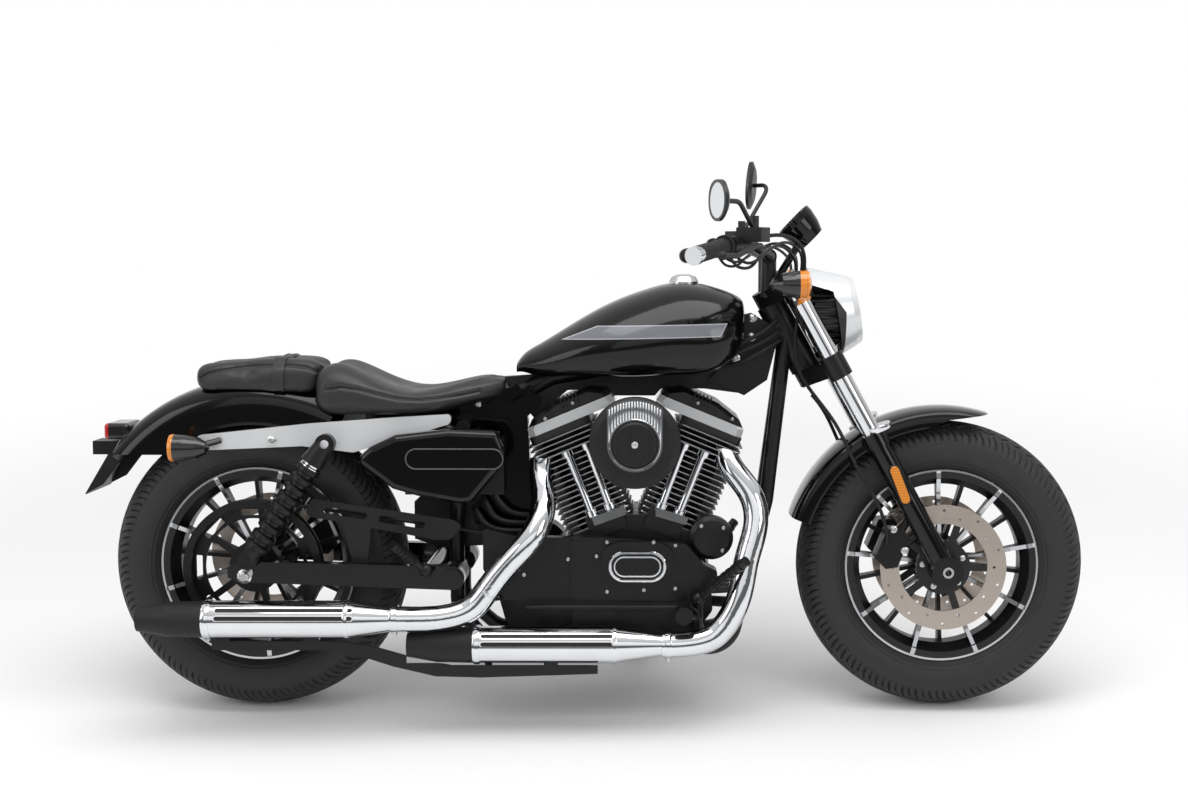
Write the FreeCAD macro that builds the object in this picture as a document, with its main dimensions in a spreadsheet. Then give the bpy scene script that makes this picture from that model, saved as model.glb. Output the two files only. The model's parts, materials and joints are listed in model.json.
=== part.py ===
"""Cruiser motorcycle with an air-cooled V-twin engine, parked on its side stand.

Everything is modelled upright first: +X forward, +Y to the rider's left, +Z up, with the ground at
Z = 0 and X = 0 halfway between the axles. The whole machine is then leaned to its left, until the
side stand carries it, and moved so that the origin is at the centre of its footprint box.
"""

import FreeCAD, Part
import math
import os
import Sketcher
from FreeCAD import Placement, Rotation, Vector

# Driving dimensions, in millimetres and degrees. Each one has a cell of the sheet.
SIZES = {
    # Stance
    "wheelbase": 1522.0,
    "lean_angle": 10.0,
    "run_gap": 0.1,
    "seat_gap": 0.3,
    "overrun": 2.0,
    # Tyres
    "front_tyre_radius": 321.5,
    "front_tyre_width": 130.0,
    "front_crown_radius": 74.0,
    "rear_tyre_radius": 326.0,
    "rear_tyre_width": 150.0,
    "rear_crown_radius": 86.0,
    "tyre_wall": 9.0,
    # Rims, hubs and spokes
    "rim_lip_radius": 216.0,
    "rim_seat_radius": 204.0,
    "rim_well_radius": 189.0,
    "rim_inner_radius": 181.0,
    "rim_lip_width": 5.0,
    "front_rim_width": 92.0,
    "rear_rim_width": 108.0,
    "hub_radius": 38.0,
    "hub_flange_radius": 56.0,
    "front_hub_width": 104.0,
    "rear_hub_width": 130.0,
    "hub_flange_width": 8.0,
    "spoke_width": 9.0,
    "spoke_proud": 1.2,
    "spoke_tip_gap": 3.0,
    "front_spoke_start": 12.6,
    "rear_spoke_start": 35.6,
    "spoke_depth": 22.0,
    "front_axle_radius": 12.0,
    "rear_axle_radius": 12.0,
    "axle_bore_radius": 7.0,
    # Brakes
    "disc_radius": 140.0,
    "disc_inner_radius": 98.0,
    "disc_thickness": 5.0,
    "disc_carrier_radius": 60.0,
    "disc_arm_width": 16.0,
    "disc_hole_radius": 3.2,
    "caliper_length": 96.0,
    "caliper_height": 46.0,
    "caliper_reach": 18.0,
    # Belt drive
    "pulley_radius": 151.0,
    "pulley_rim": 16.0,
    "pulley_ring_inner": 108.0,
    "pulley_arm_width": 15.0,
    "pulley_slot_length": 58.0,
    "pulley_slot_width": 14.0,
    "pulley_width": 34.0,
    "belt_thickness": 4.0,
    "belt_width": 22.0,
    "belt_middle": 96.0,
    "sprocket_radius": 62.0,
    "sprocket_x": -172.0,
    "sprocket_z": 330.0,
    # Fork and steering
    "rake_angle": 28.8,
    "clamp_offset": 55.0,
    "fork_half_spacing": 104.0,
    "fork_tube_radius": 20.5,
    "slider_radius": 24.5,
    "slider_length": 348.0,
    "slider_foot": 34.0,
    "fork_length": 742.0,
    "lower_clamp_height": 514.0,
    "upper_clamp_height": 712.0,
    "clamp_thickness": 34.0,
    "lower_ring_height": 54.0,
    "clamp_wall": 6.0,
    "stem_radius": 20.0,
    "head_tube_radius": 33.0,
    "steering_gap": 0.6,
    # Handlebar
    "bar_radius": 11.0,
    "grip_radius": 17.0,
    "grip_length": 124.0,
    "bar_half_width": 430.0,
    "riser_half_spacing": 45.0,
    "riser_radius": 17.0,
    "riser_height": 90.0,
    "bar_rise": 22.0,
    "bar_pull_back": 104.0,
    "bar_drop": 21.0,
    # Frame
    "frame_tube_radius": 16.0,
    "backbone_radius": 24.0,
    "frame_bend": 60.0,
    "neck_rear_x": 240.0,
    "neck_length": 160.0,
    "neck_base_z": 702.0,
    "neck_height": 182.0,
    "neck_side": 20.0,
    "neck_thickness": 8.0,
    "cradle_height": 150.0,
    "cradle_half_width": 98.0,
    "pivot_x": -318.0,
    "pivot_z": 314.0,
    "pivot_radius": 14.0,
    # Swingarm and shocks
    "swingarm_middle": 138.0,
    "swingarm_width": 26.0,
    "swingarm_height": 44.0,
    "shock_middle": 172.0,
    "shock_radius": 20.0,
    "spring_radius": 27.0,
    "spring_wire_radius": 4.5,
    "spring_turns": 9.0,
    "shock_eye_radius": 21.0,
    "shock_eye_width": 24.0,
    # Tank and seat
    "tank_length": 503.0,
    "tank_rear_x": -185.0,
    "tank_base_z": 748.0,
    "tank_height": 204.0,
    "tank_width": 290.0,
    "tunnel_width": 62.0,
    "cap_radius": 33.0,
    "cap_height": 26.0,
    "seat_length": 408.0,
    "seat_width": 296.0,
    "pad_length": 288.0,
    "pad_width": 190.0,
    "pad_height": 78.0,
    # Fenders
    "rear_fender_radius": 414.0,
    "rear_fender_half_width": 92.0,
    "rear_fender_skirt": 100.0,
    "front_fender_radius": 356.0,
    "front_fender_half_width": 73.0,
    "front_fender_skirt": 44.0,
    "fender_wall": 3.0,
    "strut_thickness": 9.0,
    "strut_middle": 124.0,
    # Engine
    "crank_x": 78.0,
    "crank_z": 231.0,
    "cylinder_angle": 22.5,
    "case_half_width": 76.0,
    "cam_case_half_width": 96.0,
    "deck_height": 206.0,
    "barrel_radius": 52.0,
    "barrel_fin_count": 10.0,
    "barrel_fin_thickness": 2.6,
    "barrel_top": 385.0,
    "head_top": 440.0,
    "fin_half_length": 80.0,
    "fin_half_width": 76.0,
    "band_thickness": 18.0,
    "rocker_height": 50.0,
    "head_half_width": 94.0,
    "rocker_side": 14.0,
    "tappet_height": 24.0,
    "tappet_side": 104.0,
    "pushrod_radius": 9.0,
    "cleaner_radius": 98.0,
    "cleaner_depth": 52.0,
    "cleaner_face": 192.0,
    "cleaner_z": 612.0,
    "cam_cover_face": 148.0,
    "primary_face": 158.0,
    # Exhaust
    "header_radius": 27.5,
    "silencer_radius": 40.0,
    "upper_silencer_middle": 204.0,
    "lower_silencer_middle": 176.0,
    "upper_silencer_z": 236.0,
    "lower_silencer_z": 174.0,
    # Lamps and mirrors
    "indicator_radius": 30.0,
    "indicator_length": 78.0,
    "indicator_stalk_radius": 7.0,
    "headlamp_radius": 80.0,
    "headlamp_depth": 104.0,
    "mirror_length": 128.0,
    "mirror_height": 82.0,
    "mirror_thickness": 14.0,
    "mirror_stem_radius": 5.0,
    "speedometer_radius": 44.0,
    "speedometer_depth": 62.0,
    # Side stand
    "stand_pivot_x": 40.0,
    "stand_pivot_y": 134.0,
    "stand_pivot_z": 140.0,
    "stand_foot_x": 92.0,
    "stand_foot_y": 268.0,
    "stand_radius": 9.0,
    "stand_foot_radius": 24.0,
    "stand_foot_thickness": 8.0,
    # Wheel and drive details
    "disc_offset": 16.0,
    "rear_disc_offset": 14.0,
    "slider_foot_width": 49.0,
    "axle_end": 5.0,
    "spacer_radius": 19.0,
    # Slider, controls and mirror details
    "slider_collar": 4.0,
    "bar_sweep": 67.5,
    "bar_bend_side": 200.0,
    "bar_bend_radius": 50.0,
    "grip_cap": 6.0,
    "switch_width": 34.0,
    "switch_radius": 20.0,
    "perch_width": 40.0,
    "perch_length": 58.0,
    "perch_height": 30.0,
    "lever_width": 11.0,
    "lever_reach": 62.0,
    "mirror_boss_height": 24.0,
    "mirror_boss_radius": 9.0,
    "mirror_yaw": 13.0,
    "left_mirror_roll": 55.0,
    "right_mirror_x": 242.0,
    "right_mirror_z": 1120.0,
    "left_mirror_x": 351.0,
    "left_mirror_z": 1183.0,
    "mirror_side": 400.0,
    "mirror_elbow_side": 340.0,
    "mirror_elbow_ahead": 48.0,
    # Headlamp, dial and signal details
    "headlamp_tilt": 10.0,
    "headlamp_up": 596.0,
    "headlamp_forward": 149.0,
    "headlamp_rim": 14.0,
    "hood_back_radius": 112.0,
    "hood_front_radius": 79.0,
    "hood_wall": 4.0,
    "hood_back": 82.0,
    "bezel_depth": 38.0,
    "bezel_nose": 13.0,
    "hood_edge_back": 75.0,
    "hood_edge_front": 51.0,
    "lamp_post_radius": 13.0,
    "lens_bulge": 14.0,
    "ear_low": 545.0,
    "ear_high": 628.0,
    "dial_tilt": 46.0,
    "dial_rise": 240.0,
    "dial_forward": 132.0,
    "front_signal_up": 742.0,
    "front_signal_back": 46.0,
    "front_signal_side": 172.0,
    "front_signal_stalk_up": 676.0,
    "rear_signal_x": -832.0,
    "rear_signal_side": 168.0,
    "rear_signal_z": 600.0,
    "rear_signal_foot_x": -820.0,
    # Fender details
    "rear_fender_front_angle": 62.0,
    "rear_fender_tail_angle": 142.0,
    "rear_fender_edge": 248.0,
    "front_fender_front_angle": 73.7,
    "front_fender_tail_angle": 162.0,
    "nose_sweep": 150.0,
    "fender_lug_up": 326.0,
    "fender_lug_radius": 12.0,
    "caliper_gap": 6.0,
    "caliper_bridge": 8.0,
    "front_caliper_angle": 158.0,
    "front_caliper_lug": 20.0,
    "rear_caliper_angle": 22.0,
    "hose_radius": 4.0,
    "hose_back": 75.0,
    "hose_start_x": 330.0,
    "hose_length": 190.0,
    "hose_start_side": 262.0,
    "hose_high_side": 62.0,
    "hose_base_z": 700.0,
    "hose_height": 346.0,
    # Frame details
    "backbone_bend_x": -110.0,
    "backbone_bend_z": 743.0,
    "pivot_tube_side": 60.0,
    "pivot_run_low": 84.0,
    "pivot_run_high": 106.0,
    "seat_rail_x": -300.0,
    "seat_rail_z": 640.0,
    "seat_rail_end_x": -530.0,
    "downtube_x": 367.0,
    "downtube_z": 472.0,
    "downtube_side": 52.0,
    "cradle_front_x": 285.0,
    "cradle_rear_x": -240.0,
    "seat_front_boss_x": -420.0,
    "seat_rear_boss_x": -500.0,
    "seat_base_z": 668.0,
    "seat_boss_radius": 10.0,
    "pivot_boss_radius": 26.0,
    "tank_rest_radius": 11.0,
    "stand_axis_tilt": 27.0,
    "stand_lug_thickness": 12.0,
    "stand_eye_thickness": 14.0,
    "stand_eye_radius": 16.0,
    "stand_pin_radius": 6.0,
    # Swingarm and shock details
    "shock_low_ahead": 8.0,
    "shock_low_z": 359.0,
    "shock_high_x": -584.0,
    "shock_high_z": 610.0,
    "shock_stud_radius": 9.0,
    "swing_tube_back": 56.0,
    "swing_tube_radius": 22.0,
    # Tank and seat details
    "cap_x": 184.0,
    "cap_sink": 8.0,
    "seat_rear_x": -616.0,
    "seat_height": 124.0,
    "pad_rear_x": -892.0,
    "pad_base_z": 706.0,
    # Strut, tail lamp and plate details
    "strut_rear_x": -878.0,
    "strut_length": 557.0,
    "strut_base_z": 584.0,
    "strut_height": 85.0,
    "strut_bolt_rear_x": -800.0,
    "strut_bolt_middle_x": -709.0,
    "strut_bolt_z": 612.0,
    "tail_lamp_depth": 56.0,
    "tail_lamp_width": 96.0,
    "tail_lamp_height": 36.0,
    "tail_lamp_rear_x": -1100.0,
    "tail_lamp_base_z": 604.0,
    "plate_box_rear_x": -1130.0,
    "plate_box_length": 54.0,
    "plate_box_base_z": 569.0,
    "plate_box_height": 30.0,
    "plate_box_width": 64.0,
    "plate_flange": 40.0,
    "plate_top_back": 318.0,
    "plate_top_up": 250.0,
    "plate_arm_sweep": 6.0,
    "plate_tilt": 31.0,
    "plate_width": 160.0,
    "plate_height": 104.0,
    # Engine details
    "fin_corner": 18.0,
    "fin_pitch": 12.5,
    "case_front": 165.0,
    "case_rear": 305.0,
    "engine_mount_radius": 12.0,
    "pushrod_side": 90.5,
    "cam_length": 323.0,
    "cam_height": 145.0,
    "cam_rear_x": -61.0,
    "cam_base_z": 258.0,
    "oval_x": 83.0,
    "oval_z": 348.0,
    "oval_length": 151.0,
    "oval_height": 92.0,
    "plate_rear_x": -253.0,
    "plate_length": 192.0,
    "plate_face": 136.0,
    "plate_back": 112.0,
    "sprocket_cover_shift": 24.0,
    "sprocket_cover_radius": 72.0,
    "sprocket_cover_face": 136.0,
    "filter_x": 244.0,
    "filter_z": 397.0,
    "filter_radius": 48.0,
    "filter_face": 124.0,
    "primary_radius": 88.0,
    "primary_z": 252.0,
    "duct_radius": 28.0,
    "duct_length": 84.0,
    "cover_height": 12.0,
    "cover_half_width": 59.0,
    "cover_disc_radius": 50.0,
    # Exhaust details
    "port_up": 412.0,
    "port_side": 56.0,
    "front_header_rear_x": 141.0,
    "front_header_length": 206.0,
    "front_header_side": 120.0,
    "front_header_height": 368.0,
    "rear_header_side": 148.0,
    "rear_header_height": 282.0,
    "upper_taper": 111.0,
    "lower_taper": 106.0,
    "hanger_side": 196.0,
    "hanger_thickness": 6.0,
    "hanger_rear_x": -830.0,
    "hanger_length": 828.0,
    "hanger_base_z": 107.0,
    "hanger_height": 79.0,
    "hanger_arm_radius": 8.0,
    "hanger_lug_width": 30.0,
    "lower_silencer_front_x": 139.0,
    "lower_silencer_rear_x": -270.0,
    "upper_silencer_front_x": -426.0,
    "upper_silencer_rear_x": -841.0,
    "silencer_end_length": 143.0,
    "silencer_tip_radius": 26.0,
    # Side cover, box and guard details
    "side_cover_rear_x": -524.0,
    "side_cover_length": 322.0,
    "side_cover_base_z": 479.0,
    "side_cover_height": 161.0,
    "side_cover_face": 170.0,
    "side_cover_depth": 34.0,
    "panel_rear_x": -210.0,
    "panel_length": 92.0,
    "panel_base_z": 646.0,
    "panel_height": 69.0,
    "panel_side": 98.0,
    "panel_thickness": 8.0,
    "panel_arm_radius": 9.0,
    "box_rear_x": -430.0,
    "box_length": 218.0,
    "box_base_z": 486.0,
    "box_height": 124.0,
    "guard_side": 122.0,
    "guard_rear_x": -629.0,
    "guard_length": 331.0,
    "guard_base_z": 394.0,
    "guard_height": 88.0,
    # Peg details
    "peg_radius": 15.0,
    "peg_foot_x": 215.0,
    "peg_foot_z": 272.0,
    "peg_foot_side": 160.0,
    "peg_reach_x": 98.0,
    "peg_reach_z": 100.0,
    "peg_reach_side": 92.0,
    "back_peg_x": -372.0,
    "back_peg_z": 336.0,
    "back_peg_side": 172.0,
    "back_peg_reach_x": -62.0,
    "back_peg_reach_z": 66.0,
    "back_peg_reach_side": 60.0,
    "pedal_x": 183.0,
    "pedal_z": 246.0,
    "pedal_side": 200.0,
    "pedal_radius": 19.0,
    "pedal_length": 44.0,
    "pedal_stem_radius": 7.0,
    "lever_pivot_x": 214.0,
    "lever_pivot_z": 226.0,
    "brake_rod_radius": 4.0,
    "brake_rod_length": 372.0,
}
COUNT_SPOKES = 9
COUNT_DISC_HOLES = 10

doc = FreeCAD.newDocument("motorcycle")
sheet = doc.addObject("Spreadsheet::Sheet", "Sizes")
for row, (alias, value) in enumerate(SIZES.items(), start=1):
    sheet.set(f"A{row}", alias)
    sheet.set(f"B{row}", repr(value))
    sheet.setAlias(f"B{row}", alias)
doc.recompute()


class Size:
    """A value of the sheet, or a sum of several, with the expression that gives it."""

    def __init__(self, value, text):
        self.value = value
        self.text = text

    def __add__(self, other):
        return Size(self.value + other.value, f"({self.text} + {other.text})")

    def __sub__(self, other):
        return Size(self.value - other.value, f"({self.text} - {other.text})")

    def __mul__(self, factor):
        return Size(self.value * factor, f"({self.text} * {factor!r})")

    def __neg__(self):
        return Size(-self.value, f"(-{self.text})")


class Cells:
    """Reads the sheet: cells.NAME is a plain number."""

    def __getattr__(self, alias):
        return float(sheet.get(alias))


class Bound:
    """Reads the sheet: bound.NAME is a Size, whose expression follows the cell."""

    def __getattr__(self, alias):
        return Size(float(sheet.get(alias)), f"Sizes.{alias}")


cells = Cells()
bound = Bound()
ZERO = Size(0.0, "0")
PARTS = {}


def bind(thing, prop, size):
    """Sets a property from the sheet, so that it follows its cells."""
    setattr(thing, prop, size.value)
    thing.setExpression(prop, size.text)


def keep(label, shape, place=None):
    """Adds a sub-part whose shape was made from the sheet's values."""
    piece = doc.addObject("Part::Feature", label)
    piece.Label = label
    piece.Shape = shape
    PARTS[label] = (piece, place or Placement())
    return piece


def keep_object(label, piece, place=None):
    """Names a finished feature or body as a sub-part."""
    piece.Label = label
    PARTS[label] = (piece, place or Placement())
    return piece


# Shapes made from points

def ring_wire(centre, normal, radius):
    return Part.Wire(Part.makeCircle(radius, centre, normal))


def rod(start, end, radius):
    """A round bar between two points."""
    return Part.makeCylinder(radius, (end - start).Length, start, end - start)


def tube(start, end, radius, bore):
    """A round bar with a bore right through."""
    return rod(start, end, radius).cut(rod(start, end, bore))


def cone_bar(start, end, start_radius, end_radius):
    return Part.makeCone(start_radius, end_radius, (end - start).Length, start, end - start)


def bent_path(points, bend):
    """Straight runs joined by tangent arcs of one bend radius, or less where a run is short."""
    edges = []
    here = points[0]
    for before, corner, after in zip(points, points[1:], points[2:]):
        into = (corner - before).normalize()
        out = (after - corner).normalize()
        turn = into.getAngle(out)
        if turn < 1e-4:
            continue
        room = min((corner - here).Length, (after - corner).Length / 2) * 0.95
        cut = min(bend * math.tan(turn / 2), room)
        start = corner - into * cut
        end = corner + out * cut
        bisector = (out - into).normalize()
        radius = cut / math.tan(turn / 2)
        middle = corner + bisector * (radius / math.cos(turn / 2) - radius)
        edges.append(Part.makeLine(here, start))
        edges.append(Part.Arc(start, middle, end).toShape())
        here = end
    edges.append(Part.makeLine(here, points[-1]))
    return Part.Wire(edges)


def bent_tube(points, bend, radius):
    """A round bar or closed pipe along a bent path."""
    path = bent_path(points, bend)
    ring = ring_wire(points[0], points[1] - points[0], radius)
    return path.makePipeShell([ring], True, False)


def flowing_tube(points, radius):
    """A round bar along a smooth curve through the points."""
    curve = Part.BSplineCurve()
    curve.interpolate(points)
    path = Part.Wire(curve.toShape())
    ring = ring_wire(points[0], curve.tangent(curve.FirstParameter)[0], radius)
    return path.makePipeShell([ring], True, False)


def box_points(low, size, shares):
    """Points of a curve given as shares of the box that it runs in."""
    return [Vector(*[start + length * share for start, length, share in zip(low, size, place)])
            for place in shares]


def fuse(shapes):
    """One solid out of overlapping ones."""
    whole = shapes[0]
    for shape in shapes[1:]:
        whole = whole.fuse(shape)
    tidy = whole.removeSplitter()
    return tidy if tidy.isValid() else whole


def both_sides(shape):
    """The shape and its mirror image across the wheel plane."""
    return [shape, shape.mirror(Vector(), Vector(0, 1, 0))]


def closed_face(points):
    return Part.Face(Part.makePolygon(points + points[:1]))


def side_plate(outline, side, thickness):
    """A plate from an outline of (x, z) points, from y = side towards +Y by its thickness."""
    face = closed_face([Vector(x, side, z) for x, z in outline])
    return face.extrude(Vector(0, thickness, 0))


def rounded_plate(outline, side, thickness, radius):
    """A side plate whose outline has rounded corners."""
    count = len(outline)
    points = [Vector(x, side, z) for x, z in outline]
    edges = []
    starts = []
    for index in range(count):
        before, corner, after = points[index - 1], points[index], points[(index + 1) % count]
        into = (corner - before).normalize()
        out = (after - corner).normalize()
        turn = into.getAngle(out)
        room = min((corner - before).Length, (after - corner).Length) * 0.45
        cut = min(radius * math.tan(turn / 2), room)
        bisector = (out - into).normalize()
        reach = cut / math.tan(turn / 2)
        middle = corner + bisector * (reach / math.cos(turn / 2) - reach)
        starts.append((corner - into * cut, middle, corner + out * cut))
    for index in range(count):
        start, middle, end = starts[index]
        edges.append(Part.Arc(start, middle, end).toShape())
        edges.append(Part.makeLine(end, starts[(index + 1) % count][0]))
    return Part.Face(Part.Wire(edges)).extrude(Vector(0, thickness, 0))


def spin(outline, degrees=360.0):
    """A ring round the Y axis from an outline of (radius, side) points."""
    face = closed_face([Vector(radius, side, 0) for radius, side in outline])
    return face.revolve(Vector(), Vector(0, 1, 0), degrees)


def smooth_loop(points):
    """A closed smooth curve through the points."""
    curve = Part.BSplineCurve()
    curve.interpolate(points, PeriodicFlag=True)
    return Part.Wire(curve.toShape())


# Places that several pieces share

LEAN = math.radians(cells.lean_angle)
RAKE = math.radians(cells.rake_angle)


def axle_height(radius, crown):
    """Height of an axle above the ground line, so that the leaned tyre just touches the ground."""
    return radius - crown + crown / math.cos(LEAN)


FRONT_AXLE = Vector(
    cells.wheelbase / 2, 0, axle_height(cells.front_tyre_radius, cells.front_crown_radius)
)
REAR_AXLE = Vector(
    -cells.wheelbase / 2, 0, axle_height(cells.rear_tyre_radius, cells.rear_crown_radius)
)
FORK_UP = Vector(-math.sin(RAKE), 0, math.cos(RAKE))
FORK_FORWARD = Vector(math.cos(RAKE), 0, math.sin(RAKE))
LEFT = Vector(0, 1, 0)


def fork_point(up, forward=0.0, side=0.0):
    """A point given along the fork from the front axle, forward of the legs and to the left."""
    return FRONT_AXLE + FORK_UP * up + FORK_FORWARD * forward + LEFT * side


def stem_point(up, forward=0.0, side=0.0):
    """The same, measured from the steering axis."""
    return fork_point(up, forward - cells.clamp_offset, side)


# Wheels: tyres, rims with hubs and spokes, brake discs and the belt pulley

def turned(name, points):
    """A body turned round the Y axis from a sketch of (radius, side) points tied to the sheet."""
    body = doc.addObject("PartDesign::Body", name)
    sketch = body.newObject("Sketcher::SketchObject", f"{name}_outline")
    sketch.AttachmentSupport = (body.Origin.OriginFeatures[3], [""])
    sketch.MapMode = "FlatFace"
    places = [Vector(radius.value, side.value, 0) for radius, side in points]
    for start, end in zip(places, places[1:] + places[:1]):
        sketch.addGeometry(Part.LineSegment(start, end), False)
    count = len(places)
    for index in range(count):
        sketch.addConstraint(
            Sketcher.Constraint("Coincident", index, 2, (index + 1) % count, 1)
        )
    for index, (radius, side) in enumerate(points):
        for kind, size in (("DistanceX", radius), ("DistanceY", side)):
            if size.value == 0:
                axis = -2 if kind == "DistanceX" else -1
                sketch.addConstraint(Sketcher.Constraint("PointOnObject", index, 1, axis))
                continue
            first, second = ((-1, 1), (index, 1)) if size.value > 0 else ((index, 1), (-1, 1))
            number = sketch.addConstraint(
                Sketcher.Constraint(kind, *first, *second, abs(size.value))
            )
            text = size.text if size.value > 0 else f"-({size.text})"
            sketch.setExpression(f"Constraints[{number}]", text)
    turn = body.newObject("PartDesign::Revolution", f"{name}_turn")
    turn.Profile = sketch
    turn.ReferenceAxis = (sketch, ["V_Axis"])
    turn.Angle = 360.0
    sketch.Visibility = False
    return body


TYRE_SHOULDER_SHARE = 0.88
TYRE_BULGE_SHARE = 0.62


def tyre(radius, width, crown, rim_width):
    """A hollow tyre: round crown, bulged walls and beads seated on the rim."""
    half = width / 2
    bead = rim_width / 2 - cells.rim_lip_width
    shoulder = half * TYRE_SHOULDER_SHARE
    centre = radius - crown
    drop = centre + math.sqrt(crown ** 2 - shoulder ** 2)
    foot = cells.rim_seat_radius
    bulge = foot + (drop - foot) * TYRE_BULGE_SHARE
    wall = cells.tyre_wall

    def half_ring(sign, inset):
        crown_mid = Vector(radius - inset, 0, 0)
        side = Vector(bulge, sign * (half - inset), 0)
        root = Vector(cells.rim_lip_radius + cells.seat_gap, sign * (bead - inset), 0)
        angle = math.asin(shoulder / crown) / 2
        crown_side = Vector(
            centre + (crown - inset) * math.cos(angle), sign * (crown - inset) * math.sin(angle), 0
        )
        edge = Vector(
            centre + (crown - inset) * math.cos(2 * angle),
            sign * (crown - inset) * math.sin(2 * angle), 0
        )
        return [
            Part.Arc(crown_mid, crown_side, edge).toShape(),
            Part.Arc(edge, side, root).toShape(),
            Part.makeLine(root, Vector(foot, sign * (bead - inset), 0)),
        ]

    edges = half_ring(1, 0) + half_ring(-1, 0) + half_ring(1, wall) + half_ring(-1, wall)
    for sign in (1, -1):
        edges.append(
            Part.makeLine(Vector(foot, sign * bead, 0), Vector(foot, sign * (bead - wall), 0))
        )
    face = Part.Face(Part.Wire(Part.sortEdges(edges)[0]))
    return face.revolve(Vector(), Vector(0, 1, 0), 360.0)


RIM_WELL_SHARE = 0.3
RIM_FACE_SHARE = 0.42
SPOKE_LOW_SHARE = 0.18
SPOKE_ROOT_SHARE = 0.6
SPOKE_SIDE_SHARE = 0.74
SPOKE_BEND_SHARE = 0.88


def rim_outline(width):
    """(radius, side) points of a cast rim with lips, bead seats and a well."""
    half = width * 0.5
    lip = half - bound.rim_lip_width
    seat = bound.rim_seat_radius
    deep = bound.rim_well_radius
    low = bound.rim_inner_radius
    wall = seat - deep
    return [
        (bound.rim_lip_radius, half), (bound.rim_lip_radius, lip), (seat, lip),
        (seat, lip - wall), (deep, half * RIM_WELL_SHARE), (deep, half * -RIM_WELL_SHARE),
        (seat, wall - lip), (seat, -lip), (bound.rim_lip_radius, -lip),
        (bound.rim_lip_radius, -half), (seat - (seat - deep) * 0.5, -half),
        (low, half * -RIM_FACE_SHARE), (low, half * RIM_FACE_SHARE),
        (seat - (seat - deep) * 0.5, half),
    ]


def spokes(hub_radius, rim_width, start):
    """Single spokes, set in turn to the right and the left half of the rim, out to its lips."""
    half = rim_width / 2
    lip = half - cells.rim_lip_width / 2
    blades = []
    for index in range(COUNT_SPOKES * 2):
        hand = -1 if index % 2 == 0 else 1
        outline = [
            (hub_radius - cells.overrun, half * SPOKE_LOW_SHARE),
            (hub_radius - cells.overrun, half * SPOKE_ROOT_SHARE),
            (cells.rim_inner_radius * SPOKE_BEND_SHARE, half * SPOKE_SIDE_SHARE),
            (cells.rim_lip_radius - cells.spoke_tip_gap, half + cells.spoke_proud),
            (cells.rim_lip_radius - cells.spoke_tip_gap, lip), (cells.rim_seat_radius, lip),
            (cells.rim_well_radius - cells.overrun * 2, half * SPOKE_LOW_SHARE),
        ]
        blade = closed_face([
            Vector(reach, hand * side, -cells.spoke_width / 2) for reach, side in outline
        ]).extrude(Vector(0, 0, cells.spoke_width))
        blade.rotate(Vector(), LEFT, -start - index * 180.0 / COUNT_SPOKES)
        blades.append(blade)
    return blades


def cast_wheel(name, rim_width, hub_width, hub_radius, axle_radius, start):
    """One cast wheel: turned rim, turned hub with flanges, and the spokes between them."""
    rim = turned(f"{name}_rim", rim_outline(rim_width))
    half = hub_width * 0.5
    ledge = half - bound.hub_flange_width
    bore = axle_radius + bound.seat_gap
    hub = turned(f"{name}_hub", [
        (bore, half), (bound.hub_flange_radius, half), (bound.hub_flange_radius, ledge),
        (hub_radius, ledge - bound.hub_flange_width),
        (hub_radius, bound.hub_flange_width - ledge),
        (bound.hub_flange_radius, -ledge), (bound.hub_flange_radius, -half), (bore, -half),
    ])
    blades = doc.addObject("Part::Feature", f"{name}_spokes")
    blades.Shape = Part.makeCompound(spokes(hub_radius.value, rim_width.value, start))
    wheel = doc.addObject("Part::MultiFuse", name)
    wheel.Shapes = [rim, hub, blades]
    wheel.Refine = True
    return wheel


DISC_BORE_SHARE = 0.62
DISC_HOLE_SHARES = (0.35, 0.7)
def brake_disc(side, seat, hand):
    """A drilled disc on its carrier: hub ring, arms and friction ring, seated at y = seat."""
    thick = cells.disc_thickness
    face = side - hand * thick / 2
    ring = spin([(cells.disc_inner_radius, face), (cells.disc_radius, face),
                 (cells.disc_radius, face + hand * thick),
                 (cells.disc_inner_radius, face + hand * thick)])
    bore = cells.hub_flange_radius * DISC_BORE_SHARE
    carrier = spin([(bore, seat), (cells.disc_carrier_radius, seat),
                    (cells.disc_carrier_radius, face + hand * thick),
                    (bore, face + hand * thick)])
    pieces = [ring, carrier]
    holes = []
    for index in range(COUNT_DISC_HOLES):
        turn = 360.0 * index / COUNT_DISC_HOLES
        if index % 2 == 0:
            reach = cells.disc_inner_radius + cells.overrun - bore
            arm = Part.makeBox(reach, thick, cells.disc_arm_width,
                               Vector(bore, min(face, face + hand * thick),
                                      -cells.disc_arm_width / 2))
            arm = arm.cut(Part.makeCylinder(bore + cells.overrun, thick * 4,
                                            Vector(0, face - thick * 2, 0), LEFT))
            arm.rotate(Vector(), LEFT, turn)
            pieces.append(arm)
        for row, share in enumerate(DISC_HOLE_SHARES):
            radius = cells.disc_inner_radius + (
                cells.disc_radius - cells.disc_inner_radius
            ) * share
            hole = Part.makeCylinder(cells.disc_hole_radius, thick * 4,
                                     Vector(radius, face - thick * 2, 0), LEFT)
            hole.rotate(Vector(), LEFT, turn + row * 360.0 / COUNT_DISC_HOLES / 2)
            holes.append(hole)
    return fuse(pieces).cut(holes)




def axle_pin(half_length, radius, ledges):
    """A hollow axle with spacers on it, as (inner end, outer end, radius) of each ledge."""
    pin = fuse([
        Part.makeCylinder(radius, half_length * 2, Vector(0, -half_length, 0), LEFT)
    ] + [
        Part.makeCylinder(ledge, abs(end - start), Vector(0, min(start, end), 0), LEFT)
        for start, end, ledge in ledges
    ])
    length = half_length + cells.overrun
    return pin.cut(
        Part.makeCylinder(cells.axle_bore_radius, length * 2, Vector(0, -length, 0), LEFT)
    )


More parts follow.
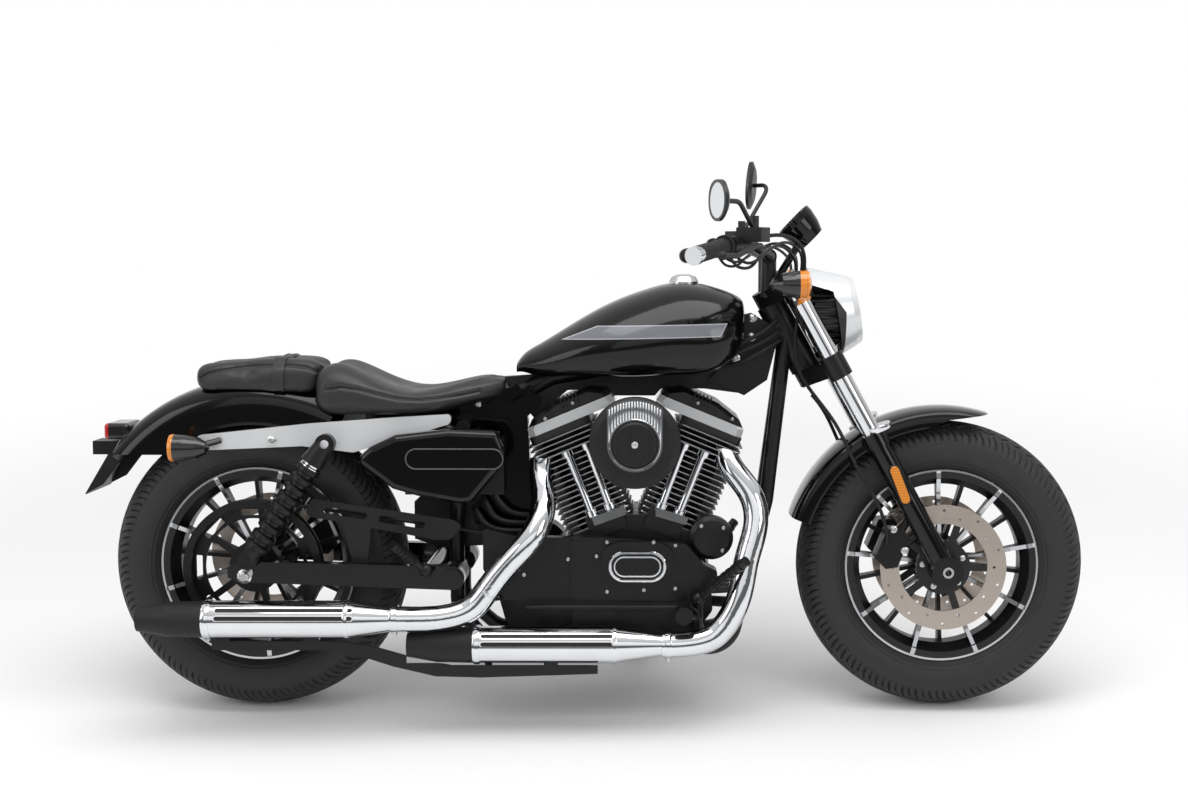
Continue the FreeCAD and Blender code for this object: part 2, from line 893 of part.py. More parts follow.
front_place = Placement(FRONT_AXLE, Rotation())
rear_place = Placement(REAR_AXLE, Rotation())
front_hub_half = cells.front_hub_width / 2
rear_hub_half = cells.rear_hub_width / 2

keep("front_tyre", tyre(cells.front_tyre_radius, cells.front_tyre_width,
                        cells.front_crown_radius, cells.front_rim_width), front_place)
keep("rear_tyre", tyre(cells.rear_tyre_radius, cells.rear_tyre_width,
                       cells.rear_crown_radius, cells.rear_rim_width), rear_place)
keep_object("front_wheel", cast_wheel(
    "front_wheel", bound.front_rim_width, bound.front_hub_width, bound.hub_radius,
    bound.front_axle_radius, cells.front_spoke_start), front_place)
keep_object("rear_wheel", cast_wheel(
    "rear_wheel", bound.rear_rim_width, bound.rear_hub_width, bound.hub_radius,
    bound.rear_axle_radius, cells.rear_spoke_start), rear_place)

front_disc_side = front_hub_half + cells.disc_offset
keep("front_discs", Part.makeCompound([
    brake_disc(hand * front_disc_side, hand * front_hub_half, hand) for hand in (-1, 1)
]), front_place)
rear_disc_side = rear_hub_half + cells.rear_disc_offset
keep("rear_disc", brake_disc(rear_disc_side, rear_hub_half, 1), rear_place)


COUNT_PULLEY_SLOTS = 8
COUNT_PULLEY_ARMS = 5
def belt_pulley():
    """The toothed belt's rear pulley: a slotted ring with a flanged rim, on a hub with arms."""
    middle = -cells.belt_middle
    half = cells.pulley_width / 2
    rim_low = cells.pulley_radius - cells.pulley_rim
    flange = half - cells.disc_thickness
    run = cells.pulley_radius - cells.belt_thickness
    bore = cells.hub_flange_radius * DISC_BORE_SHARE
    plate_low = middle + flange - cells.disc_thickness
    wheel = spin([
        (cells.pulley_ring_inner, plate_low), (cells.pulley_ring_inner, middle + flange),
        (rim_low, middle + flange),
        (rim_low, middle + half), (cells.pulley_radius, middle + half),
        (cells.pulley_radius, middle + flange), (run, middle + flange),
        (run, middle - flange), (cells.pulley_radius, middle - flange),
        (cells.pulley_radius, middle - half), (rim_low, middle - half), (rim_low, plate_low),
    ])
    hub = spin([
        (bore, -rear_hub_half), (cells.hub_flange_radius, -rear_hub_half),
        (cells.hub_flange_radius, plate_low), (bore, plate_low),
    ])
    arms = []
    for index in range(COUNT_PULLEY_ARMS):
        arm = Part.makeBox(
            cells.pulley_ring_inner + cells.overrun - cells.hub_radius, cells.disc_thickness,
            cells.pulley_arm_width,
            Vector(cells.hub_radius, plate_low, -cells.pulley_arm_width / 2))
        arm.rotate(Vector(), LEFT, 360.0 * index / COUNT_PULLEY_ARMS)
        arms.append(arm)
    slot_radius = (rim_low + cells.pulley_ring_inner) / 2
    slots = []
    for index in range(COUNT_PULLEY_SLOTS):
        half_run = (cells.pulley_slot_length - cells.pulley_slot_width) / 2
        ends = [Vector(slot_radius, middle - cells.pulley_width, side * half_run)
                for side in (-1, 1)]
        deep = cells.pulley_width * 2
        slot = fuse([
            Part.makeCylinder(cells.pulley_slot_width / 2, deep, end, LEFT) for end in ends
        ] + [
            Part.makeBox(cells.pulley_slot_width, deep, half_run * 2,
                         ends[0] - Vector(cells.pulley_slot_width / 2, 0, 0))
        ])
        slot.rotate(Vector(), LEFT, 360.0 * index / COUNT_PULLEY_SLOTS)
        slots.append(slot)
    return fuse([wheel, hub] + arms).cut(slots)


keep("rear_pulley", belt_pulley(), rear_place)

front_foot_inner = cells.fork_half_spacing - cells.slider_foot_width / 2
keep("front_axle", axle_pin(
    cells.fork_half_spacing + cells.slider_foot_width / 2 + cells.axle_end, cells.front_axle_radius,
    [(hand * (front_hub_half + cells.seat_gap), hand * front_foot_inner, cells.spacer_radius)
     for hand in (-1, 1)]), front_place)
rear_arm_inner = cells.swingarm_middle - cells.swingarm_width / 2
rear_arm_outer = cells.swingarm_middle + cells.swingarm_width / 2
keep("rear_axle", axle_pin(
    rear_arm_outer + cells.axle_end, cells.rear_axle_radius,
    [(hand * (rear_hub_half + cells.seat_gap), hand * rear_arm_inner, cells.spacer_radius)
     for hand in (-1, 1)]), rear_place)


# Belt drive: front sprocket and the belt round both wheels

def belt_loop():
    """A flat belt that runs round the pulley and the gearbox sprocket."""
    side = -cells.belt_middle - cells.belt_width / 2
    back = Vector(REAR_AXLE.x, side, REAR_AXLE.z)
    front = Vector(cells.sprocket_x, side, cells.sprocket_z)
    big = cells.pulley_radius - cells.belt_thickness + cells.seat_gap
    small = cells.sprocket_radius

    def outline(extra):
        reach = (front - back).Length
        slope = math.atan2(front.z - back.z, front.x - back.x)
        lift = math.acos((big - small) / reach)
        points = []
        for centre, radius, sign in (
            (back, big + extra, 1), (front, small + extra, 1),
            (front, small + extra, -1), (back, big + extra, -1),
        ):
            angle = slope + sign * lift
            points.append(centre + Vector(math.cos(angle), 0, math.sin(angle)) * radius)
        nose = front + Vector(math.cos(slope), 0, math.sin(slope)) * (small + extra)
        tail = back - Vector(math.cos(slope), 0, math.sin(slope)) * (big + extra)
        return Part.Face(Part.Wire([
            Part.makeLine(points[0], points[1]),
            Part.Arc(points[1], nose, points[2]).toShape(),
            Part.makeLine(points[2], points[3]),
            Part.Arc(points[3], tail, points[0]).toShape(),
        ]))

    return outline(cells.belt_thickness).cut(outline(0)).extrude(LEFT * cells.belt_width)


keep("drive_belt", belt_loop())


# Front end: fork, clamps, stem, handlebar and what they carry

LEGS = (-1, 1)


def leg_rod(low, high, radius, hand, forward=0.0):
    return rod(fork_point(low, forward, hand * cells.fork_half_spacing),
               fork_point(high, forward, hand * cells.fork_half_spacing), radius)


def slider_leg(hand):
    """A fork slider with its axle foot and dust seal."""
    side = hand * cells.fork_half_spacing
    foot = cells.slider_foot
    leg = fuse([
        leg_rod(0, cells.slider_length, cells.slider_radius, hand),
        leg_rod(cells.slider_length - foot, cells.slider_length,
                cells.slider_radius + cells.slider_collar, hand),
        Part.makeCylinder(foot, cells.slider_foot_width,
                          fork_point(0, 0, side - cells.slider_foot_width / 2), LEFT),
    ])
    bore = leg_rod(cells.slider_length / 2, cells.slider_length + cells.overrun,
                   cells.fork_tube_radius, hand)
    hole = Part.makeCylinder(
        cells.front_axle_radius, cells.slider_foot_width * 2,
        fork_point(0, 0, side - cells.slider_foot_width), LEFT)
    return leg.cut([bore, hole])


keep("fork_sliders", Part.makeCompound([slider_leg(hand) for hand in LEGS]))
keep("fork_tubes", Part.makeCompound([
    leg_rod(cells.slider_length / 2, cells.fork_length, cells.fork_tube_radius, hand)
    for hand in LEGS
]))


CLAMP_WAIST_SHARE = 0.45
def clamp_bridge(height, ring_half):
    """A fork clamp: two split rings joined by a waisted bridge round the steering stem."""
    ring = cells.fork_tube_radius + cells.clamp_wall
    half = cells.clamp_thickness / 2
    spacing = cells.fork_half_spacing
    offset = cells.clamp_offset
    waist = cells.stem_radius + cells.clamp_wall
    face = closed_face([
        stem_point(height - half, forward, side) for forward, side in (
            (offset + ring / 2, -spacing), (offset, spacing * -CLAMP_WAIST_SHARE),
            (offset, spacing * CLAMP_WAIST_SHARE), (offset + ring / 2, spacing),
            (offset - ring, spacing), (-waist, waist), (-waist, -waist),
            (offset - ring, -spacing),
        )
    ])
    solids = [face.extrude(FORK_UP * cells.clamp_thickness)]
    solids += [leg_rod(height - ring_half, height + ring_half, ring, hand) for hand in LEGS]
    solids.append(rod(stem_point(height - half), stem_point(height + half),
                      waist + cells.clamp_wall / 2))
    return solids


stem_low = cells.lower_clamp_height - cells.clamp_thickness / 2
stem_high = cells.upper_clamp_height + cells.clamp_thickness / 2
tube_bores = [
    leg_rod(cells.lower_clamp_height - cells.lower_ring_height, cells.fork_length + cells.overrun,
            cells.fork_tube_radius, hand) for hand in LEGS
]
clamps = clamp_bridge(cells.lower_clamp_height, cells.lower_ring_height / 2) + clamp_bridge(
    cells.upper_clamp_height, cells.clamp_thickness / 2)
clamps.append(rod(stem_point(stem_low), stem_point(stem_high), cells.stem_radius))
bar_seat = stem_point(cells.upper_clamp_height)
bar_centre = bar_seat + Vector(0, 0, cells.riser_height)


def bar_point(side, back=0.0, up=0.0):
    return bar_centre + Vector(-back, side, up)


BAR_BEND_SHARE = 0.4
def bar_points():
    """Corner points of the handlebar from the left grip's end to the right one's."""
    half = cells.bar_half_width
    grip = half - cells.grip_length
    right = [
        bar_point(half, cells.bar_pull_back + cells.bar_sweep, cells.bar_rise - cells.bar_drop),
        bar_point(grip, cells.bar_pull_back, cells.bar_rise),
        bar_point(cells.bar_bend_side, cells.bar_pull_back * BAR_BEND_SHARE, cells.bar_rise),
        bar_point(cells.riser_half_spacing * 2, 0, 0),
    ]
    left = [Vector(point.x, -point.y, point.z) for point in reversed(right)]
    return right + left


handlebar_path = bar_points()
keep("handlebar", bent_tube(handlebar_path, cells.bar_bend_radius, cells.bar_radius))


def riser(hand):
    side = hand * cells.riser_half_spacing
    foot = bar_seat + LEFT * side
    return [
        rod(foot, bar_centre + LEFT * side, cells.riser_radius),
        rod(bar_centre + LEFT * (side - cells.riser_radius),
            bar_centre + LEFT * (side + cells.riser_radius),
            cells.bar_radius + cells.clamp_wall),
    ]


bar_hole = rod(bar_centre - LEFT * (cells.riser_half_spacing * 2),
               bar_centre + LEFT * (cells.riser_half_spacing * 2), cells.bar_radius)
fork_clamps = fuse([fuse(clamps), fuse(riser(-1) + riser(1))]).cut([bar_hole] + tube_bores)


GRIP_RING_SHARE = 1.35
GRIP_CAP_SHARE = 1.1
def grip(hand):
    """A grip with a flanged inner ring and a domed end cap, on the end of the bar."""
    outer, inner = [
        Vector(point.x, hand * point.y, point.z) for point in handlebar_path[:2]
    ]
    run = (outer - inner).normalize()
    start = inner + run * cells.grip_cap
    whole = fuse([
        rod(start, outer, cells.grip_radius),
        rod(start, start + run * cells.grip_cap, cells.grip_radius * GRIP_RING_SHARE),
        rod(outer - run * cells.grip_cap, outer + run * cells.grip_cap,
            cells.grip_radius * GRIP_CAP_SHARE),
    ])
    return whole.cut(rod(inner, outer, cells.bar_radius))


keep("grips", Part.makeCompound([grip(hand) for hand in LEGS]))


def bar_between(share, hand):
    """A point on the straight of the bar beside the grip, and the bar's direction there."""
    inner, bend = [
        Vector(point.x, hand * point.y, point.z) for point in handlebar_path[1:3]
    ]
    return inner + (bend - inner) * share, (bend - inner).normalize()


CONTROL_START_SHARE = 0.06
LEVER_BEND_SHARE = 0.5
LEVER_BALL_SHARE = 0.8
def control(hand):
    """A switch housing, lever perch with its reservoir, and the lever ahead of the grip."""
    near, run = bar_between(CONTROL_START_SHARE, hand)
    housing = rod(near, near + run * cells.switch_width, cells.switch_radius)
    perch_start = near + run * (cells.switch_width + cells.seat_gap)
    perch = rod(perch_start, perch_start + run * cells.perch_width,
                cells.bar_radius + cells.clamp_wall)
    ahead = run.cross(Vector(0, 0, 1)).normalize()
    ahead = ahead * (1 if ahead.x > 0 else -1)
    middle = perch_start + run * (cells.perch_width / 2)
    box = Part.makeBox(cells.perch_length, cells.perch_width, cells.perch_height,
                       Vector(0, -cells.perch_width / 2, cells.perch_height / 4))
    box.Placement = Placement(
        middle, Rotation(ahead, run * -hand, Vector(0, 0, 1), "XYZ")
    )
    pivot = middle + ahead * (cells.perch_length - cells.lever_width)
    outer = Vector(handlebar_path[0].x, hand * handlebar_path[0].y, handlebar_path[0].z)
    tip = outer + ahead * cells.lever_reach
    lever = bent_tube([
        pivot, pivot - run * cells.perch_width + ahead * cells.lever_width,
        tip + run * (cells.grip_length * LEVER_BEND_SHARE), tip,
    ], cells.bar_bend_radius, cells.lever_width / 2)
    ball = Part.makeSphere(cells.lever_width * LEVER_BALL_SHARE, tip)
    whole = fuse([housing, perch, box, lever, ball])
    return whole.cut(rod(near - run * cells.grip_length, near + run * cells.grip_length,
                         cells.bar_radius))


hand_controls = Part.makeCompound([control(hand) for hand in LEGS])
keep("hand_controls", hand_controls)


def mirror_head_outline():
    """Rounded teardrop of the mirror head, seen from behind."""
    half = cells.mirror_length / 2
    tall = cells.mirror_height / 2
    return [Vector(0, along * half, up * tall) for along, up in MIRROR_SHARES]


MIRROR_SHARES = (
    (-1.0, 0.0), (-0.86, 0.62), (-0.4, 0.96), (0.15, 1.0), (0.7, 0.8), (1.0, 0.25),
    (0.95, -0.35), (0.55, -0.82), (0.0, -1.0), (-0.5, -0.85), (-0.88, -0.5),
)


MIRROR_BACK_SHARE = 0.72
def mirror(hand, place_x, place_z, roll):
    """A mirror: a teardrop shell, turned outward a little, and its bent stem from the perch."""
    near, run = bar_between(CONTROL_START_SHARE, hand)
    middle = near + run * (cells.switch_width + cells.seat_gap + cells.perch_width / 2)
    foot = middle + Vector(cells.perch_length / 2, 0, cells.perch_height * 5 / 4)
    centre = Vector(place_x, hand * cells.mirror_side, place_z)
    elbow = Vector(place_x + cells.mirror_elbow_ahead, hand * cells.mirror_elbow_side, place_z)
    turn = Rotation(Vector(0, 0, 1), -hand * cells.mirror_yaw).multiply(
        Rotation(Vector(1, 0, 0), hand * roll))

    def outline(share, deep):
        return smooth_loop([centre + turn.multVec(
            Vector(deep, point.y * hand * share, point.z * share))
            for point in mirror_head_outline()])

    shell = Part.makeLoft([
        outline(1.0, 0), outline(1.0, cells.mirror_thickness / 2),
        outline(MIRROR_BACK_SHARE, cells.mirror_thickness),
    ], True, True)
    end = centre + turn.multVec(Vector(cells.mirror_thickness / 2, 0, 0))
    stem = bent_tube([foot - Vector(0, 0, cells.perch_height / 4), elbow, end],
                     cells.bar_bend_radius, cells.mirror_stem_radius)
    boss = rod(foot + Vector(0, 0, cells.seat_gap), foot + Vector(0, 0, cells.mirror_boss_height),
               cells.mirror_boss_radius)
    stem = stem.cut(Part.makeBox(
        cells.perch_length, cells.perch_length, cells.perch_height,
        foot + Vector(-cells.perch_length / 2, -cells.perch_length / 2,
                      cells.seat_gap - cells.perch_height)))
    return fuse([shell, stem, boss])


keep("mirrors", Part.makeCompound([
    mirror(-1, cells.right_mirror_x, cells.right_mirror_z, 0),
    mirror(1, cells.left_mirror_x, cells.left_mirror_z, cells.left_mirror_roll),
]))


# Headlamp, speedometer and signals

def turned_between(start, direction, outline):
    """A solid turned round a line from start, from (along, radius) points."""
    axis = Vector(direction).normalize()
    side = Vector(0, 0, 1) if abs(axis.y) > abs(axis.x) + abs(axis.z) else axis.cross(LEFT)
    points = [start + axis * along + side * radius for along, radius in outline]
    return closed_face(points).revolve(start, axis, 360.0)


LAMP_SHARES = (0.36, 0.66, 0.86, 0.97)
SHELL_SHARES = (0.5, 0.82, 0.92)
SHELL_DEPTH_SHARES = (0.08, 0.22)
lamp_tilt = math.radians(cells.headlamp_tilt)
lamp_ahead = Vector(math.cos(lamp_tilt), 0, math.sin(lamp_tilt))
lamp_up = Vector(-math.sin(lamp_tilt), 0, math.cos(lamp_tilt))
lamp_centre = stem_point(cells.headlamp_up, cells.headlamp_forward)
lamp_radius = cells.headlamp_radius
lamp_back = lamp_centre - lamp_ahead * cells.headlamp_depth
lamp_rim = cells.headlamp_depth - cells.headlamp_rim
bezel_back = cells.headlamp_depth - cells.bezel_depth
ring_inner = lamp_radius - cells.hood_wall * 2


def lamp_envelope(gap):
    """The headlamp's body: a drum, drawn in at the back and under the hood's ring."""
    body = lamp_radius * SHELL_SHARES[2] + gap
    return turned_between(lamp_back - lamp_ahead * gap, lamp_ahead, [
        (0, 0), (0, lamp_radius * SHELL_SHARES[0] + gap),
        (cells.headlamp_depth * SHELL_DEPTH_SHARES[0], lamp_radius * SHELL_SHARES[1] + gap),
        (cells.headlamp_depth * SHELL_DEPTH_SHARES[1], body),
        (bezel_back, body), (bezel_back, ring_inner + gap - cells.seat_gap),
        (cells.headlamp_depth + gap, ring_inner + gap - cells.seat_gap),
        (cells.headlamp_depth + gap, 0),
    ])


bowl = turned_between(lamp_back, lamp_ahead, [
    (lamp_rim, 0), (lamp_rim, ring_inner - cells.hood_wall),
    (cells.headlamp_depth, ring_inner - cells.hood_wall), (cells.headlamp_depth + cells.overrun, 0),
])
keep("headlamp_shell", lamp_envelope(0.0).cut(bowl))
keep("headlamp_lens", turned_between(lamp_back, lamp_ahead, [
    (lamp_rim + cells.seat_gap, 0),
    (lamp_rim + cells.seat_gap, ring_inner - cells.hood_wall - cells.seat_gap),
    (cells.headlamp_depth + cells.seat_gap, ring_inner - cells.hood_wall - cells.seat_gap),
    (cells.headlamp_depth + cells.lens_bulge / 2, lamp_radius * LAMP_SHARES[1]),
    (cells.headlamp_depth + cells.lens_bulge, lamp_radius * LAMP_SHARES[0]),
    (cells.headlamp_depth + cells.lens_bulge, 0),
]))


def lamp_hood():
    """The bright hood: a ring round the lens that runs back over the lamp as a flared peak."""
    wall = cells.hood_wall
    back = -cells.hood_back
    shell = turned_between(lamp_centre, lamp_ahead, [
        (back, cells.hood_back_radius - wall), (back, cells.hood_back_radius),
        (-cells.seat_gap * 2, cells.hood_front_radius + cells.seat_gap),
        (cells.bezel_nose, ring_inner), (cells.bezel_nose, ring_inner - wall),
        (cells.seat_gap, ring_inner - wall), (cells.seat_gap, ring_inner + cells.seat_gap),
        (-cells.bezel_depth, ring_inner + cells.seat_gap),
        (-cells.bezel_depth, lamp_radius),
    ])
    low = -cells.hood_back_radius
    side = lamp_centre - LEFT * cells.hood_back_radius
    window = closed_face([
        side + lamp_ahead * along + lamp_up * up for along, up in (
            (back - wall, low), (-cells.bezel_depth, low),
            (-cells.bezel_depth, cells.hood_edge_front), (back - wall, cells.hood_edge_back),
        )
    ]).extrude(LEFT * (cells.hood_back_radius * 2))
    return shell.cut(window)


keep("headlamp_hood", lamp_hood())
post_foot = stem_point(cells.lower_clamp_height, cells.clamp_offset)
post_head = lamp_centre - lamp_ahead * (cells.headlamp_depth / 2) - lamp_up * (lamp_radius / 2)
keep("fork_clamps", fuse([fork_clamps, rod(
    post_foot, post_head, cells.lamp_post_radius).cut(lamp_envelope(cells.seat_gap))]))

dial_tilt = math.radians(cells.dial_tilt)
dial_out = Vector(-math.sin(dial_tilt), 0, math.cos(dial_tilt))
dial_centre = stem_point(cells.headlamp_up + cells.dial_rise, cells.dial_forward)
pod_back = dial_centre - dial_out * cells.speedometer_depth
pod_radius = cells.speedometer_radius
pod = turned_between(pod_back, dial_out, [
    (0, 0), (0, pod_radius * LAMP_SHARES[1]),
    (cells.speedometer_depth / 3, pod_radius * LAMP_SHARES[2]),
    (cells.speedometer_depth - cells.headlamp_rim, pod_radius),
    (cells.speedometer_depth, pod_radius),
    (cells.speedometer_depth, pod_radius - cells.fender_wall),
    (cells.speedometer_depth - cells.fender_wall, pod_radius - cells.fender_wall),
    (cells.speedometer_depth - cells.fender_wall, 0),
])
pod_foot = stem_point(cells.upper_clamp_height + cells.clamp_thickness / 2 + cells.seat_gap,
                      cells.clamp_offset / 2)
pod_bracket = rod(pod_foot, pod_back + dial_out * (cells.speedometer_depth / 3),
                  cells.riser_radius / 2)
keep("speedometer", fuse([pod, pod_bracket.cut(fork_clamps)]))


BULLET_SHARES = ((0.1, 0.45), (0.35, 0.8), (0.7, 0.96))
LENS_DEPTH_SHARE = 0.35
def bullet(nose, direction, length, radius):
    """A bullet-shaped signal body with its open end towards the direction given."""
    return turned_between(nose, direction, [
        (0, 0), (length * BULLET_SHARES[0][0], radius * BULLET_SHARES[0][1]),
        (length * BULLET_SHARES[1][0], radius * BULLET_SHARES[1][1]),
        (length * BULLET_SHARES[2][0], radius * BULLET_SHARES[2][1]),
        (length, radius), (length, 0),
    ])


def signal_lens(nose, direction, length, radius):
    start = nose + Vector(direction).normalize() * (length + cells.seat_gap)
    deep = radius * LENS_DEPTH_SHARE
    return turned_between(start, direction, [
        (0, 0), (0, radius), (deep / 2, radius * BULLET_SHARES[2][1]),
        (deep, radius * BULLET_SHARES[0][1]), (deep, 0),
    ])


front_signals = []
front_lenses = []
rear_signals = []
rear_lenses = []
for hand in LEGS:
    nose = fork_point(cells.front_signal_up, cells.front_signal_back * -1,
                      hand * cells.front_signal_side)
    ahead = Vector(1, 0, 0)
    middle = nose + ahead * (cells.indicator_length / 2)
    foot = fork_point(cells.front_signal_stalk_up, 0,
                      hand * (cells.fork_half_spacing + cells.fork_tube_radius
                              + cells.clamp_wall / 2))
    ring = leg_rod(cells.front_signal_stalk_up - cells.clamp_wall,
                   cells.front_signal_stalk_up + cells.clamp_wall,
                   cells.fork_tube_radius + cells.clamp_wall / 2, hand)
    stalk = rod(foot - LEFT * (hand * cells.clamp_wall / 2), middle,
                cells.indicator_stalk_radius)
    bore = leg_rod(cells.front_signal_stalk_up - cells.clamp_thickness,
                   cells.front_signal_stalk_up + cells.clamp_thickness,
                   cells.fork_tube_radius, hand)
    front_signals.append(fuse([
        bullet(nose, ahead, cells.indicator_length, cells.indicator_radius), stalk, ring,
    ]).cut(bore))
    front_lenses.append(signal_lens(nose, ahead, cells.indicator_length,
                                    cells.indicator_radius))
keep("front_signals", Part.makeCompound(front_signals + front_lenses))


# Fenders

def fender_section(radius, half_width, skirt):
    """Rounded fender section as (radius, side) points: a low crown and near-straight skirts."""
    return [
        (radius - skirt * low, half_width * wide) for low, wide in FENDER_SHARES
    ]


FENDER_SHARES = (
    (1.0, 1.0), (0.55, 0.99), (0.3, 0.93), (0.12, 0.74), (0.03, 0.42), (0.0, 0.0),
)


def fender_face(radius, half_width, skirt, wall):
    """The section between the fender's outer and inner curves, or a filled one without a wall."""
    def line(inset):
        side = fender_section(radius - inset, half_width - inset, skirt - inset)
        points = [Vector(reach, -across, 0) for reach, across in side]
        points += [Vector(reach, across, 0) for reach, across in reversed(side[:-1])]
        curve = Part.BSplineCurve()
        curve.interpolate(points)
        return curve.toShape(), points[0], points[-1]

    outer, outer_start, outer_end = line(0)
    if wall:
        inner, inner_start, inner_end = line(wall)
        edges = [outer, Part.makeLine(outer_end, inner_end), inner,
                 Part.makeLine(inner_start, outer_start)]
    else:
        edges = [outer, Part.makeLine(outer_end, outer_start)]
    return Part.Face(Part.Wire(Part.sortEdges(edges)[0]))


def fender(axle, radius, half_width, skirt, wall, start, end):
    """A fender turned about an axle, from one angle to another, measured up from +X."""
    face = fender_face(radius, half_width, skirt, wall)
    face.rotate(Vector(), LEFT, -start)
    shape = face.revolve(Vector(), LEFT, start - end)
    shape.translate(axle)
    return shape


rear_plug = fender(REAR_AXLE, cells.rear_fender_radius + cells.seat_gap * 2,
                   cells.rear_fender_half_width + cells.seat_gap * 2, cells.rear_fender_skirt, 0,
                   cells.rear_fender_front_angle - cells.plate_arm_sweep,
                   cells.rear_fender_tail_angle)
low_cut = REAR_AXLE.z + cells.rear_fender_edge
rear_trim = Part.makeBox(
    cells.wheelbase, cells.wheelbase, cells.wheelbase,
    Vector(REAR_AXLE.x - cells.wheelbase / 2, -cells.wheelbase / 2, low_cut - cells.wheelbase))
rear_fender = fender(
    REAR_AXLE, cells.rear_fender_radius, cells.rear_fender_half_width, cells.rear_fender_skirt,
    cells.fender_wall, cells.rear_fender_front_angle, cells.rear_fender_tail_angle
).cut(rear_trim)
keep("rear_fender", rear_fender)

NOSE_SHARE = 0.62
front_fender = fender(
    FRONT_AXLE, cells.front_fender_radius, cells.front_fender_half_width,
    cells.front_fender_skirt, cells.fender_wall,
    cells.front_fender_front_angle, cells.front_fender_tail_angle)
fender_lugs = [
    rod(fork_point(cells.fender_lug_up, 0, hand * (cells.front_fender_half_width
                                                   - cells.fender_wall / 2)),
        fork_point(cells.fender_lug_up, 0, hand * (cells.fork_half_spacing
                                                   - cells.slider_radius / 2)),
        cells.fender_lug_radius) for hand in LEGS
]

slider_space = [
    leg_rod(0, cells.slider_length + cells.clamp_thickness,
            cells.slider_radius + cells.seat_gap, hand) for hand in LEGS
] + [
    leg_rod(cells.slider_length - cells.slider_foot - cells.seat_gap,
            cells.slider_length + cells.clamp_thickness,
            cells.slider_radius + cells.slider_collar + cells.seat_gap, hand) for hand in LEGS
]
nose_angle = math.radians(cells.front_fender_front_angle)
nose_cut = closed_face([
    FRONT_AXLE + Vector(math.cos(angle), 0, math.sin(angle)) * reach - LEFT * cells.wheelbase
    for angle, reach in (
        (nose_angle, cells.front_fender_radius - cells.overrun),
        (nose_angle, cells.rim_lip_radius),
        (nose_angle + cells.nose_sweep / cells.front_fender_radius, cells.rim_lip_radius),
        (nose_angle + cells.nose_sweep / cells.front_fender_radius,
         cells.front_fender_radius - cells.front_fender_skirt),
        (nose_angle + cells.nose_sweep * NOSE_SHARE / cells.front_fender_radius,
         cells.front_fender_radius - cells.front_fender_skirt * NOSE_SHARE),
    )
]).extrude(LEFT * (cells.wheelbase * 2))
keep("front_fender", fuse([front_fender] + fender_lugs).cut(slider_space + [nose_cut]))


CALIPER_SHARE = 0.72
def caliper(axle, side, hand, angle, reach_side):
    """A two-half brake caliper over the disc's edge, at an angle from +X about the axle."""
    half = cells.caliper_length / 2
    depth = cells.caliper_height
    low = cells.disc_radius + cells.caliper_gap - depth
    thick = cells.disc_thickness / 2 + cells.caliper_gap
    outline = [
        (low, -half * CALIPER_SHARE), (low, half * CALIPER_SHARE),
        (low + depth / 2, half), (cells.disc_radius + cells.caliper_gap + cells.caliper_bridge,
                                  half * CALIPER_SHARE),
        (cells.disc_radius + cells.caliper_gap + cells.caliper_bridge, -half * CALIPER_SHARE),
        (low + depth / 2, -half),
    ]
    start = side - (thick + cells.caliper_reach) if hand > 0 else side - thick - reach_side
    width = thick * 2 + cells.caliper_reach + reach_side
    face = closed_face([Vector(reach, start, along) for reach, along in outline])
    block = face.extrude(LEFT * width)
    slot = Part.makeCylinder(cells.disc_radius + cells.caliper_gap, thick * 2,
                             Vector(0, side - thick, 0), LEFT)
    block = block.cut(slot)
    block.rotate(Vector(), LEFT, -angle)
    block.translate(axle)
    return block


front_calipers = []
for hand in LEGS:
    block = caliper(FRONT_AXLE, hand * front_disc_side, hand, cells.front_caliper_angle,
                    cells.front_caliper_lug)
    turn = math.radians(cells.front_caliper_angle)
    out = Vector(math.cos(turn), 0, math.sin(turn))
    across = Vector(-math.sin(turn), 0, math.cos(turn))
    middle = cells.disc_radius - cells.caliper_height / 3
    side = hand * (front_disc_side + cells.disc_thickness / 2 + cells.caliper_gap
                   + cells.front_caliper_lug / 2)
    lugs = [
        rod(FRONT_AXLE + out * middle + across * along + LEFT * side,
            fork_point(middle - along, 0, side), cells.fender_lug_radius * CALIPER_SHARE)
        for along in (-cells.caliper_length / 4, cells.caliper_length / 4)
    ]
    front_calipers.append(fuse([block] + lugs).cut(slider_space))
keep("front_calipers", Part.makeCompound(front_calipers))


# Frame

def mirrored(shape):
    return shape.mirror(Vector(), LEFT)


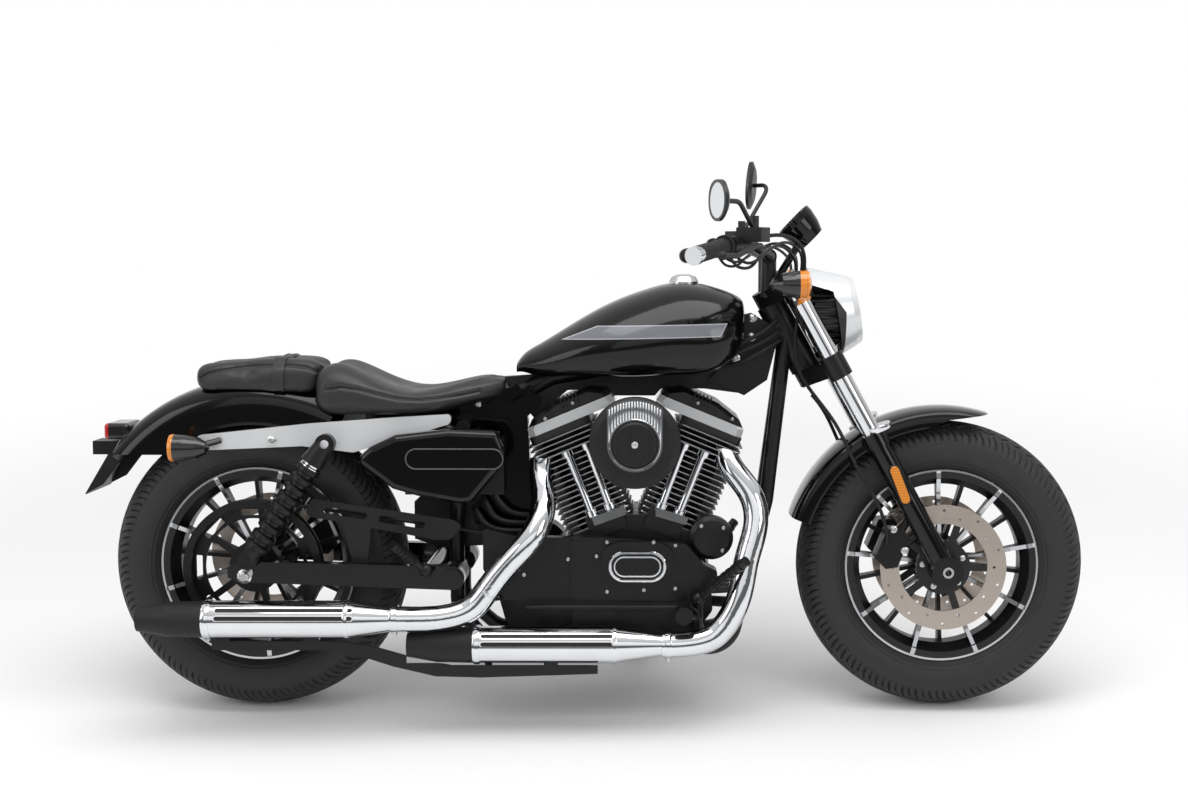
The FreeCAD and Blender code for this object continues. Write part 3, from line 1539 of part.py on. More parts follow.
head_low = cells.lower_clamp_height + cells.clamp_thickness / 2 + cells.steering_gap
head_high = cells.upper_clamp_height - cells.clamp_thickness / 2 - cells.steering_gap
head_tube = rod(stem_point(head_low), stem_point(head_high), cells.head_tube_radius)
head_bore = rod(stem_point(head_low - cells.overrun), stem_point(head_high + cells.overrun),
                cells.stem_radius + cells.steering_gap)
PIVOT = Vector(cells.pivot_x, 0, cells.pivot_z)
backbone_front = stem_point((head_low + head_high) / 2)
backbone_path = [
    backbone_front, Vector(cells.backbone_bend_x, 0, cells.backbone_bend_z),
    Vector(cells.seat_rail_x, 0, cells.seat_rail_z),
]
backbone = bent_tube(backbone_path, cells.frame_bend, cells.backbone_radius)
frame_tubes = []
for hand in LEGS:
    side = cells.cradle_half_width * hand
    down = bent_tube([
        stem_point((head_low + head_high) / 2, -cells.frame_tube_radius / 2,
                   hand * cells.frame_tube_radius),
        Vector(cells.downtube_x, hand * cells.downtube_side, cells.downtube_z),
        Vector(cells.cradle_front_x, side, cells.cradle_height),
        Vector(cells.cradle_rear_x, side, cells.cradle_height),
        Vector(cells.pivot_x, hand * cells.pivot_tube_side, cells.pivot_z
               - cells.pivot_run_low),
        Vector(cells.pivot_x, hand * cells.pivot_tube_side, cells.pivot_z
               + cells.pivot_run_high),
        Vector(cells.seat_rail_x, side, cells.seat_rail_z),
        Vector(cells.seat_rail_end_x, side, cells.seat_rail_z),
    ], cells.frame_bend, cells.frame_tube_radius)
    frame_tubes.append(down)
CROSS_SHARE = 0.8
for x, z in (
    (cells.seat_rail_x, cells.seat_rail_z),
    (cells.cradle_front_x - cells.frame_bend, cells.cradle_height),
    (cells.cradle_rear_x + cells.frame_bend, cells.cradle_height),
):
    frame_tubes.append(rod(
        Vector(x, -cells.cradle_half_width, z), Vector(x, cells.cradle_half_width, z),
        cells.frame_tube_radius * CROSS_SHARE))
seat_posts = []
for hand in LEGS:
    for x in (cells.seat_front_boss_x, cells.seat_rear_boss_x):
        base = Vector(x, hand * cells.cradle_half_width, cells.seat_rail_z)
        seat_posts.append(rod(base, Vector(base.x, base.y, cells.seat_base_z - cells.seat_gap),
                              cells.seat_boss_radius))
pivot_bosses = [
    rod(PIVOT + LEFT * (hand * cells.pivot_tube_side),
        PIVOT + LEFT * (hand * (rear_arm_inner - cells.seat_gap)), cells.pivot_boss_radius)
    for hand in LEGS
]
pivot_hole = rod(PIVOT - LEFT * cells.wheelbase, PIVOT + LEFT * cells.wheelbase,
                 cells.pivot_radius)
STAND_PIVOT = Vector(cells.stand_pivot_x, cells.stand_pivot_y, cells.stand_pivot_z)
STAND_AXIS = Vector(0, math.sin(math.radians(cells.stand_axis_tilt)),
                    math.cos(math.radians(cells.stand_axis_tilt)))
PIN_HEAD_SHARE = 1.5
NECK_SHARES = (
    (0.0, 0.19), (0.49, 0.0), (0.81, 0.19), (0.91, 0.54), (1.0, 0.81), (0.73, 0.93),
    (0.6, 1.0), (0.49, 0.98), (0.38, 0.54),
)
TANK_REST_SHARES = (0.3, 0.66)
stand_lug = fuse([
    rod(STAND_PIVOT - STAND_AXIS * (cells.stand_lug_thickness + cells.seat_gap
                                    + cells.stand_eye_thickness / 2),
        STAND_PIVOT - STAND_AXIS * (cells.seat_gap + cells.stand_eye_thickness / 2),
        cells.stand_eye_radius),
    rod(STAND_PIVOT - STAND_AXIS * (cells.stand_lug_thickness + cells.seat_gap),
        STAND_PIVOT + STAND_AXIS * (cells.stand_eye_thickness / 2 + cells.seat_gap
                                    + cells.stand_lug_thickness / 2),
        cells.stand_pin_radius),
    rod(STAND_PIVOT + STAND_AXIS * (cells.stand_eye_thickness / 2 + cells.seat_gap),
        STAND_PIVOT + STAND_AXIS * (cells.stand_eye_thickness / 2 + cells.seat_gap
                                    + cells.stand_lug_thickness / 2),
        cells.stand_pin_radius * PIN_HEAD_SHARE),
    rod(STAND_PIVOT - STAND_AXIS * (cells.stand_lug_thickness / 2 + cells.seat_gap
                                    + cells.stand_eye_thickness / 2),
        Vector(cells.stand_pivot_x, cells.cradle_half_width, cells.cradle_height),
        cells.stand_eye_radius / 2).cut(
            rod(STAND_PIVOT - STAND_AXIS * (cells.seat_gap + cells.stand_eye_thickness / 2),
                STAND_PIVOT + STAND_AXIS * cells.stand_eye_thickness,
                cells.stand_eye_radius + cells.overrun)),
])
tank_rests = [
    rod(place - LEFT * (cells.tunnel_width / 2 - cells.seat_gap),
        place + LEFT * (cells.tunnel_width / 2 - cells.seat_gap), cells.tank_rest_radius)
    for place in (
        backbone_path[1] + (backbone_path[0] - backbone_path[1]) * share
        - Vector(0, 0, cells.tank_rest_radius) for share in TANK_REST_SHARES)
]
neck_plates = [
    side_plate([
        (cells.neck_rear_x + cells.neck_length * along, cells.neck_base_z
         + cells.neck_height * up) for along, up in NECK_SHARES
    ], side, cells.neck_thickness)
    for side in (cells.neck_side, -cells.neck_side - cells.neck_thickness)
]
box_half = cells.pivot_tube_side + cells.frame_tube_radius
battery_box = Part.makeBox(cells.box_length, box_half * 2, cells.box_height,
                           Vector(cells.box_rear_x, -box_half, cells.box_base_z))
frame = fuse([head_tube, backbone] + tank_rests + frame_tubes + seat_posts + pivot_bosses
             + [stand_lug, battery_box] + neck_plates)
frame = frame.cut([head_bore, pivot_hole])
keep("frame", frame)


# Swingarm and shocks

SHOCK_LOW_X = REAR_AXLE.x + cells.shock_low_ahead


def swingarm_arm(hand):
    """One arm: an eye at the pivot, a straight box and an axle plate with the shock's stud."""
    start = hand * cells.swingarm_middle - cells.swingarm_width / 2
    high = cells.swingarm_height / 2
    eye = cells.pivot_boss_radius
    rear = REAR_AXLE
    arm = side_plate([
        (PIVOT.x, PIVOT.z + eye), (rear.x + high, rear.z + high),
        (rear.x - high, rear.z + high), (rear.x - high * 2, rear.z + high / 2),
        (rear.x - high * 2, rear.z - high / 2), (rear.x - high, rear.z - high),
        (PIVOT.x, PIVOT.z - eye),
    ], start, cells.swingarm_width)
    stud_x = SHOCK_LOW_X
    stud_z = cells.shock_low_z
    lug = side_plate([
        (stud_x - eye, rear.z), (stud_x + eye, rear.z),
        (stud_x + eye / 2, stud_z + eye / 2), (stud_x - eye / 2, stud_z + eye / 2),
    ], start, cells.swingarm_width)
    inner = hand * (cells.swingarm_middle)
    outer = hand * (cells.shock_middle + cells.shock_eye_width / 2)
    stud = rod(Vector(stud_x, inner, stud_z), Vector(stud_x, outer, stud_z),
               cells.shock_stud_radius)
    eye_ring = Part.makeCylinder(eye, cells.swingarm_width, Vector(PIVOT.x, start, PIVOT.z), LEFT)
    return fuse([arm, lug, stud, eye_ring])


swing_tube_x = cells.pivot_x - cells.swing_tube_back
swing_tube = rod(Vector(swing_tube_x, -cells.swingarm_middle, PIVOT.z),
                 Vector(swing_tube_x, cells.swingarm_middle, PIVOT.z), cells.swing_tube_radius)
axle_hole = Part.makeCylinder(cells.rear_axle_radius, cells.wheelbase,
                              REAR_AXLE - LEFT * (cells.wheelbase / 2), LEFT)
swing_half = rear_arm_outer + cells.axle_end
swing_bolt = [
    rod(PIVOT - LEFT * swing_half, PIVOT + LEFT * swing_half,
        cells.pivot_radius - cells.run_gap),
    rod(PIVOT - LEFT * swing_half, PIVOT - LEFT * rear_arm_outer,
        cells.pivot_radius * PIN_HEAD_SHARE),
    rod(PIVOT + LEFT * rear_arm_outer, PIVOT + LEFT * swing_half,
        cells.pivot_radius * PIN_HEAD_SHARE),
]
swingarm = fuse([swingarm_arm(-1), swingarm_arm(1), swing_tube] + swing_bolt)
keep("swingarm", swingarm.cut(axle_hole))


SHOCK_CAP_SHARE = 2.4
def shock(hand):
    """A shock absorber: two eyes, its body and a ribbed spring between the seats."""
    side = hand * cells.shock_middle
    low = Vector(SHOCK_LOW_X, side, cells.shock_low_z)
    high = Vector(cells.shock_high_x, side, cells.shock_high_z)
    axis = (high - low).normalize()
    length = (high - low).Length
    eyes = [
        rod(place - LEFT * (cells.shock_eye_width / 2 - cells.seat_gap),
            place + LEFT * (cells.shock_eye_width / 2 - cells.seat_gap), cells.shock_eye_radius)
        for place in (low, high)
    ]
    start = cells.shock_eye_radius + cells.clamp_wall
    end = length - cells.shock_eye_radius * SHOCK_CAP_SHARE
    pitch = (end - start) / cells.spring_turns
    outline = [(0, 0), (0, cells.shock_radius * CROSS_SHARE), (start, cells.shock_radius)]
    for turn in range(int(round(cells.spring_turns))):
        base = start + pitch * turn
        outline += [
            (base + pitch * 0.15, cells.spring_radius), (base + pitch * 0.55, cells.spring_radius),
            (base + pitch * 0.75, cells.shock_radius), (base + pitch, cells.shock_radius),
        ]
    outline += [(end, cells.spring_radius), (length, cells.shock_radius), (length, 0)]
    body = turned_between(low, axis, outline)
    holes = [rod(place - LEFT * cells.shock_middle, place + LEFT * cells.shock_middle,
                 cells.shock_stud_radius) for place in (low, high)]
    return fuse(eyes + [body]).cut(holes)


keep("shocks", Part.makeCompound([shock(hand) for hand in LEGS]))


# Tank and seats

def section_loop(x, low, high, half, shares):
    """A closed smooth section across the machine, from shares of its half width and height."""
    points = [Vector(x, half * across, low + (high - low) * up) for across, up in shares]
    points += [Vector(x, -half * across, low + (high - low) * up)
               for across, up in reversed(shares) if across > 0]
    return smooth_loop(points)


def swept(stations, shares, length, width, height, place):
    """A body through sections, each (along, low, high, half width) as shares of its box."""
    loops = [
        section_loop(place.x + length * along, place.z + height * low, place.z + height * high,
                     width / 2 * half, shares)
        for along, low, high, half in stations
    ]
    return Part.makeLoft(loops, True)


TANK_SECTION_SHARES = (
    (0.0, 1.0), (0.34, 0.97), (0.66, 0.85), (0.9, 0.64), (1.0, 0.42), (0.97, 0.22),
    (0.86, 0.06), (0.5, 0.0), (0.0, 0.0),
)
TANK_STATION_SHARES = (
    (0.0, 0.03, 0.14, 0.34), (0.08, 0.0, 0.31, 0.48), (0.22, 0.0, 0.52, 0.7),
    (0.4, 0.0, 0.77, 0.9), (0.57, 0.0, 0.93, 0.99), (0.7, 0.02, 1.0, 1.0),
    (0.82, 0.03, 0.98, 0.96), (0.92, 0.12, 0.91, 0.82), (0.98, 0.3, 0.84, 0.6),
    (1.0, 0.46, 0.74, 0.34),
)
tank_place = Vector(cells.tank_rear_x, 0, cells.tank_base_z)
tank = swept(TANK_STATION_SHARES, TANK_SECTION_SHARES, cells.tank_length, cells.tank_width,
             cells.tank_height, tank_place)
tunnel_run = (backbone_path[0] - backbone_path[1]).normalize()
tunnel_start = backbone_path[1] - tunnel_run * cells.tank_length
tunnel_end = backbone_path[0] + tunnel_run * cells.tank_length
tunnel = fuse([
    rod(tunnel_start, tunnel_end, cells.tunnel_width / 2),
    closed_face([
        tunnel_start - LEFT * (cells.tunnel_width / 2), tunnel_end
        - LEFT * (cells.tunnel_width / 2),
        tunnel_end - LEFT * (cells.tunnel_width / 2) - Vector(0, 0, cells.tank_height),
        tunnel_start - LEFT * (cells.tunnel_width / 2) - Vector(0, 0, cells.tank_height),
    ]).extrude(LEFT * cells.tunnel_width),
])
keep("fuel_tank", tank.cut([tunnel] + neck_plates))
CAP_SHARES = (0.4, 0.8)
cap_base = Vector(cells.cap_x, 0, cells.tank_base_z + cells.tank_height - cells.cap_sink)
keep("fuel_cap", turned_between(cap_base, Vector(0, 0, 1), [
    (0, 0), (0, cells.cap_radius), (cells.cap_height * CAP_SHARES[0], cells.cap_radius),
    (cells.cap_height * CAP_SHARES[1], cells.cap_radius * CAP_SHARES[1]),
    (cells.cap_height, cells.cap_radius * CAP_SHARES[0]), (cells.cap_height, 0),
]).cut(tank))
SEAT_SECTION_SHARES = (
    (0.0, 0.93), (0.45, 1.0), (0.78, 0.94), (0.96, 0.72), (1.0, 0.4), (0.96, 0.1),
    (0.86, 0.0), (0.4, 0.0), (0.0, 0.0),
)
SEAT_STATION_SHARES = (
    (0.0, 0.14, 0.72, 0.8), (0.05, 0.04, 0.86, 0.92), (0.12, 0.0, 0.87, 0.96),
    (0.22, 0.0, 0.74, 0.99), (0.36, 0.0, 0.52, 1.0), (0.52, 0.0, 0.39, 1.0),
    (0.66, 0.04, 0.44, 0.86), (0.82, 0.18, 0.57, 0.64), (0.94, 0.28, 0.64, 0.48),
    (1.0, 0.36, 0.6, 0.36),
)
seat_place = Vector(cells.seat_rear_x, 0, cells.seat_base_z)
seat = swept(SEAT_STATION_SHARES, SEAT_SECTION_SHARES, cells.seat_length, cells.seat_width,
             cells.seat_height, seat_place)
backbone_space = bent_tube(backbone_path, cells.frame_bend,
                           cells.backbone_radius + cells.seat_gap)
tank_clear = Part.makeBox(
    cells.tank_length, cells.tank_width * 2, cells.tank_height * 2,
    Vector(cells.tank_rear_x - cells.seat_gap, -cells.tank_width, cells.tank_base_z
           - cells.tank_height))
seat_floor = Part.makeBox(
    cells.seat_length * 2, cells.seat_width * 2, cells.seat_height,
    Vector(cells.seat_rear_x - cells.seat_length / 2, -cells.seat_width,
           cells.seat_base_z - cells.seat_height))
keep("rider_seat", seat.cut([rear_plug, rear_fender, backbone_space, tank_clear, seat_floor]))

PAD_STATION_SHARES = (
    (0.0, 0.3, 0.64, 0.62), (0.04, 0.1, 0.79, 0.8), (0.2, 0.0, 0.88, 0.95),
    (0.5, 0.0, 0.98, 1.0), (0.75, 0.0, 1.0, 1.0), (0.93, 0.05, 0.92, 0.9),
    (1.0, 0.22, 0.74, 0.72),
)
pad_place = Vector(cells.pad_rear_x, 0, cells.pad_base_z)
pad = swept(PAD_STATION_SHARES, SEAT_SECTION_SHARES, cells.pad_length, cells.pad_width,
            cells.pad_height, pad_place)
keep("pillion_pad", pad.cut([rear_plug, seat]))


# Struts, lamp and plate at the rear

def strut(hand):
    """A fender strut: a forged rail with bosses to the fender and the shock's upper stud."""
    side = hand * cells.strut_middle
    start = side - cells.strut_thickness / 2
    rail = rounded_plate([
        (cells.strut_rear_x + cells.strut_length * along,
         cells.strut_base_z + cells.strut_height * up) for along, up in STRUT_SHARES
    ], start, cells.strut_thickness, cells.frame_tube_radius)
    stud = rod(Vector(cells.shock_high_x, side, cells.shock_high_z),
               Vector(cells.shock_high_x, hand * (cells.shock_middle
                                                  + cells.shock_eye_width / 2),
                      cells.shock_high_z), cells.shock_stud_radius)
    bosses = [
        rod(Vector(x, side, z), Vector(x, hand * (cells.rear_fender_half_width
                                                  - cells.fender_wall), z),
            cells.shock_stud_radius)
        for x, z in (
            (cells.strut_bolt_rear_x, cells.strut_bolt_z),
            (cells.strut_bolt_middle_x, cells.strut_bolt_z),
        )
    ]
    seat_lug = rod(
        Vector(cells.seat_rear_boss_x, side, cells.seat_rail_z),
        Vector(cells.seat_rear_boss_x, hand * cells.cradle_half_width, cells.seat_rail_z),
        cells.shock_stud_radius)
    rail_space = rod(
        Vector(cells.seat_rail_x, hand * cells.cradle_half_width, cells.seat_rail_z),
        Vector(cells.seat_rail_end_x - cells.overrun, hand * cells.cradle_half_width,
               cells.seat_rail_z),
        cells.frame_tube_radius + cells.run_gap)
    return fuse([rail, stud, seat_lug] + bosses).cut([
        rail_space, rear_plug,
    ])


STRUT_SHARES = (
    (0.0, 0.1), (0.01, 0.45), (0.45, 0.76), (0.8, 0.93), (1.0, 1.0), (1.0, 0.76),
    (0.62, 0.02), (0.42, 0.18), (0.07, 0.08),
)
keep("fender_struts", Part.makeCompound([strut(hand) for hand in LEGS]))

for hand in LEGS:
    nose = Vector(cells.rear_signal_x, hand * cells.rear_signal_side, cells.rear_signal_z)
    back = Vector(-1, 0, 0)
    foot = Vector(cells.rear_signal_foot_x,
                  hand * (cells.strut_middle + cells.strut_thickness / 2 + cells.seat_gap),
                  cells.strut_bolt_z)
    middle = nose + back * (cells.indicator_length / 2)
    stalk = rod(foot, middle, cells.indicator_stalk_radius)
    rear_signals.append(fuse([
        bullet(nose, back, cells.indicator_length, cells.indicator_radius), stalk,
    ]).cut(Part.makeBox(cells.strut_length, cells.strut_thickness * 2, cells.strut_height,
                        Vector(cells.rear_signal_foot_x - cells.strut_length / 2,
                               hand * cells.strut_middle - cells.strut_thickness * 1.5 * 1
                               if hand > 0 else hand * cells.strut_middle
                               - cells.strut_thickness / 2 - cells.seat_gap,
                               cells.strut_base_z))))
    rear_lenses.append(signal_lens(nose, back, cells.indicator_length,
                                   cells.indicator_radius))
keep("rear_signals", Part.makeCompound(rear_signals + rear_lenses))

tail = Part.makeBox(cells.tail_lamp_depth, cells.tail_lamp_width, cells.tail_lamp_height,
                    Vector(cells.tail_lamp_rear_x, -cells.tail_lamp_width / 2,
                           cells.tail_lamp_base_z))
tail = tail.makeFillet(cells.tail_lamp_height / 4, tail.Edges)
keep("tail_lamp", tail.cut(rear_plug))

plate_top = REAR_AXLE + Vector(-cells.plate_top_back, 0, cells.plate_top_up)
plate_lean = Vector(-math.sin(math.radians(cells.plate_tilt)), 0,
                    -math.cos(math.radians(cells.plate_tilt)))
plate = closed_face([
    plate_top + LEFT * (side * cells.plate_width / 2) + plate_lean * (down * cells.plate_height)
    for side, down in ((-1, 0), (1, 0), (1, 1), (-1, 1))
]).extrude(plate_lean.cross(LEFT) * cells.fender_wall)


def rear_polar(angle, inset):
    """A point of the rear fender's middle plane, at an angle from +X and inside its crown."""
    turn = math.radians(angle)
    return REAR_AXLE + Vector(math.cos(turn), 0, math.sin(turn)) * (
        cells.rear_fender_radius - inset)


arm = closed_face([
    place - LEFT * (cells.plate_width / 6) for place in (
        rear_polar(cells.rear_fender_tail_angle - cells.plate_arm_sweep, cells.fender_wall / 2),
        rear_polar(cells.rear_fender_tail_angle - cells.plate_arm_sweep, cells.clamp_wall * 2),
        plate_top + plate_lean * (cells.plate_height / 2), plate_top,
    )
]).extrude(LEFT * (cells.plate_width / 3))
plate_box = Part.makeBox(
    cells.plate_box_length, cells.plate_box_width, cells.plate_box_height,
    Vector(cells.plate_box_rear_x, -cells.plate_box_width / 2, cells.plate_box_base_z))
plate_low = plate_top + plate_lean * cells.plate_height
flanges = [
    closed_face([
        place + LEFT * side for place in (
            plate_top, plate_top + Vector(cells.plate_flange, 0, 0),
            plate_low + Vector(cells.plate_flange, 0, cells.plate_flange / 2), plate_low)
    ]).extrude(LEFT * cells.fender_wall)
    for side in (-cells.plate_width / 2, cells.plate_width / 2 - cells.fender_wall)
]
keep("plate_bracket", fuse([plate, arm, plate_box] + flanges).cut([rear_plug, tail]))


# Engine: crankcase, finned cylinders and heads, rocker covers, pushrod tubes and covers

CRANK = Vector(cells.crank_x, 0, cells.crank_z)
CYLINDERS = (-1, 1)


def cylinder_axis(front):
    angle = math.radians(cells.cylinder_angle) * front
    return Vector(math.sin(angle), 0, math.cos(angle))


def bank(front, up, along=0.0, side=0.0):
    """A point of one cylinder: up its axis, along the machine across it, and to the left."""
    axis = cylinder_axis(front)
    return CRANK + axis * up + axis.cross(LEFT) * (-along) + LEFT * side


def fin_plate(front, up, half_long, half_wide, thickness, corner):
    """A rounded plate square to the cylinder's axis, from up by its thickness."""
    corners = []
    for along, side, turn_along, turn_side in (
        (1, 1, 1, 1), (-1, 1, -1, 1), (-1, -1, -1, -1), (1, -1, 1, -1),
    ):
        corners.append((along * (half_long - corner), side * (half_wide - corner),
                        turn_along, turn_side))
    edges = []
    ends = []
    for index, (along, side, right, left) in enumerate(corners):
        if index % 2 == 0:
            first, last = (right, 0), (0, left)
        else:
            first, last = (0, left), (right, 0)
        mid = math.sqrt(0.5)
        places = [
            bank(front, up, along + corner * a, side + corner * b) for a, b in (
                first, (right * mid, left * mid), last)
        ]
        edges.append(Part.Arc(*places).toShape())
        ends.append((places[0], places[2]))
    for index in range(len(ends)):
        edges.append(Part.makeLine(ends[index][1], ends[(index + 1) % len(ends)][0]))
    face = Part.Face(Part.Wire(Part.sortEdges(edges)[0]))
    return face.extrude(cylinder_axis(front) * thickness)


def finned(front, low, high, count, half_long, half_wide, core):
    """A finned block: a round core with evenly spaced plates and one at each end."""
    thickness = cells.barrel_fin_thickness
    pitch = (high - low - thickness) / count
    stack = [rod(bank(front, low), bank(front, high), core)]
    for index in range(int(count) + 1):
        stack.append(fin_plate(front, low + pitch * index, half_long, half_wide, thickness,
                               cells.fin_corner))
    return fuse(stack)


def fin_count(length):
    return max(int(round(length / cells.fin_pitch)), 1)


HEAD_CORE_SHARE = 1.12
ROCKER_SHARES = (
    (0.86, 0.0), (0.84, 0.38), (0.62, 0.72), (-0.1, 1.05), (-1.18, 1.1), (-1.6, 0.74),
    (-1.7, 0.16), (-1.68, 0.0),
)
ROCKER_EDGE_SHARE = 0.86


def rocker_slab(front, start, end):
    """A slice of a domed rocker cover between two sides, each (side, share of the outline)."""
    loops = []
    for side, share in (start, end):
        middle = (ROCKER_SHARES[0][0] + ROCKER_SHARES[-1][0]) / 2
        corners = [
            bank(front, cells.head_top + cells.rocker_height * up * share,
                 front * cells.fin_half_length * (middle + (out - middle) * share), side)
            for out, up in ROCKER_SHARES
        ]
        loops.append(Part.makePolygon(corners + corners[:1]))
    return Part.makeLoft(loops, True, True)


barrels = []
heads = []
rockers = []
for front in CYLINDERS:
    barrels.append(finned(front, cells.deck_height, cells.barrel_top,
                          fin_count(cells.barrel_top - cells.deck_height),
                          cells.fin_half_length, cells.fin_half_width, cells.barrel_radius))
    heads.append(fuse([
        finned(front, cells.barrel_top, cells.head_top - cells.band_thickness,
               fin_count(cells.head_top - cells.band_thickness - cells.barrel_top),
               cells.fin_half_length, cells.head_half_width,
               cells.barrel_radius * HEAD_CORE_SHARE),
        fin_plate(front, cells.head_top - cells.band_thickness,
                  cells.fin_half_length - cells.fin_corner / 2,
                  cells.head_half_width - cells.fin_corner / 2,
                  cells.band_thickness, cells.fin_corner),
    ]))
    wide = cells.head_half_width - cells.fin_corner / 2
    rockers.append(fuse([rocker_slab(front, low, high) for low, high in (
        ((-wide, ROCKER_EDGE_SHARE), (cells.rocker_side - wide, 1.0)),
        ((cells.rocker_side - wide, 1.0), (wide - cells.rocker_side, 1.0)),
        ((wide - cells.rocker_side, 1.0), (wide, ROCKER_EDGE_SHARE)),
    )]))
keep("cylinders", Part.makeCompound([fuse([barrel, head]) for barrel, head in zip(barrels, heads)]))
keep("rocker_covers", Part.makeCompound(rockers))

deck_points = [
    bank(-1, cells.deck_height, -cells.fin_half_length + cells.fin_corner),
    bank(-1, cells.deck_height, cells.fin_half_length - cells.fin_corner),
    bank(1, cells.deck_height, -cells.fin_half_length + cells.fin_corner),
    bank(1, cells.deck_height, cells.fin_half_length - cells.fin_corner),
]
ENGINE_MOUNT_SHARE = 0.3
case_outline = [(point.x, point.z) for point in deck_points]
case_outline += [
    (cells.crank_x + cells.case_front * along, cells.crank_z + cells.case_front * up)
    for along, up in ((1.0, 0.5), (1.03, 0.0), (0.72, -0.4), (0.4, -0.47))
]
case_outline += [
    (cells.crank_x + cells.case_rear * along, cells.crank_z + cells.case_front * up)
    for along, up in ((-0.55, -0.47), (-0.94, -0.2), (-1.0, 0.2), (-0.96, 0.66), (-0.7, 0.74))
]
narrow_case = rounded_plate(case_outline, -cells.case_half_width, cells.case_half_width * 2,
                            cells.fin_corner)
wide_case = rounded_plate(case_outline, -cells.cam_case_half_width,
                          cells.cam_case_half_width * 2, cells.fin_corner)
wide_case = wide_case.common(Part.makeBox(
    cells.wheelbase, cells.cam_case_half_width * 2, cells.wheelbase,
    Vector(cells.cam_rear_x, -cells.cam_case_half_width,
           cells.cradle_height + cells.frame_tube_radius + cells.stand_lug_thickness)))
front_tube = Vector(cells.downtube_x, cells.downtube_side, cells.downtube_z)
low_tube = Vector(cells.cradle_front_x, cells.cradle_half_width, cells.cradle_height)
mounts = []
for hand in LEGS:
    place = low_tube + (front_tube - low_tube) * ENGINE_MOUNT_SHARE
    mounts.append(rod(
        Vector(cells.crank_x + cells.case_front / 2, hand * cells.case_half_width / 2, place.z),
        Vector(place.x, hand * place.y, place.z), cells.engine_mount_radius))
    mounts.append(rod(
        Vector(cells.crank_x - cells.case_rear / 2, hand * cells.case_half_width / 2,
               cells.cradle_height + cells.frame_tube_radius + cells.engine_mount_radius / 2),
        Vector(cells.crank_x - cells.case_rear / 2, hand * cells.cradle_half_width,
               cells.cradle_height + cells.frame_tube_radius + cells.engine_mount_radius / 2),
        cells.engine_mount_radius))

PUSHROD_SHARES = ((0.08, 0.04), (-0.45, -0.53))
TAPPET_SHARES = (0.3, -0.72)
tappets = [
    closed_face([
        bank(front, up, front * cells.fin_half_length * out, -cells.tappet_side)
        for up, out in (
            (cells.deck_height - cells.tappet_height, TAPPET_SHARES[0]),
            (cells.deck_height + cells.tappet_height, TAPPET_SHARES[0]),
            (cells.deck_height + cells.tappet_height, TAPPET_SHARES[1]),
            (cells.deck_height - cells.tappet_height, TAPPET_SHARES[1]),
        )
    ]).extrude(LEFT * (cells.tappet_side - cells.fin_half_width - cells.seat_gap * 2))
    for front in CYLINDERS
]
crankcase = fuse([narrow_case, wide_case] + mounts + tappets).cut(frame)
keep("crankcase", crankcase)
pushrods = []
for front in CYLINDERS:
    for low_share, high_share in PUSHROD_SHARES:
        foot = bank(front, cells.deck_height + cells.tappet_height + cells.seat_gap,
                    front * cells.fin_half_length * low_share, -cells.pushrod_side)
        top = bank(front, cells.barrel_top - cells.seat_gap,
                   front * cells.fin_half_length * high_share, -cells.pushrod_side)
        run = (top - foot).normalize()
        cup = cells.pushrod_radius * PIN_HEAD_SHARE
        pushrods.append(fuse([
            rod(foot, top, cells.pushrod_radius),
            rod(foot, foot + run * cup, cup),
            rod(top - run * cup, top, cup),
        ]))
keep("pushrod_tubes", Part.makeCompound([tube.cut([wide_case] + tappets + heads)
                                         for tube in pushrods]))

CAM_OUTLINE_SHARES = (
    (-0.5, -0.3), (-0.52, 0.3), (-0.3, 0.5), (0.3, 0.5), (0.52, 0.3), (0.5, -0.3),
    (0.28, -0.5), (-0.28, -0.5),
)
CAM_BASE_SHARES = (
    (0.0, 1.0), (0.35, 0.98), (0.77, 0.9), (0.9, 0.57), (1.0, 0.47), (0.95, 0.29),
    (0.78, 0.03), (0.71, 0.0), (0.0, 0.03),
)
SPROCKET_PLATE_SHARES = (
    (1.04, 0.98), (0.78, 0.99), (0.38, 1.0), (0.0, 1.13), (0.0, 0.5), (0.25, 0.03),
    (1.04, 0.05),
)
cam_face = -cells.cam_cover_face
cam_foot = -cells.cam_case_half_width
cam_base = rounded_plate([
    (cells.cam_rear_x + cells.cam_length * along, cells.cam_base_z + cells.cam_height * up)
    for along, up in CAM_BASE_SHARES
], cam_face + cells.clamp_wall, cam_foot - cam_face - cells.clamp_wall, cells.fin_corner)
oval = rounded_plate([
    (cells.oval_x + cells.oval_length * along, cells.oval_z + cells.oval_height * up)
    for along, up in CAM_OUTLINE_SHARES
], cam_face, cells.clamp_wall * 2, cells.cam_height)
sprocket_plate = rounded_plate([
    (cells.plate_rear_x + cells.plate_length * along, cells.cam_base_z + cells.cam_height * up)
    for along, up in SPROCKET_PLATE_SHARES
], -cells.plate_face, cells.plate_face - cells.plate_back, cells.fin_corner / 2)
cam_cover = fuse([cam_base, oval, sprocket_plate])


def round_cover(x, z, radius, foot, face, dome):
    """A round cover on the engine's side, domed towards its face."""
    start = Vector(x, foot, z)
    out = Vector(0, 1 if face > foot else -1, 0)
    deep = abs(face - foot)
    return turned_between(start, out, [
        (0, 0), (0, radius), (deep - dome, radius), (deep - dome / 3, radius - dome),
        (deep, radius - dome * 3), (deep, 0),
    ])


filter_cover = round_cover(cells.filter_x, cells.filter_z, cells.filter_radius,
                           -cells.cam_case_half_width, -cells.filter_face, cells.fin_corner / 2)

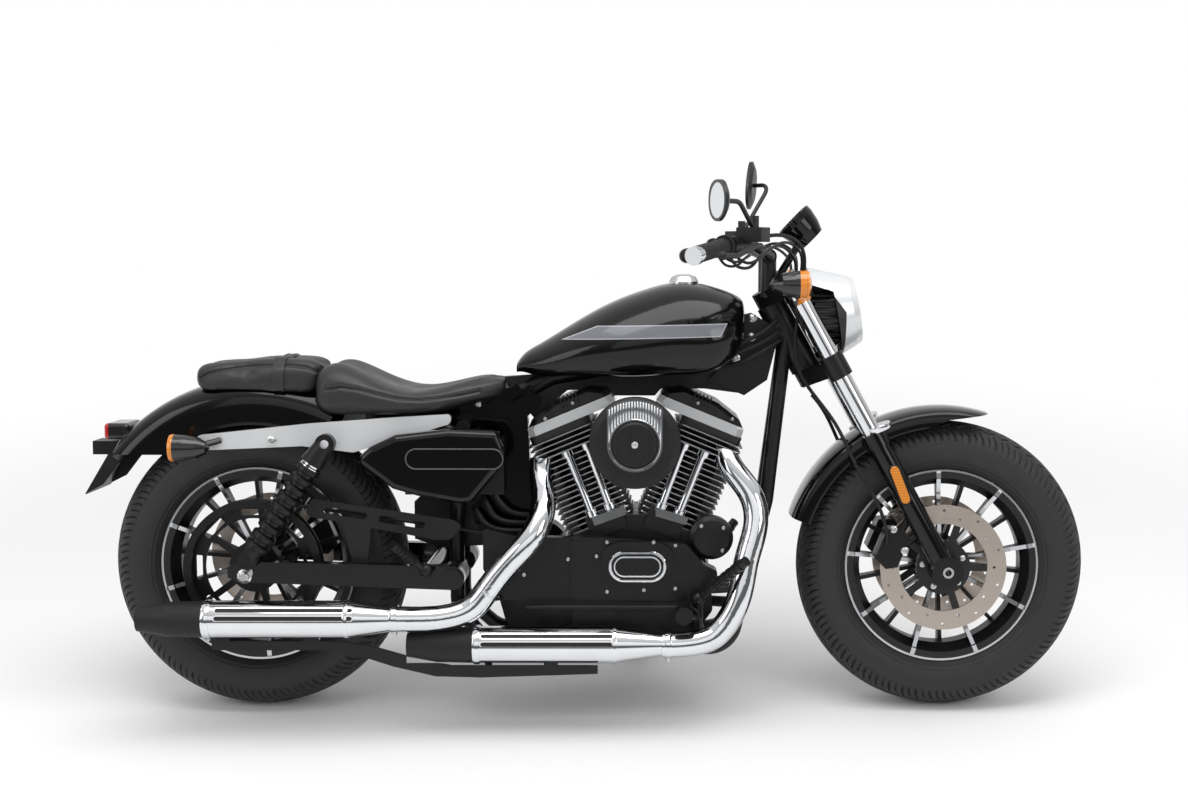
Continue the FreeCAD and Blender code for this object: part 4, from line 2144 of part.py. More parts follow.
CLUTCH_SHARE = 0.86
primary = fuse([
    round_cover(cells.crank_x, cells.primary_z, cells.primary_radius, cells.cam_case_half_width,
                cells.primary_face, cells.fin_corner),
    round_cover(cells.sprocket_x + cells.primary_radius / 4, cells.sprocket_z,
                cells.primary_radius * CLUTCH_SHARE, cells.case_half_width,
                cells.primary_face - cells.clamp_wall, cells.fin_corner),
])
keep("engine_covers", Part.makeCompound([
    cover.cut([crankcase, frame]) for cover in (cam_cover, filter_cover.cut(cam_cover), primary)
]))

CLEANER_SHARES = (0.25, 0.8)
cleaner_centre = Vector(cells.crank_x, 0, cells.cleaner_z)
cleaner_back = cells.cleaner_face - cells.cleaner_depth
cleaner_start = cleaner_centre - LEFT * cleaner_back
cleaner = turned_between(cleaner_start, -LEFT, [
    (0, 0), (0, cells.cleaner_radius * LAMP_SHARES[2]),
    (cells.cleaner_depth * CLEANER_SHARES[0], cells.cleaner_radius),
    (cells.cleaner_depth * CLEANER_SHARES[1], cells.cleaner_radius),
    (cells.cleaner_depth, cells.cleaner_radius * LAMP_SHARES[2]),
    (cells.cleaner_depth, cells.cover_disc_radius),
    (cells.cleaner_depth + cells.cover_height, cells.cover_disc_radius),
    (cells.cleaner_depth + cells.cover_height * PIN_HEAD_SHARE,
     cells.cover_disc_radius * LAMP_SHARES[2]),
    (cells.cleaner_depth + cells.cover_height * PIN_HEAD_SHARE, 0),
])
duct = rod(cleaner_centre, cleaner_start, cells.duct_radius)
manifold = rod(cleaner_centre - Vector(cells.duct_length, 0, 0),
               cleaner_centre + Vector(cells.duct_length, 0, 0), cells.duct_radius)
keep("air_cleaner", fuse([cleaner, duct, manifold]).cut(heads + barrels))
COVER_TOP_SHARE = 0.98
cover_start = cleaner_centre - LEFT * (cells.cleaner_face + cells.seat_gap)
capsule = fuse([
    Part.makeCylinder(cells.cover_half_width, cells.cover_height, cover_start, -LEFT),
    Part.makeBox(cells.cover_half_width * 2, cells.cover_height, cells.cleaner_radius,
                 cover_start - Vector(cells.cover_half_width, cells.cover_height, 0)),
]).common(Part.makeCylinder(cells.cleaner_radius * COVER_TOP_SHARE, cells.cover_height,
                            cover_start, -LEFT))
keep("air_cleaner_cover", capsule.cut(Part.makeCylinder(
    cells.cover_disc_radius + cells.seat_gap, cells.cover_height, cover_start, -LEFT)))


# Exhausts

def silencer(front_x, rear_x, z, side, taper):
    """A straight silencer that swells from the pipe over its taper."""
    radius = cells.silencer_radius
    return turned_between(Vector(front_x, side, z), Vector(-1, 0, 0), [
        (0, 0), (0, cells.header_radius * LAMP_SHARES[2]), (taper, radius),
        (front_x - rear_x, radius), (front_x - rear_x, 0),
    ])


def silencer_end(front_x, length, z, side, radius, tip_radius):
    return turned_between(Vector(front_x, side, z), Vector(-1, 0, 0), [
        (cells.run_gap, 0), (cells.run_gap, radius * LAMP_SHARES[3]),
        (length * END_SHARES[0], radius * END_SHARES[1]), (length, tip_radius),
        (length, tip_radius - cells.fender_wall * 2),
        (length * END_SHARES[2], tip_radius - cells.fender_wall * 2), (length * END_SHARES[2], 0),
    ])


END_SHARES = (0.55, 0.93, 0.7)
PORT_SHARE = 0.55
REAR_PORT_SHARE = 0.8
FRONT_HEADER_SHARES = (
    (0.74, 0.28, 1.0), (0.91, 0.45, 0.87), (0.97, 0.57, 0.73), (0.87, 0.74, 0.49),
    (0.78, 0.87, 0.26), (0.65, 0.91, 0.12), (0.5, 0.95, 0.04), (0.32, 0.98, 0.01),
    (0.12, 1.0, 0.0), (-0.02, 1.0, 0.0),
)
REAR_HEADER_SHARES = (
    (1.0, 0.14, 1.0), (1.02, 0.53, 0.8), (0.94, 0.79, 0.6), (0.77, 0.84, 0.4),
    (0.62, 0.87, 0.2), (0.52, 0.9, 0.08), (0.38, 0.94, 0.02), (0.2, 0.98, 0.0),
    (-0.02, 1.0, 0.0),
)
upper_side = -cells.upper_silencer_middle
lower_side = -cells.lower_silencer_middle
front_port = bank(1, cells.port_up, cells.fin_half_length * PORT_SHARE, -cells.port_side)
front_header = flowing_tube([front_port] + box_points(
    (cells.front_header_rear_x, lower_side + cells.front_header_side, cells.lower_silencer_z),
    (cells.front_header_length, -cells.front_header_side, cells.front_header_height),
    FRONT_HEADER_SHARES), cells.header_radius)
rear_port = bank(-1, cells.port_up - cells.header_radius, cells.fin_half_length * -REAR_PORT_SHARE,
                 -cells.port_side)
rear_header = flowing_tube([rear_port] + box_points(
    (cells.upper_silencer_front_x, upper_side + cells.rear_header_side, cells.upper_silencer_z),
    (rear_port.x - cells.upper_silencer_front_x, -cells.rear_header_side,
     cells.rear_header_height), REAR_HEADER_SHARES), cells.header_radius)
silencers = [
    silencer(cells.lower_silencer_front_x, cells.lower_silencer_rear_x,
             cells.lower_silencer_z, lower_side, cells.lower_taper),
    silencer(cells.upper_silencer_front_x, cells.upper_silencer_rear_x,
             cells.upper_silencer_z, upper_side, cells.upper_taper),
]
keep("exhaust_pipes", Part.makeCompound([
    max(fuse([header.cut(barrels + heads), pipe]).Solids, key=lambda solid: solid.Volume)
    for header, pipe in zip((front_header, rear_header), silencers)
]))
HANGER_SHARES = (
    (0.0, 1.0), (0.33, 1.0), (0.42, 0.85), (0.52, 0.55), (0.62, 0.33), (1.0, 0.33),
    (1.0, 0.1), (0.7, 0.0), (0.58, 0.03), (0.47, 0.3), (0.37, 0.64), (0.31, 0.75), (0.0, 0.75),
)
LUG_SHARES = (0.01, 0.24, 0.86)
hanger = side_plate([
    (cells.hanger_rear_x + cells.hanger_length * along,
     cells.hanger_base_z + cells.hanger_height * up) for along, up in HANGER_SHARES
], -cells.hanger_side, cells.hanger_thickness)
hanger_lugs = []
for share in LUG_SHARES:
    start = cells.hanger_rear_x + cells.hanger_length * share
    high = cells.upper_silencer_z if share < LUG_SHARES[2] else cells.lower_silencer_z
    low = (cells.hanger_base_z + cells.hanger_height * HANGER_SHARES[-1][1]
           if share < LUG_SHARES[2] else cells.hanger_base_z + cells.hanger_thickness)
    hanger_lugs.append(Part.makeBox(
        cells.hanger_lug_width, cells.hanger_thickness, high - low,
        Vector(start, -cells.hanger_side, low)))
hanger_arm = rod(
    Vector(cells.cradle_rear_x, -cells.hanger_side + cells.hanger_thickness / 2,
           cells.hanger_base_z + cells.hanger_arm_radius),
    Vector(cells.cradle_rear_x, -cells.cradle_half_width, cells.cradle_height),
    cells.hanger_arm_radius)
pipe_space = [
    Part.makeCylinder(
        cells.silencer_radius + cells.seat_gap,
        front_x - rear_x + cells.silencer_end_length + cells.seat_gap,
        Vector(rear_x - cells.silencer_end_length - cells.seat_gap, side, z), Vector(1, 0, 0))
    for front_x, rear_x, side, z in (
        (cells.upper_silencer_front_x, cells.upper_silencer_rear_x, upper_side,
         cells.upper_silencer_z),
        (cells.lower_silencer_front_x, cells.lower_silencer_rear_x, lower_side,
         cells.lower_silencer_z),
    )
]
keep("silencer_ends", Part.makeCompound([
    silencer_end(cells.lower_silencer_rear_x, cells.silencer_end_length,
                 cells.lower_silencer_z, lower_side, cells.silencer_radius,
                 cells.silencer_tip_radius),
    silencer_end(cells.upper_silencer_rear_x, cells.silencer_end_length,
                 cells.upper_silencer_z, upper_side, cells.silencer_radius,
                 cells.silencer_tip_radius),
    fuse([hanger, hanger_arm] + hanger_lugs).cut(pipe_space + [frame]),
]))


# Side covers, belt guard, pegs and pedals

COVER_OUTLINE_SHARES = (
    (0.0, 0.58), (0.1, 0.76), (0.27, 0.92), (0.62, 1.0), (0.95, 0.97), (1.0, 0.74),
    (0.97, 0.48), (0.78, 0.02), (0.7, 0.0), (0.42, 0.1), (0.25, 0.2),
)
COVER_BOSS_SHARES = (0.4, 0.82)


def rear_post(share):
    """A point up the frame's rear tube, from above the swingarm pivot to the seat rail."""
    low = Vector(cells.pivot_x, cells.pivot_tube_side, cells.pivot_z + cells.pivot_run_high)
    high = Vector(cells.seat_rail_x, cells.cradle_half_width, cells.seat_rail_z)
    return low + (high - low) * share


frame_space = bent_tube([
    Vector(cells.pivot_x, cells.pivot_tube_side, cells.pivot_z - cells.pivot_run_low),
    Vector(cells.pivot_x, cells.pivot_tube_side, cells.pivot_z + cells.pivot_run_high),
    Vector(cells.seat_rail_x, cells.cradle_half_width, cells.seat_rail_z),
    Vector(cells.seat_rail_end_x, cells.cradle_half_width, cells.seat_rail_z),
], cells.frame_bend, cells.frame_tube_radius + cells.seat_gap)
side_covers = []
for hand in LEGS:
    start = cells.side_cover_face - cells.side_cover_depth
    cover = rounded_plate([
        (cells.side_cover_rear_x + cells.side_cover_length * along,
         cells.side_cover_base_z + cells.side_cover_height * up)
        for along, up in COVER_OUTLINE_SHARES
    ], start, cells.side_cover_depth, cells.fin_corner)
    rim = [edge for edge in cover.Edges
           if all(abs(vertex.Y - cells.side_cover_face) < cells.run_gap
                  for vertex in edge.Vertexes)]
    cover = cover.makeFillet(cells.side_cover_depth * 0.4, rim)
    bosses = [
        rod(post, Vector(post.x, start + cells.clamp_wall, post.z), cells.peg_radius / 2)
        for post in (rear_post(share) for share in COVER_BOSS_SHARES)
    ]
    cover = fuse([cover] + bosses).cut(frame_space)
    side_covers.append(cover if hand > 0 else mirrored(cover))
PANEL_ARM_SHARE = 0.25
PANEL_SHARES = ((0.0, 0.51), (0.36, 0.0), (0.72, 0.4), (1.0, 0.85), (0.62, 1.0))
for hand in LEGS:
    start = cells.panel_side if hand > 0 else -cells.panel_side - cells.panel_thickness
    panel = rounded_plate([
        (cells.panel_rear_x + cells.panel_length * along,
         cells.panel_base_z + cells.panel_height * up) for along, up in PANEL_SHARES
    ], start, cells.panel_thickness, cells.fin_corner / 2)
    arm_foot = backbone_path[1] + (backbone_path[2] - backbone_path[1]) * PANEL_ARM_SHARE
    arm = rod(arm_foot, arm_foot + LEFT * (hand * cells.panel_side), cells.panel_arm_radius)
    side_covers.append(fuse([panel, arm]).cut(frame))
keep("side_covers", Part.makeCompound(side_covers))

GUARD_SHARES = (
    (0.0, 0.98), (0.02, 1.02), (0.94, 0.5), (1.0, 0.36), (0.92, 0.0), (0.82, 0.0), (-0.04, 0.6),
)
GUARD_SLOT_SHARES = (
    ((0.1, 0.82), (0.38, 0.66), (0.36, 0.5), (0.08, 0.66)),
    ((0.46, 0.61), (0.76, 0.43), (0.74, 0.27), (0.44, 0.45)),
)
GUARD_FOOT_SHARES = ((0.3, -0.2), (0.36, -0.2), (0.4, 2.6), (0.2, 3.0))
guard_side = -cells.guard_side
guard = rounded_plate([
    (cells.guard_rear_x + cells.guard_length * along,
     cells.guard_base_z + cells.guard_height * up)
    for along, up in GUARD_SHARES
], guard_side - cells.fender_wall, cells.fender_wall, cells.fin_corner)
slots = [
    rounded_plate([
        (cells.guard_rear_x + cells.guard_length * along,
         cells.guard_base_z + cells.guard_height * up)
        for along, up in shape
    ], guard_side - cells.fender_wall * 2, cells.fender_wall * 4, cells.fin_corner / 2)
    for shape in GUARD_SLOT_SHARES
]
guard_foot = side_plate([
    (cells.guard_rear_x + cells.guard_length * along, cells.pivot_z
     + cells.swingarm_height * up) for along, up in GUARD_FOOT_SHARES
], guard_side - cells.fender_wall, cells.fender_wall)
keep("belt_guard", fuse([guard.cut(slots), guard_foot]))


COUNT_PEG_RIBS = 6
PEG_ARM_SHARE = 0.7
RADIUS_SHARE = 0.86
REAR_LUG_SHARES = (-0.12, -0.36)
HOSE_LOW_SHARES = (
    (0.62, 0.9, 0.82), (0.53, 0.8, 0.96), (0.42, 0.86, 1.12), (0.29, 0.84, 1.16),
    (0.19, 1.0, 1.06), (0.155, 1.15, 0.98),
)
def peg(foot, tip, radius):
    """A foot peg: a bracket pin and a ribbed rubber round it."""
    run = (tip - foot).normalize()
    length = (tip - foot).Length
    rubber = []
    for index in range(COUNT_PEG_RIBS):
        start = length * (0.35 + 0.62 * index / COUNT_PEG_RIBS)
        rubber += [
            (start, radius), (start + length * 0.03, radius),
            (start + length * 0.03, radius * 0.86), (start + length * 0.06, radius * 0.86),
        ]
    return turned_between(foot, run, [(0, 0), (0, radius * 0.6), (length * 0.35, radius * 0.6)]
                          + rubber + [(length, radius * 0.86), (length, 0)])


footrests = []
for hand in LEGS:
    foot = Vector(cells.peg_foot_x, hand * cells.peg_foot_side, cells.peg_foot_z)
    tip = foot + Vector(cells.peg_reach_x, hand * cells.peg_reach_side, cells.peg_reach_z)
    mount = Vector(cells.peg_foot_x, hand * cells.cradle_half_width, cells.cradle_height)
    footrests.append(fuse([
        peg(foot, tip, cells.peg_radius), rod(foot, mount, cells.peg_radius * PEG_ARM_SHARE),
        Part.makeSphere(cells.peg_radius, foot),
    ]).cut(frame))
    foot = Vector(cells.back_peg_x, hand * cells.back_peg_side, cells.back_peg_z)
    tip = foot + Vector(cells.back_peg_reach_x, hand * cells.back_peg_reach_side,
                        cells.back_peg_reach_z)
    footrests.append(fuse([
        peg(foot, tip, cells.peg_radius), Part.makeSphere(cells.peg_radius, foot),
        rod(foot, Vector(foot.x, hand * (rear_arm_outer + cells.seat_gap), foot.z),
            cells.peg_radius * PEG_ARM_SHARE),
    ]))
    pad = Vector(cells.pedal_x, hand * cells.pedal_side, cells.pedal_z)
    pivot = Vector(cells.lever_pivot_x, hand * (cells.cradle_half_width
                                                + cells.frame_tube_radius / 2),
                   cells.lever_pivot_z)
    half = Vector(0, hand * cells.pedal_length / 2, 0)
    knee = Vector(pivot.x, hand * cells.peg_foot_side, pivot.z)
    lever = [
        rod(pad - half, pad + half, cells.pedal_radius),
        bent_tube([pad, knee, Vector(pivot.x, hand * cells.cradle_half_width,
                                     cells.cradle_height)],
                  cells.pedal_radius, cells.pedal_stem_radius),
    ]
    if hand < 0:
        rise = Vector(0, 0, cells.peg_foot_z - cells.pedal_radius - pivot.z)
        lever.append(bent_tube(
            [knee, knee + rise, knee + rise - Vector(cells.brake_rod_length, 0, 0)],
            cells.pedal_radius, cells.brake_rod_radius))
    footrests.append(fuse(lever).cut(frame))
keep("footrests", Part.makeCompound(footrests))

# Rear brake caliper and the hoses of the front brakes

block = caliper(REAR_AXLE, rear_disc_side, 1, cells.rear_caliper_angle, cells.front_caliper_lug)
turn = math.radians(cells.rear_caliper_angle)
out = Vector(math.cos(turn), 0, math.sin(turn))
across = Vector(-math.sin(turn), 0, math.cos(turn))
for along in REAR_LUG_SHARES:
    place = REAR_AXLE + out * (cells.disc_radius * RADIUS_SHARE) + across * (
        cells.caliper_length * along)
    place = Vector(place.x, rear_disc_side + cells.caliper_gap * 2, place.z)
    block = block.fuse(rod(place, Vector(place.x, rear_arm_inner - cells.seat_gap, place.z),
                           cells.fender_lug_radius * CALIPER_SHARE))
keep("rear_caliper", block)


def hose(points):
    return flowing_tube(points, cells.hose_radius)


HOSE_HIGH_SHARES = (
    (0.0, 1.0, 1.0), (0.33, 0.75, 1.02), (0.57, 0.36, 0.92), (0.59, 0.1, 0.74),
    (0.53, 0.02, 0.47), (0.54, 0.03, 0.21),
)
hose_low = [
    fork_point(cells.fork_length * up, -cells.hose_back * back, -cells.fork_half_spacing * side)
    for up, back, side in HOSE_LOW_SHARES
]
hoses = [hose(box_points(
    (cells.hose_start_x, -cells.hose_high_side, cells.hose_base_z),
    (cells.hose_length, -(cells.hose_start_side - cells.hose_high_side), cells.hose_height),
    HOSE_HIGH_SHARES) + hose_low).cut(hand_controls)]
hoses.append(hose([Vector(point.x, -point.y, point.z) for point in hose_low]))
keep("front_hoses", Part.makeCompound(hoses))


# Side stand

stand_foot = Vector(cells.stand_foot_x, cells.stand_foot_y,
                    cells.stand_foot_y * math.tan(LEAN))
ground_up = Vector(0, -math.sin(LEAN), math.cos(LEAN))
eye_half = cells.stand_eye_thickness / 2
foot_top = stand_foot + ground_up * cells.stand_foot_thickness
side_stand = fuse([
    rod(STAND_PIVOT - STAND_AXIS * eye_half, STAND_PIVOT + STAND_AXIS * eye_half,
        cells.stand_eye_radius),
    cone_bar(STAND_PIVOT, foot_top, cells.stand_radius * PIN_HEAD_SHARE, cells.stand_radius),
    rod(stand_foot, foot_top, cells.stand_foot_radius),
    Part.makeSphere(cells.stand_radius, foot_top),
])
stand_clear = fuse([
    rod(STAND_PIVOT + STAND_AXIS * eye_half,
        STAND_PIVOT + STAND_AXIS * (eye_half + cells.stand_eye_radius * 2),
        cells.stand_eye_radius * 2),
    rod(STAND_PIVOT - STAND_AXIS * eye_half,
        STAND_PIVOT - STAND_AXIS * (eye_half + cells.stand_eye_radius * 2),
        cells.stand_eye_radius * 2),
    rod(STAND_PIVOT - STAND_AXIS * cells.stand_eye_radius,
        STAND_PIVOT + STAND_AXIS * cells.stand_eye_radius,
        cells.stand_pin_radius + cells.run_gap),
])
keep("side_stand", side_stand.cut(stand_clear))


# Lean the machine, put the origin under the middle of its box, check it and write the files

lean = Placement(Vector(), Rotation(Vector(1, 0, 0), -cells.lean_angle))
for piece, place in PARTS.values():
    piece.Placement = lean.multiply(place)
doc.recompute()
box = FreeCAD.BoundBox()
for piece, place in PARTS.values():
    if not piece.Shape.Solids:
        raise ValueError(f"{piece.Label} holds no solid")
    box.add(piece.Shape.optimalBoundingBox(False))
shift = Vector(-(box.XMin + box.XMax) / 2, -(box.YMin + box.YMax) / 2, -box.ZMin)
for piece, place in PARTS.values():
    piece.Placement = Placement(shift, Rotation()).multiply(piece.Placement)
doc.recompute()

for piece in doc.Objects:
    if "Invalid" in piece.State or "Error" in piece.State:
        raise ValueError(f"{piece.Label} did not build")
os.makedirs("parts", exist_ok=True)
for label, (piece, place) in PARTS.items():
    shape = piece.Shape
    if shape.isNull() or not shape.isValid():
        raise ValueError(f"{label} has no valid shape")
    if not shape.Solids:
        raise ValueError(f"{label} holds no solid")
    shape.exportStep(f"parts/{label}.step")
    print(label, len(shape.Solids), "solids", round(shape.Volume / 1000.0, 1), "cm3")


def world(point):
    """A point of the upright machine, in metres in the frame of the files."""
    moved = lean.multVec(point) + shift
    return [round(value / 1000.0, 6) for value in moved]


print("shift", [round(value, 4) for value in shift])
print("front axle", world(FRONT_AXLE), "rear axle", world(REAR_AXLE))
print("steering", world(stem_point(0)), "axis", [round(v, 6) for v in
                                                 lean.Rotation.multVec(FORK_UP)])
print("stand", world(STAND_PIVOT), "axis", [round(v, 6) for v in
                                            lean.Rotation.multVec(STAND_AXIS)])
print("wheel axis", [round(v, 6) for v in lean.Rotation.multVec(LEFT)])
print("size", [round(value, 2) for value in (box.XLength, box.YLength, box.ZLength)])
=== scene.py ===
# %% [markdown]
# # A parked cruiser motorcycle
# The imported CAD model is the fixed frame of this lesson. Every solid that already has the right
# shape stays, and gets a finish. Tyre treads, seat leather, spoke faces, bolts, ribs, glass and
# hoses are made here, because they are details that a solid model would only carry as weight.

# %% Load the frame
import json
import math

import bmesh
import bpy
import numpy as np
from mathutils import Matrix, Vector
from mathutils.bvhtree import BVHTree


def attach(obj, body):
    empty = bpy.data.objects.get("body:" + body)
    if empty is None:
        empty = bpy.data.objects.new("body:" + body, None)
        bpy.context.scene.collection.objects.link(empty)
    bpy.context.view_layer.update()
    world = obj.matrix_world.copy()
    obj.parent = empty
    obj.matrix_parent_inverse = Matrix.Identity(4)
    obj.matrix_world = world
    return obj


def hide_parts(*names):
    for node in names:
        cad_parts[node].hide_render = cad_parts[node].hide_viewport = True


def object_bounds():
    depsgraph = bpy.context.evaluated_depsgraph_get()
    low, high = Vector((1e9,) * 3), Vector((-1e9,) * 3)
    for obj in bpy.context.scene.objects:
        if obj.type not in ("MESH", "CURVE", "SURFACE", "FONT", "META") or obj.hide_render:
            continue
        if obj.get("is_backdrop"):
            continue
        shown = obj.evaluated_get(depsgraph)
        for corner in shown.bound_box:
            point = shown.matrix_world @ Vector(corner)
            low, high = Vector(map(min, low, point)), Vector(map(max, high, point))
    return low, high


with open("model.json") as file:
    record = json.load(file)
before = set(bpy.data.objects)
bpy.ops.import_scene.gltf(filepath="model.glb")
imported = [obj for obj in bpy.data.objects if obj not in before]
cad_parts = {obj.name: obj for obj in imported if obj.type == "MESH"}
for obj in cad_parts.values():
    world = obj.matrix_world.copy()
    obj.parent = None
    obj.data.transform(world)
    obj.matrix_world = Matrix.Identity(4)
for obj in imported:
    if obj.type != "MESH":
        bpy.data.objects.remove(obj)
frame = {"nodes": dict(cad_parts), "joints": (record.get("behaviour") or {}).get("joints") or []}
nodes = frame["nodes"]
cad_low, cad_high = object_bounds()


def linked(name, data):
    """An object with this data, put into the scene."""
    made = bpy.data.objects.new(name, data)
    bpy.context.scene.collection.objects.link(made)
    return made


print("CAD box", [round(v, 3) for v in cad_high - cad_low])

# %% [markdown]
# ## One pair of axes for the leaning machine
# The motorcycle leans on its side stand, so nothing on it is square to the world. All the
# measures below are millimetres on the upright machine: x forward, y to the rider's left and z up
# from the ground. One matrix leans them and puts them where the front axle of the CAD model is.

# %% The leaning matrix
MM = 0.001
LEAN = math.radians(-10)
FRONT_AXLE = (0.761, 0, 0.32262)
REAR_AXLE = (-0.761, 0, 0.32733)
CRANK = (0.078, 0, 0.231)
HALF_VEE = math.radians(22.5)
SIDES = ((-1, "right"), (1, "left"))

joints = {joint["name"]: joint for joint in frame["joints"]}
lean = Matrix.Rotation(LEAN, 4, "X")
shift = Vector(joints["front_wheel_spin"]["pos_m"]) - lean @ Vector(FRONT_AXLE)
BIKE = Matrix.Translation(shift) @ lean
BIKE_MM = BIKE @ Matrix.Scale(MM, 4)
UPRIGHT_MM = BIKE_MM.inverted()
print("the machine is moved by", [round(v, 4) for v in shift])

# %% [markdown]
# ## Camera
# The photograph was taken from the machine's right, from a few paces back, with the lens a little
# above the handlebar and turned down by five degrees. The camera is found in the upright axes and
# carried through the same lean, so that the machine stands in the picture as it does in the photo.

# %% Camera
FRAME_WIDTH = 1188
FOCUS = 1606.46
MIDDLE_COLUMN = 662.8
CAMERA_PLACE = Vector((0.1236, -3.5866, 1.0112))
LOOK_RIGHT, LOOK_DOWN, ROLL = 0.0040, 0.0871, 0.0014

camera_data = bpy.data.cameras.new("camera")
camera_data.lens = FOCUS / FRAME_WIDTH * camera_data.sensor_width
camera_data.shift_x = (FRAME_WIDTH / 2 - MIDDLE_COLUMN) / FRAME_WIDTH
camera = linked("camera", camera_data)
look = Vector((math.sin(LOOK_RIGHT) * math.cos(LOOK_DOWN),
               math.cos(LOOK_RIGHT) * math.cos(LOOK_DOWN), -math.sin(LOOK_DOWN)))
turn = look.to_track_quat("-Z", "Y").to_matrix().to_4x4() @ Matrix.Rotation(ROLL, 4, "Z")
camera.matrix_world = BIKE @ Matrix.Translation(CAMERA_PLACE) @ turn
bpy.context.scene.camera = camera
print("lens", round(camera_data.lens, 1), "mm")

# %% [markdown]
# ## Colours and nodes
# Colours are written as they look on a screen and turned to linear light once. One small function
# adds a node with its settings and links, and a table gives short words for the nodes that most
# finishes need.


# %% Colours
def screen_colour(code):
    """An sRGB hex colour as linear red, green, blue and alpha."""
    parts = [int(code[i:i + 2], 16) / 255 for i in (1, 3, 5)]
    linear = [v / 12.92 if v <= 0.04045 else ((v + 0.055) / 1.055) ** 2.4 for v in parts]
    return (*linear, 1.0)


print("mid grey is", round(screen_colour("#808080")[0], 3), "in linear light")

# %% One function for nodes
SUMS = ("add subtract multiply divide minimum maximum power absolute pingpong greater_than "
        "less_than arctan2")
WORDS = {
    "noise": ("ShaderNodeTexNoise", {}),
    "bump": ("ShaderNodeBump", {}),
    "range": ("ShaderNodeMapRange", {}),
    "soft_range": ("ShaderNodeMapRange", {"interpolation_type": "SMOOTHSTEP"}),
    "colours": ("ShaderNodeMix", {"data_type": "RGBA"}),
    "numbers": ("ShaderNodeMix", {"data_type": "FLOAT"}),
    "split": ("ShaderNodeSeparateXYZ", {}),
    "length": ("ShaderNodeVectorMath", {"operation": "LENGTH"}),
    "attribute": ("GeometryNodeInputNamedAttribute", {"data_type": "FLOAT_VECTOR"}),
    **{word: ("ShaderNodeMath", {"operation": word.upper()}) for word in SUMS.split()},
}


def add(tree, word, *values, **named):
    """Adds a node and gives its first output that is in use.

    The word is in the table above or is the node's own type. Values go into the inputs in use,
    from the first on. A name in small letters is a setting, and one with a capital is an input,
    with _ for a space. A socket is linked, and anything else is set.
    """
    kind, settings = WORDS.get(word, (word, {}))
    node = tree.nodes.new(kind)
    small = {key: value for key, value in named.items() if key[0].islower()}
    for key, value in {**settings, **small}.items():
        setattr(node, key, value)
    pairs = list(zip([socket for socket in node.inputs if socket.enabled], values))
    pairs += [(node.inputs[key.replace("_", " ")], value) for key, value in named.items()
              if key not in small]
    for socket, value in pairs:
        if isinstance(value, bpy.types.NodeSocket):
            tree.links.new(value, socket)
        else:
            socket.default_value = value
    return next((socket for socket in node.outputs if socket.enabled), None)


print(len(WORDS), "words for nodes")

# %% [markdown]
# ## A plain finish
# Paint, plate, powder coat and moulded plastic differ in colour, gloss and grain, but all of them
# drift a little from place to place. One function makes that drift over patches of a few
# centimetres, and a grain in millimetres as bump. Each finish below is then named for what it is.


# %% Beginning and end of every finish
def new_finish(name):
    """An empty material, its tree, and the place on the object in metres."""
    made = bpy.data.materials.new(name)
    made.use_nodes = True
    made.node_tree.nodes.clear()
    place = add(made.node_tree, "ShaderNodeTexCoord").node.outputs["Object"]
    return made, made.node_tree, place


def close_finish(tree, **inputs):
    """The shader with all that goes into it, joined to the output."""
    add(tree, "ShaderNodeOutputMaterial", add(tree, "ShaderNodeBsdfPrincipled", **inputs))


def spots(size_mm):
    """The scale of a pattern whose spots are about size_mm across."""
    return 1 / (size_mm * MM)


print("a pattern of 40 mm has the scale", round(spots(40)))

# %% One function for plain finishes
LOW_NOISE, HIGH_NOISE = 0.3, 0.7


def plain_finish(name, dark, light, rough, patch_mm=40, grain_mm=1.5, depth_mm=0.03, **inputs):
    """Two close colours over patches, roughness from rough[0] to rough[1], and a fine grain."""
    made, tree, place = new_finish(name)
    patch = add(tree, "noise", place, Scale=spots(patch_mm), Detail=3.0)
    grain = add(tree, "noise", place, Scale=spots(grain_mm), Detail=2.0)
    close_finish(
        tree, Base_Color=add(tree, "colours", patch, screen_colour(dark), screen_colour(light)),
        Roughness=add(tree, "range", patch, LOW_NOISE, HIGH_NOISE, *rough),
        Normal=add(tree, "bump", Distance=depth_mm * MM, Height=grain), **inputs)
    return made


print("noise is spread from", LOW_NOISE, "to", HIGH_NOISE)

# %% Black coats and mouldings
# Sprayed enamel under clear lacquer: deep black with sharp reflections.
gloss_enamel = plain_finish("gloss_black_enamel", "#040405", "#070708", (0.12, 0.16),
                            patch_mm=120, grain_mm=8, depth_mm=0.004, Specular_IOR_Level=0.2,
                            Coat_Weight=0.35, Coat_Roughness=0.03)
# Powder melted on in an oven: black with a soft sheen and a fine orange peel.
powder_coat = plain_finish("satin_black_powder_coat", "#08080a", "#0e0e10", (0.32, 0.42),
                           grain_mm=1.6, depth_mm=0.04, Specular_IOR_Level=0.35)
# Polypropylene from a grained mould: dark, dull and evenly pitted.
moulded_plastic = plain_finish("grained_black_polypropylene", "#0d0d0f", "#131315", (0.42, 0.55),
                               grain_mm=1.2, depth_mm=0.05, Specular_IOR_Level=0.4)
print(len(bpy.data.materials), "finishes")

# %% Plate and bare metal
# Chrome over nickel on polished steel: nearly a mirror, a little cool.
chrome_plate = plain_finish("bright_chrome_plate", "#d9dbde", "#e8e9eb", (0.035, 0.08),
                            patch_mm=60, grain_mm=14, depth_mm=0.002, Metallic=1.0)
# Satin chrome on rolled steel: silver without clear reflections.
satin_chrome = plain_finish("satin_chrome_on_steel", "#dcdee0", "#e6e7e9", (0.2, 0.26),
                            patch_mm=120, grain_mm=6, depth_mm=0.002, Metallic=0.35)
# Aluminium polished by hand: bright and slightly clouded.
polished_alloy = plain_finish("polished_aluminium", "#c9cbce", "#d8d9db", (0.2, 0.3),
                              grain_mm=1.0, depth_mm=0.008, Metallic=1.0)
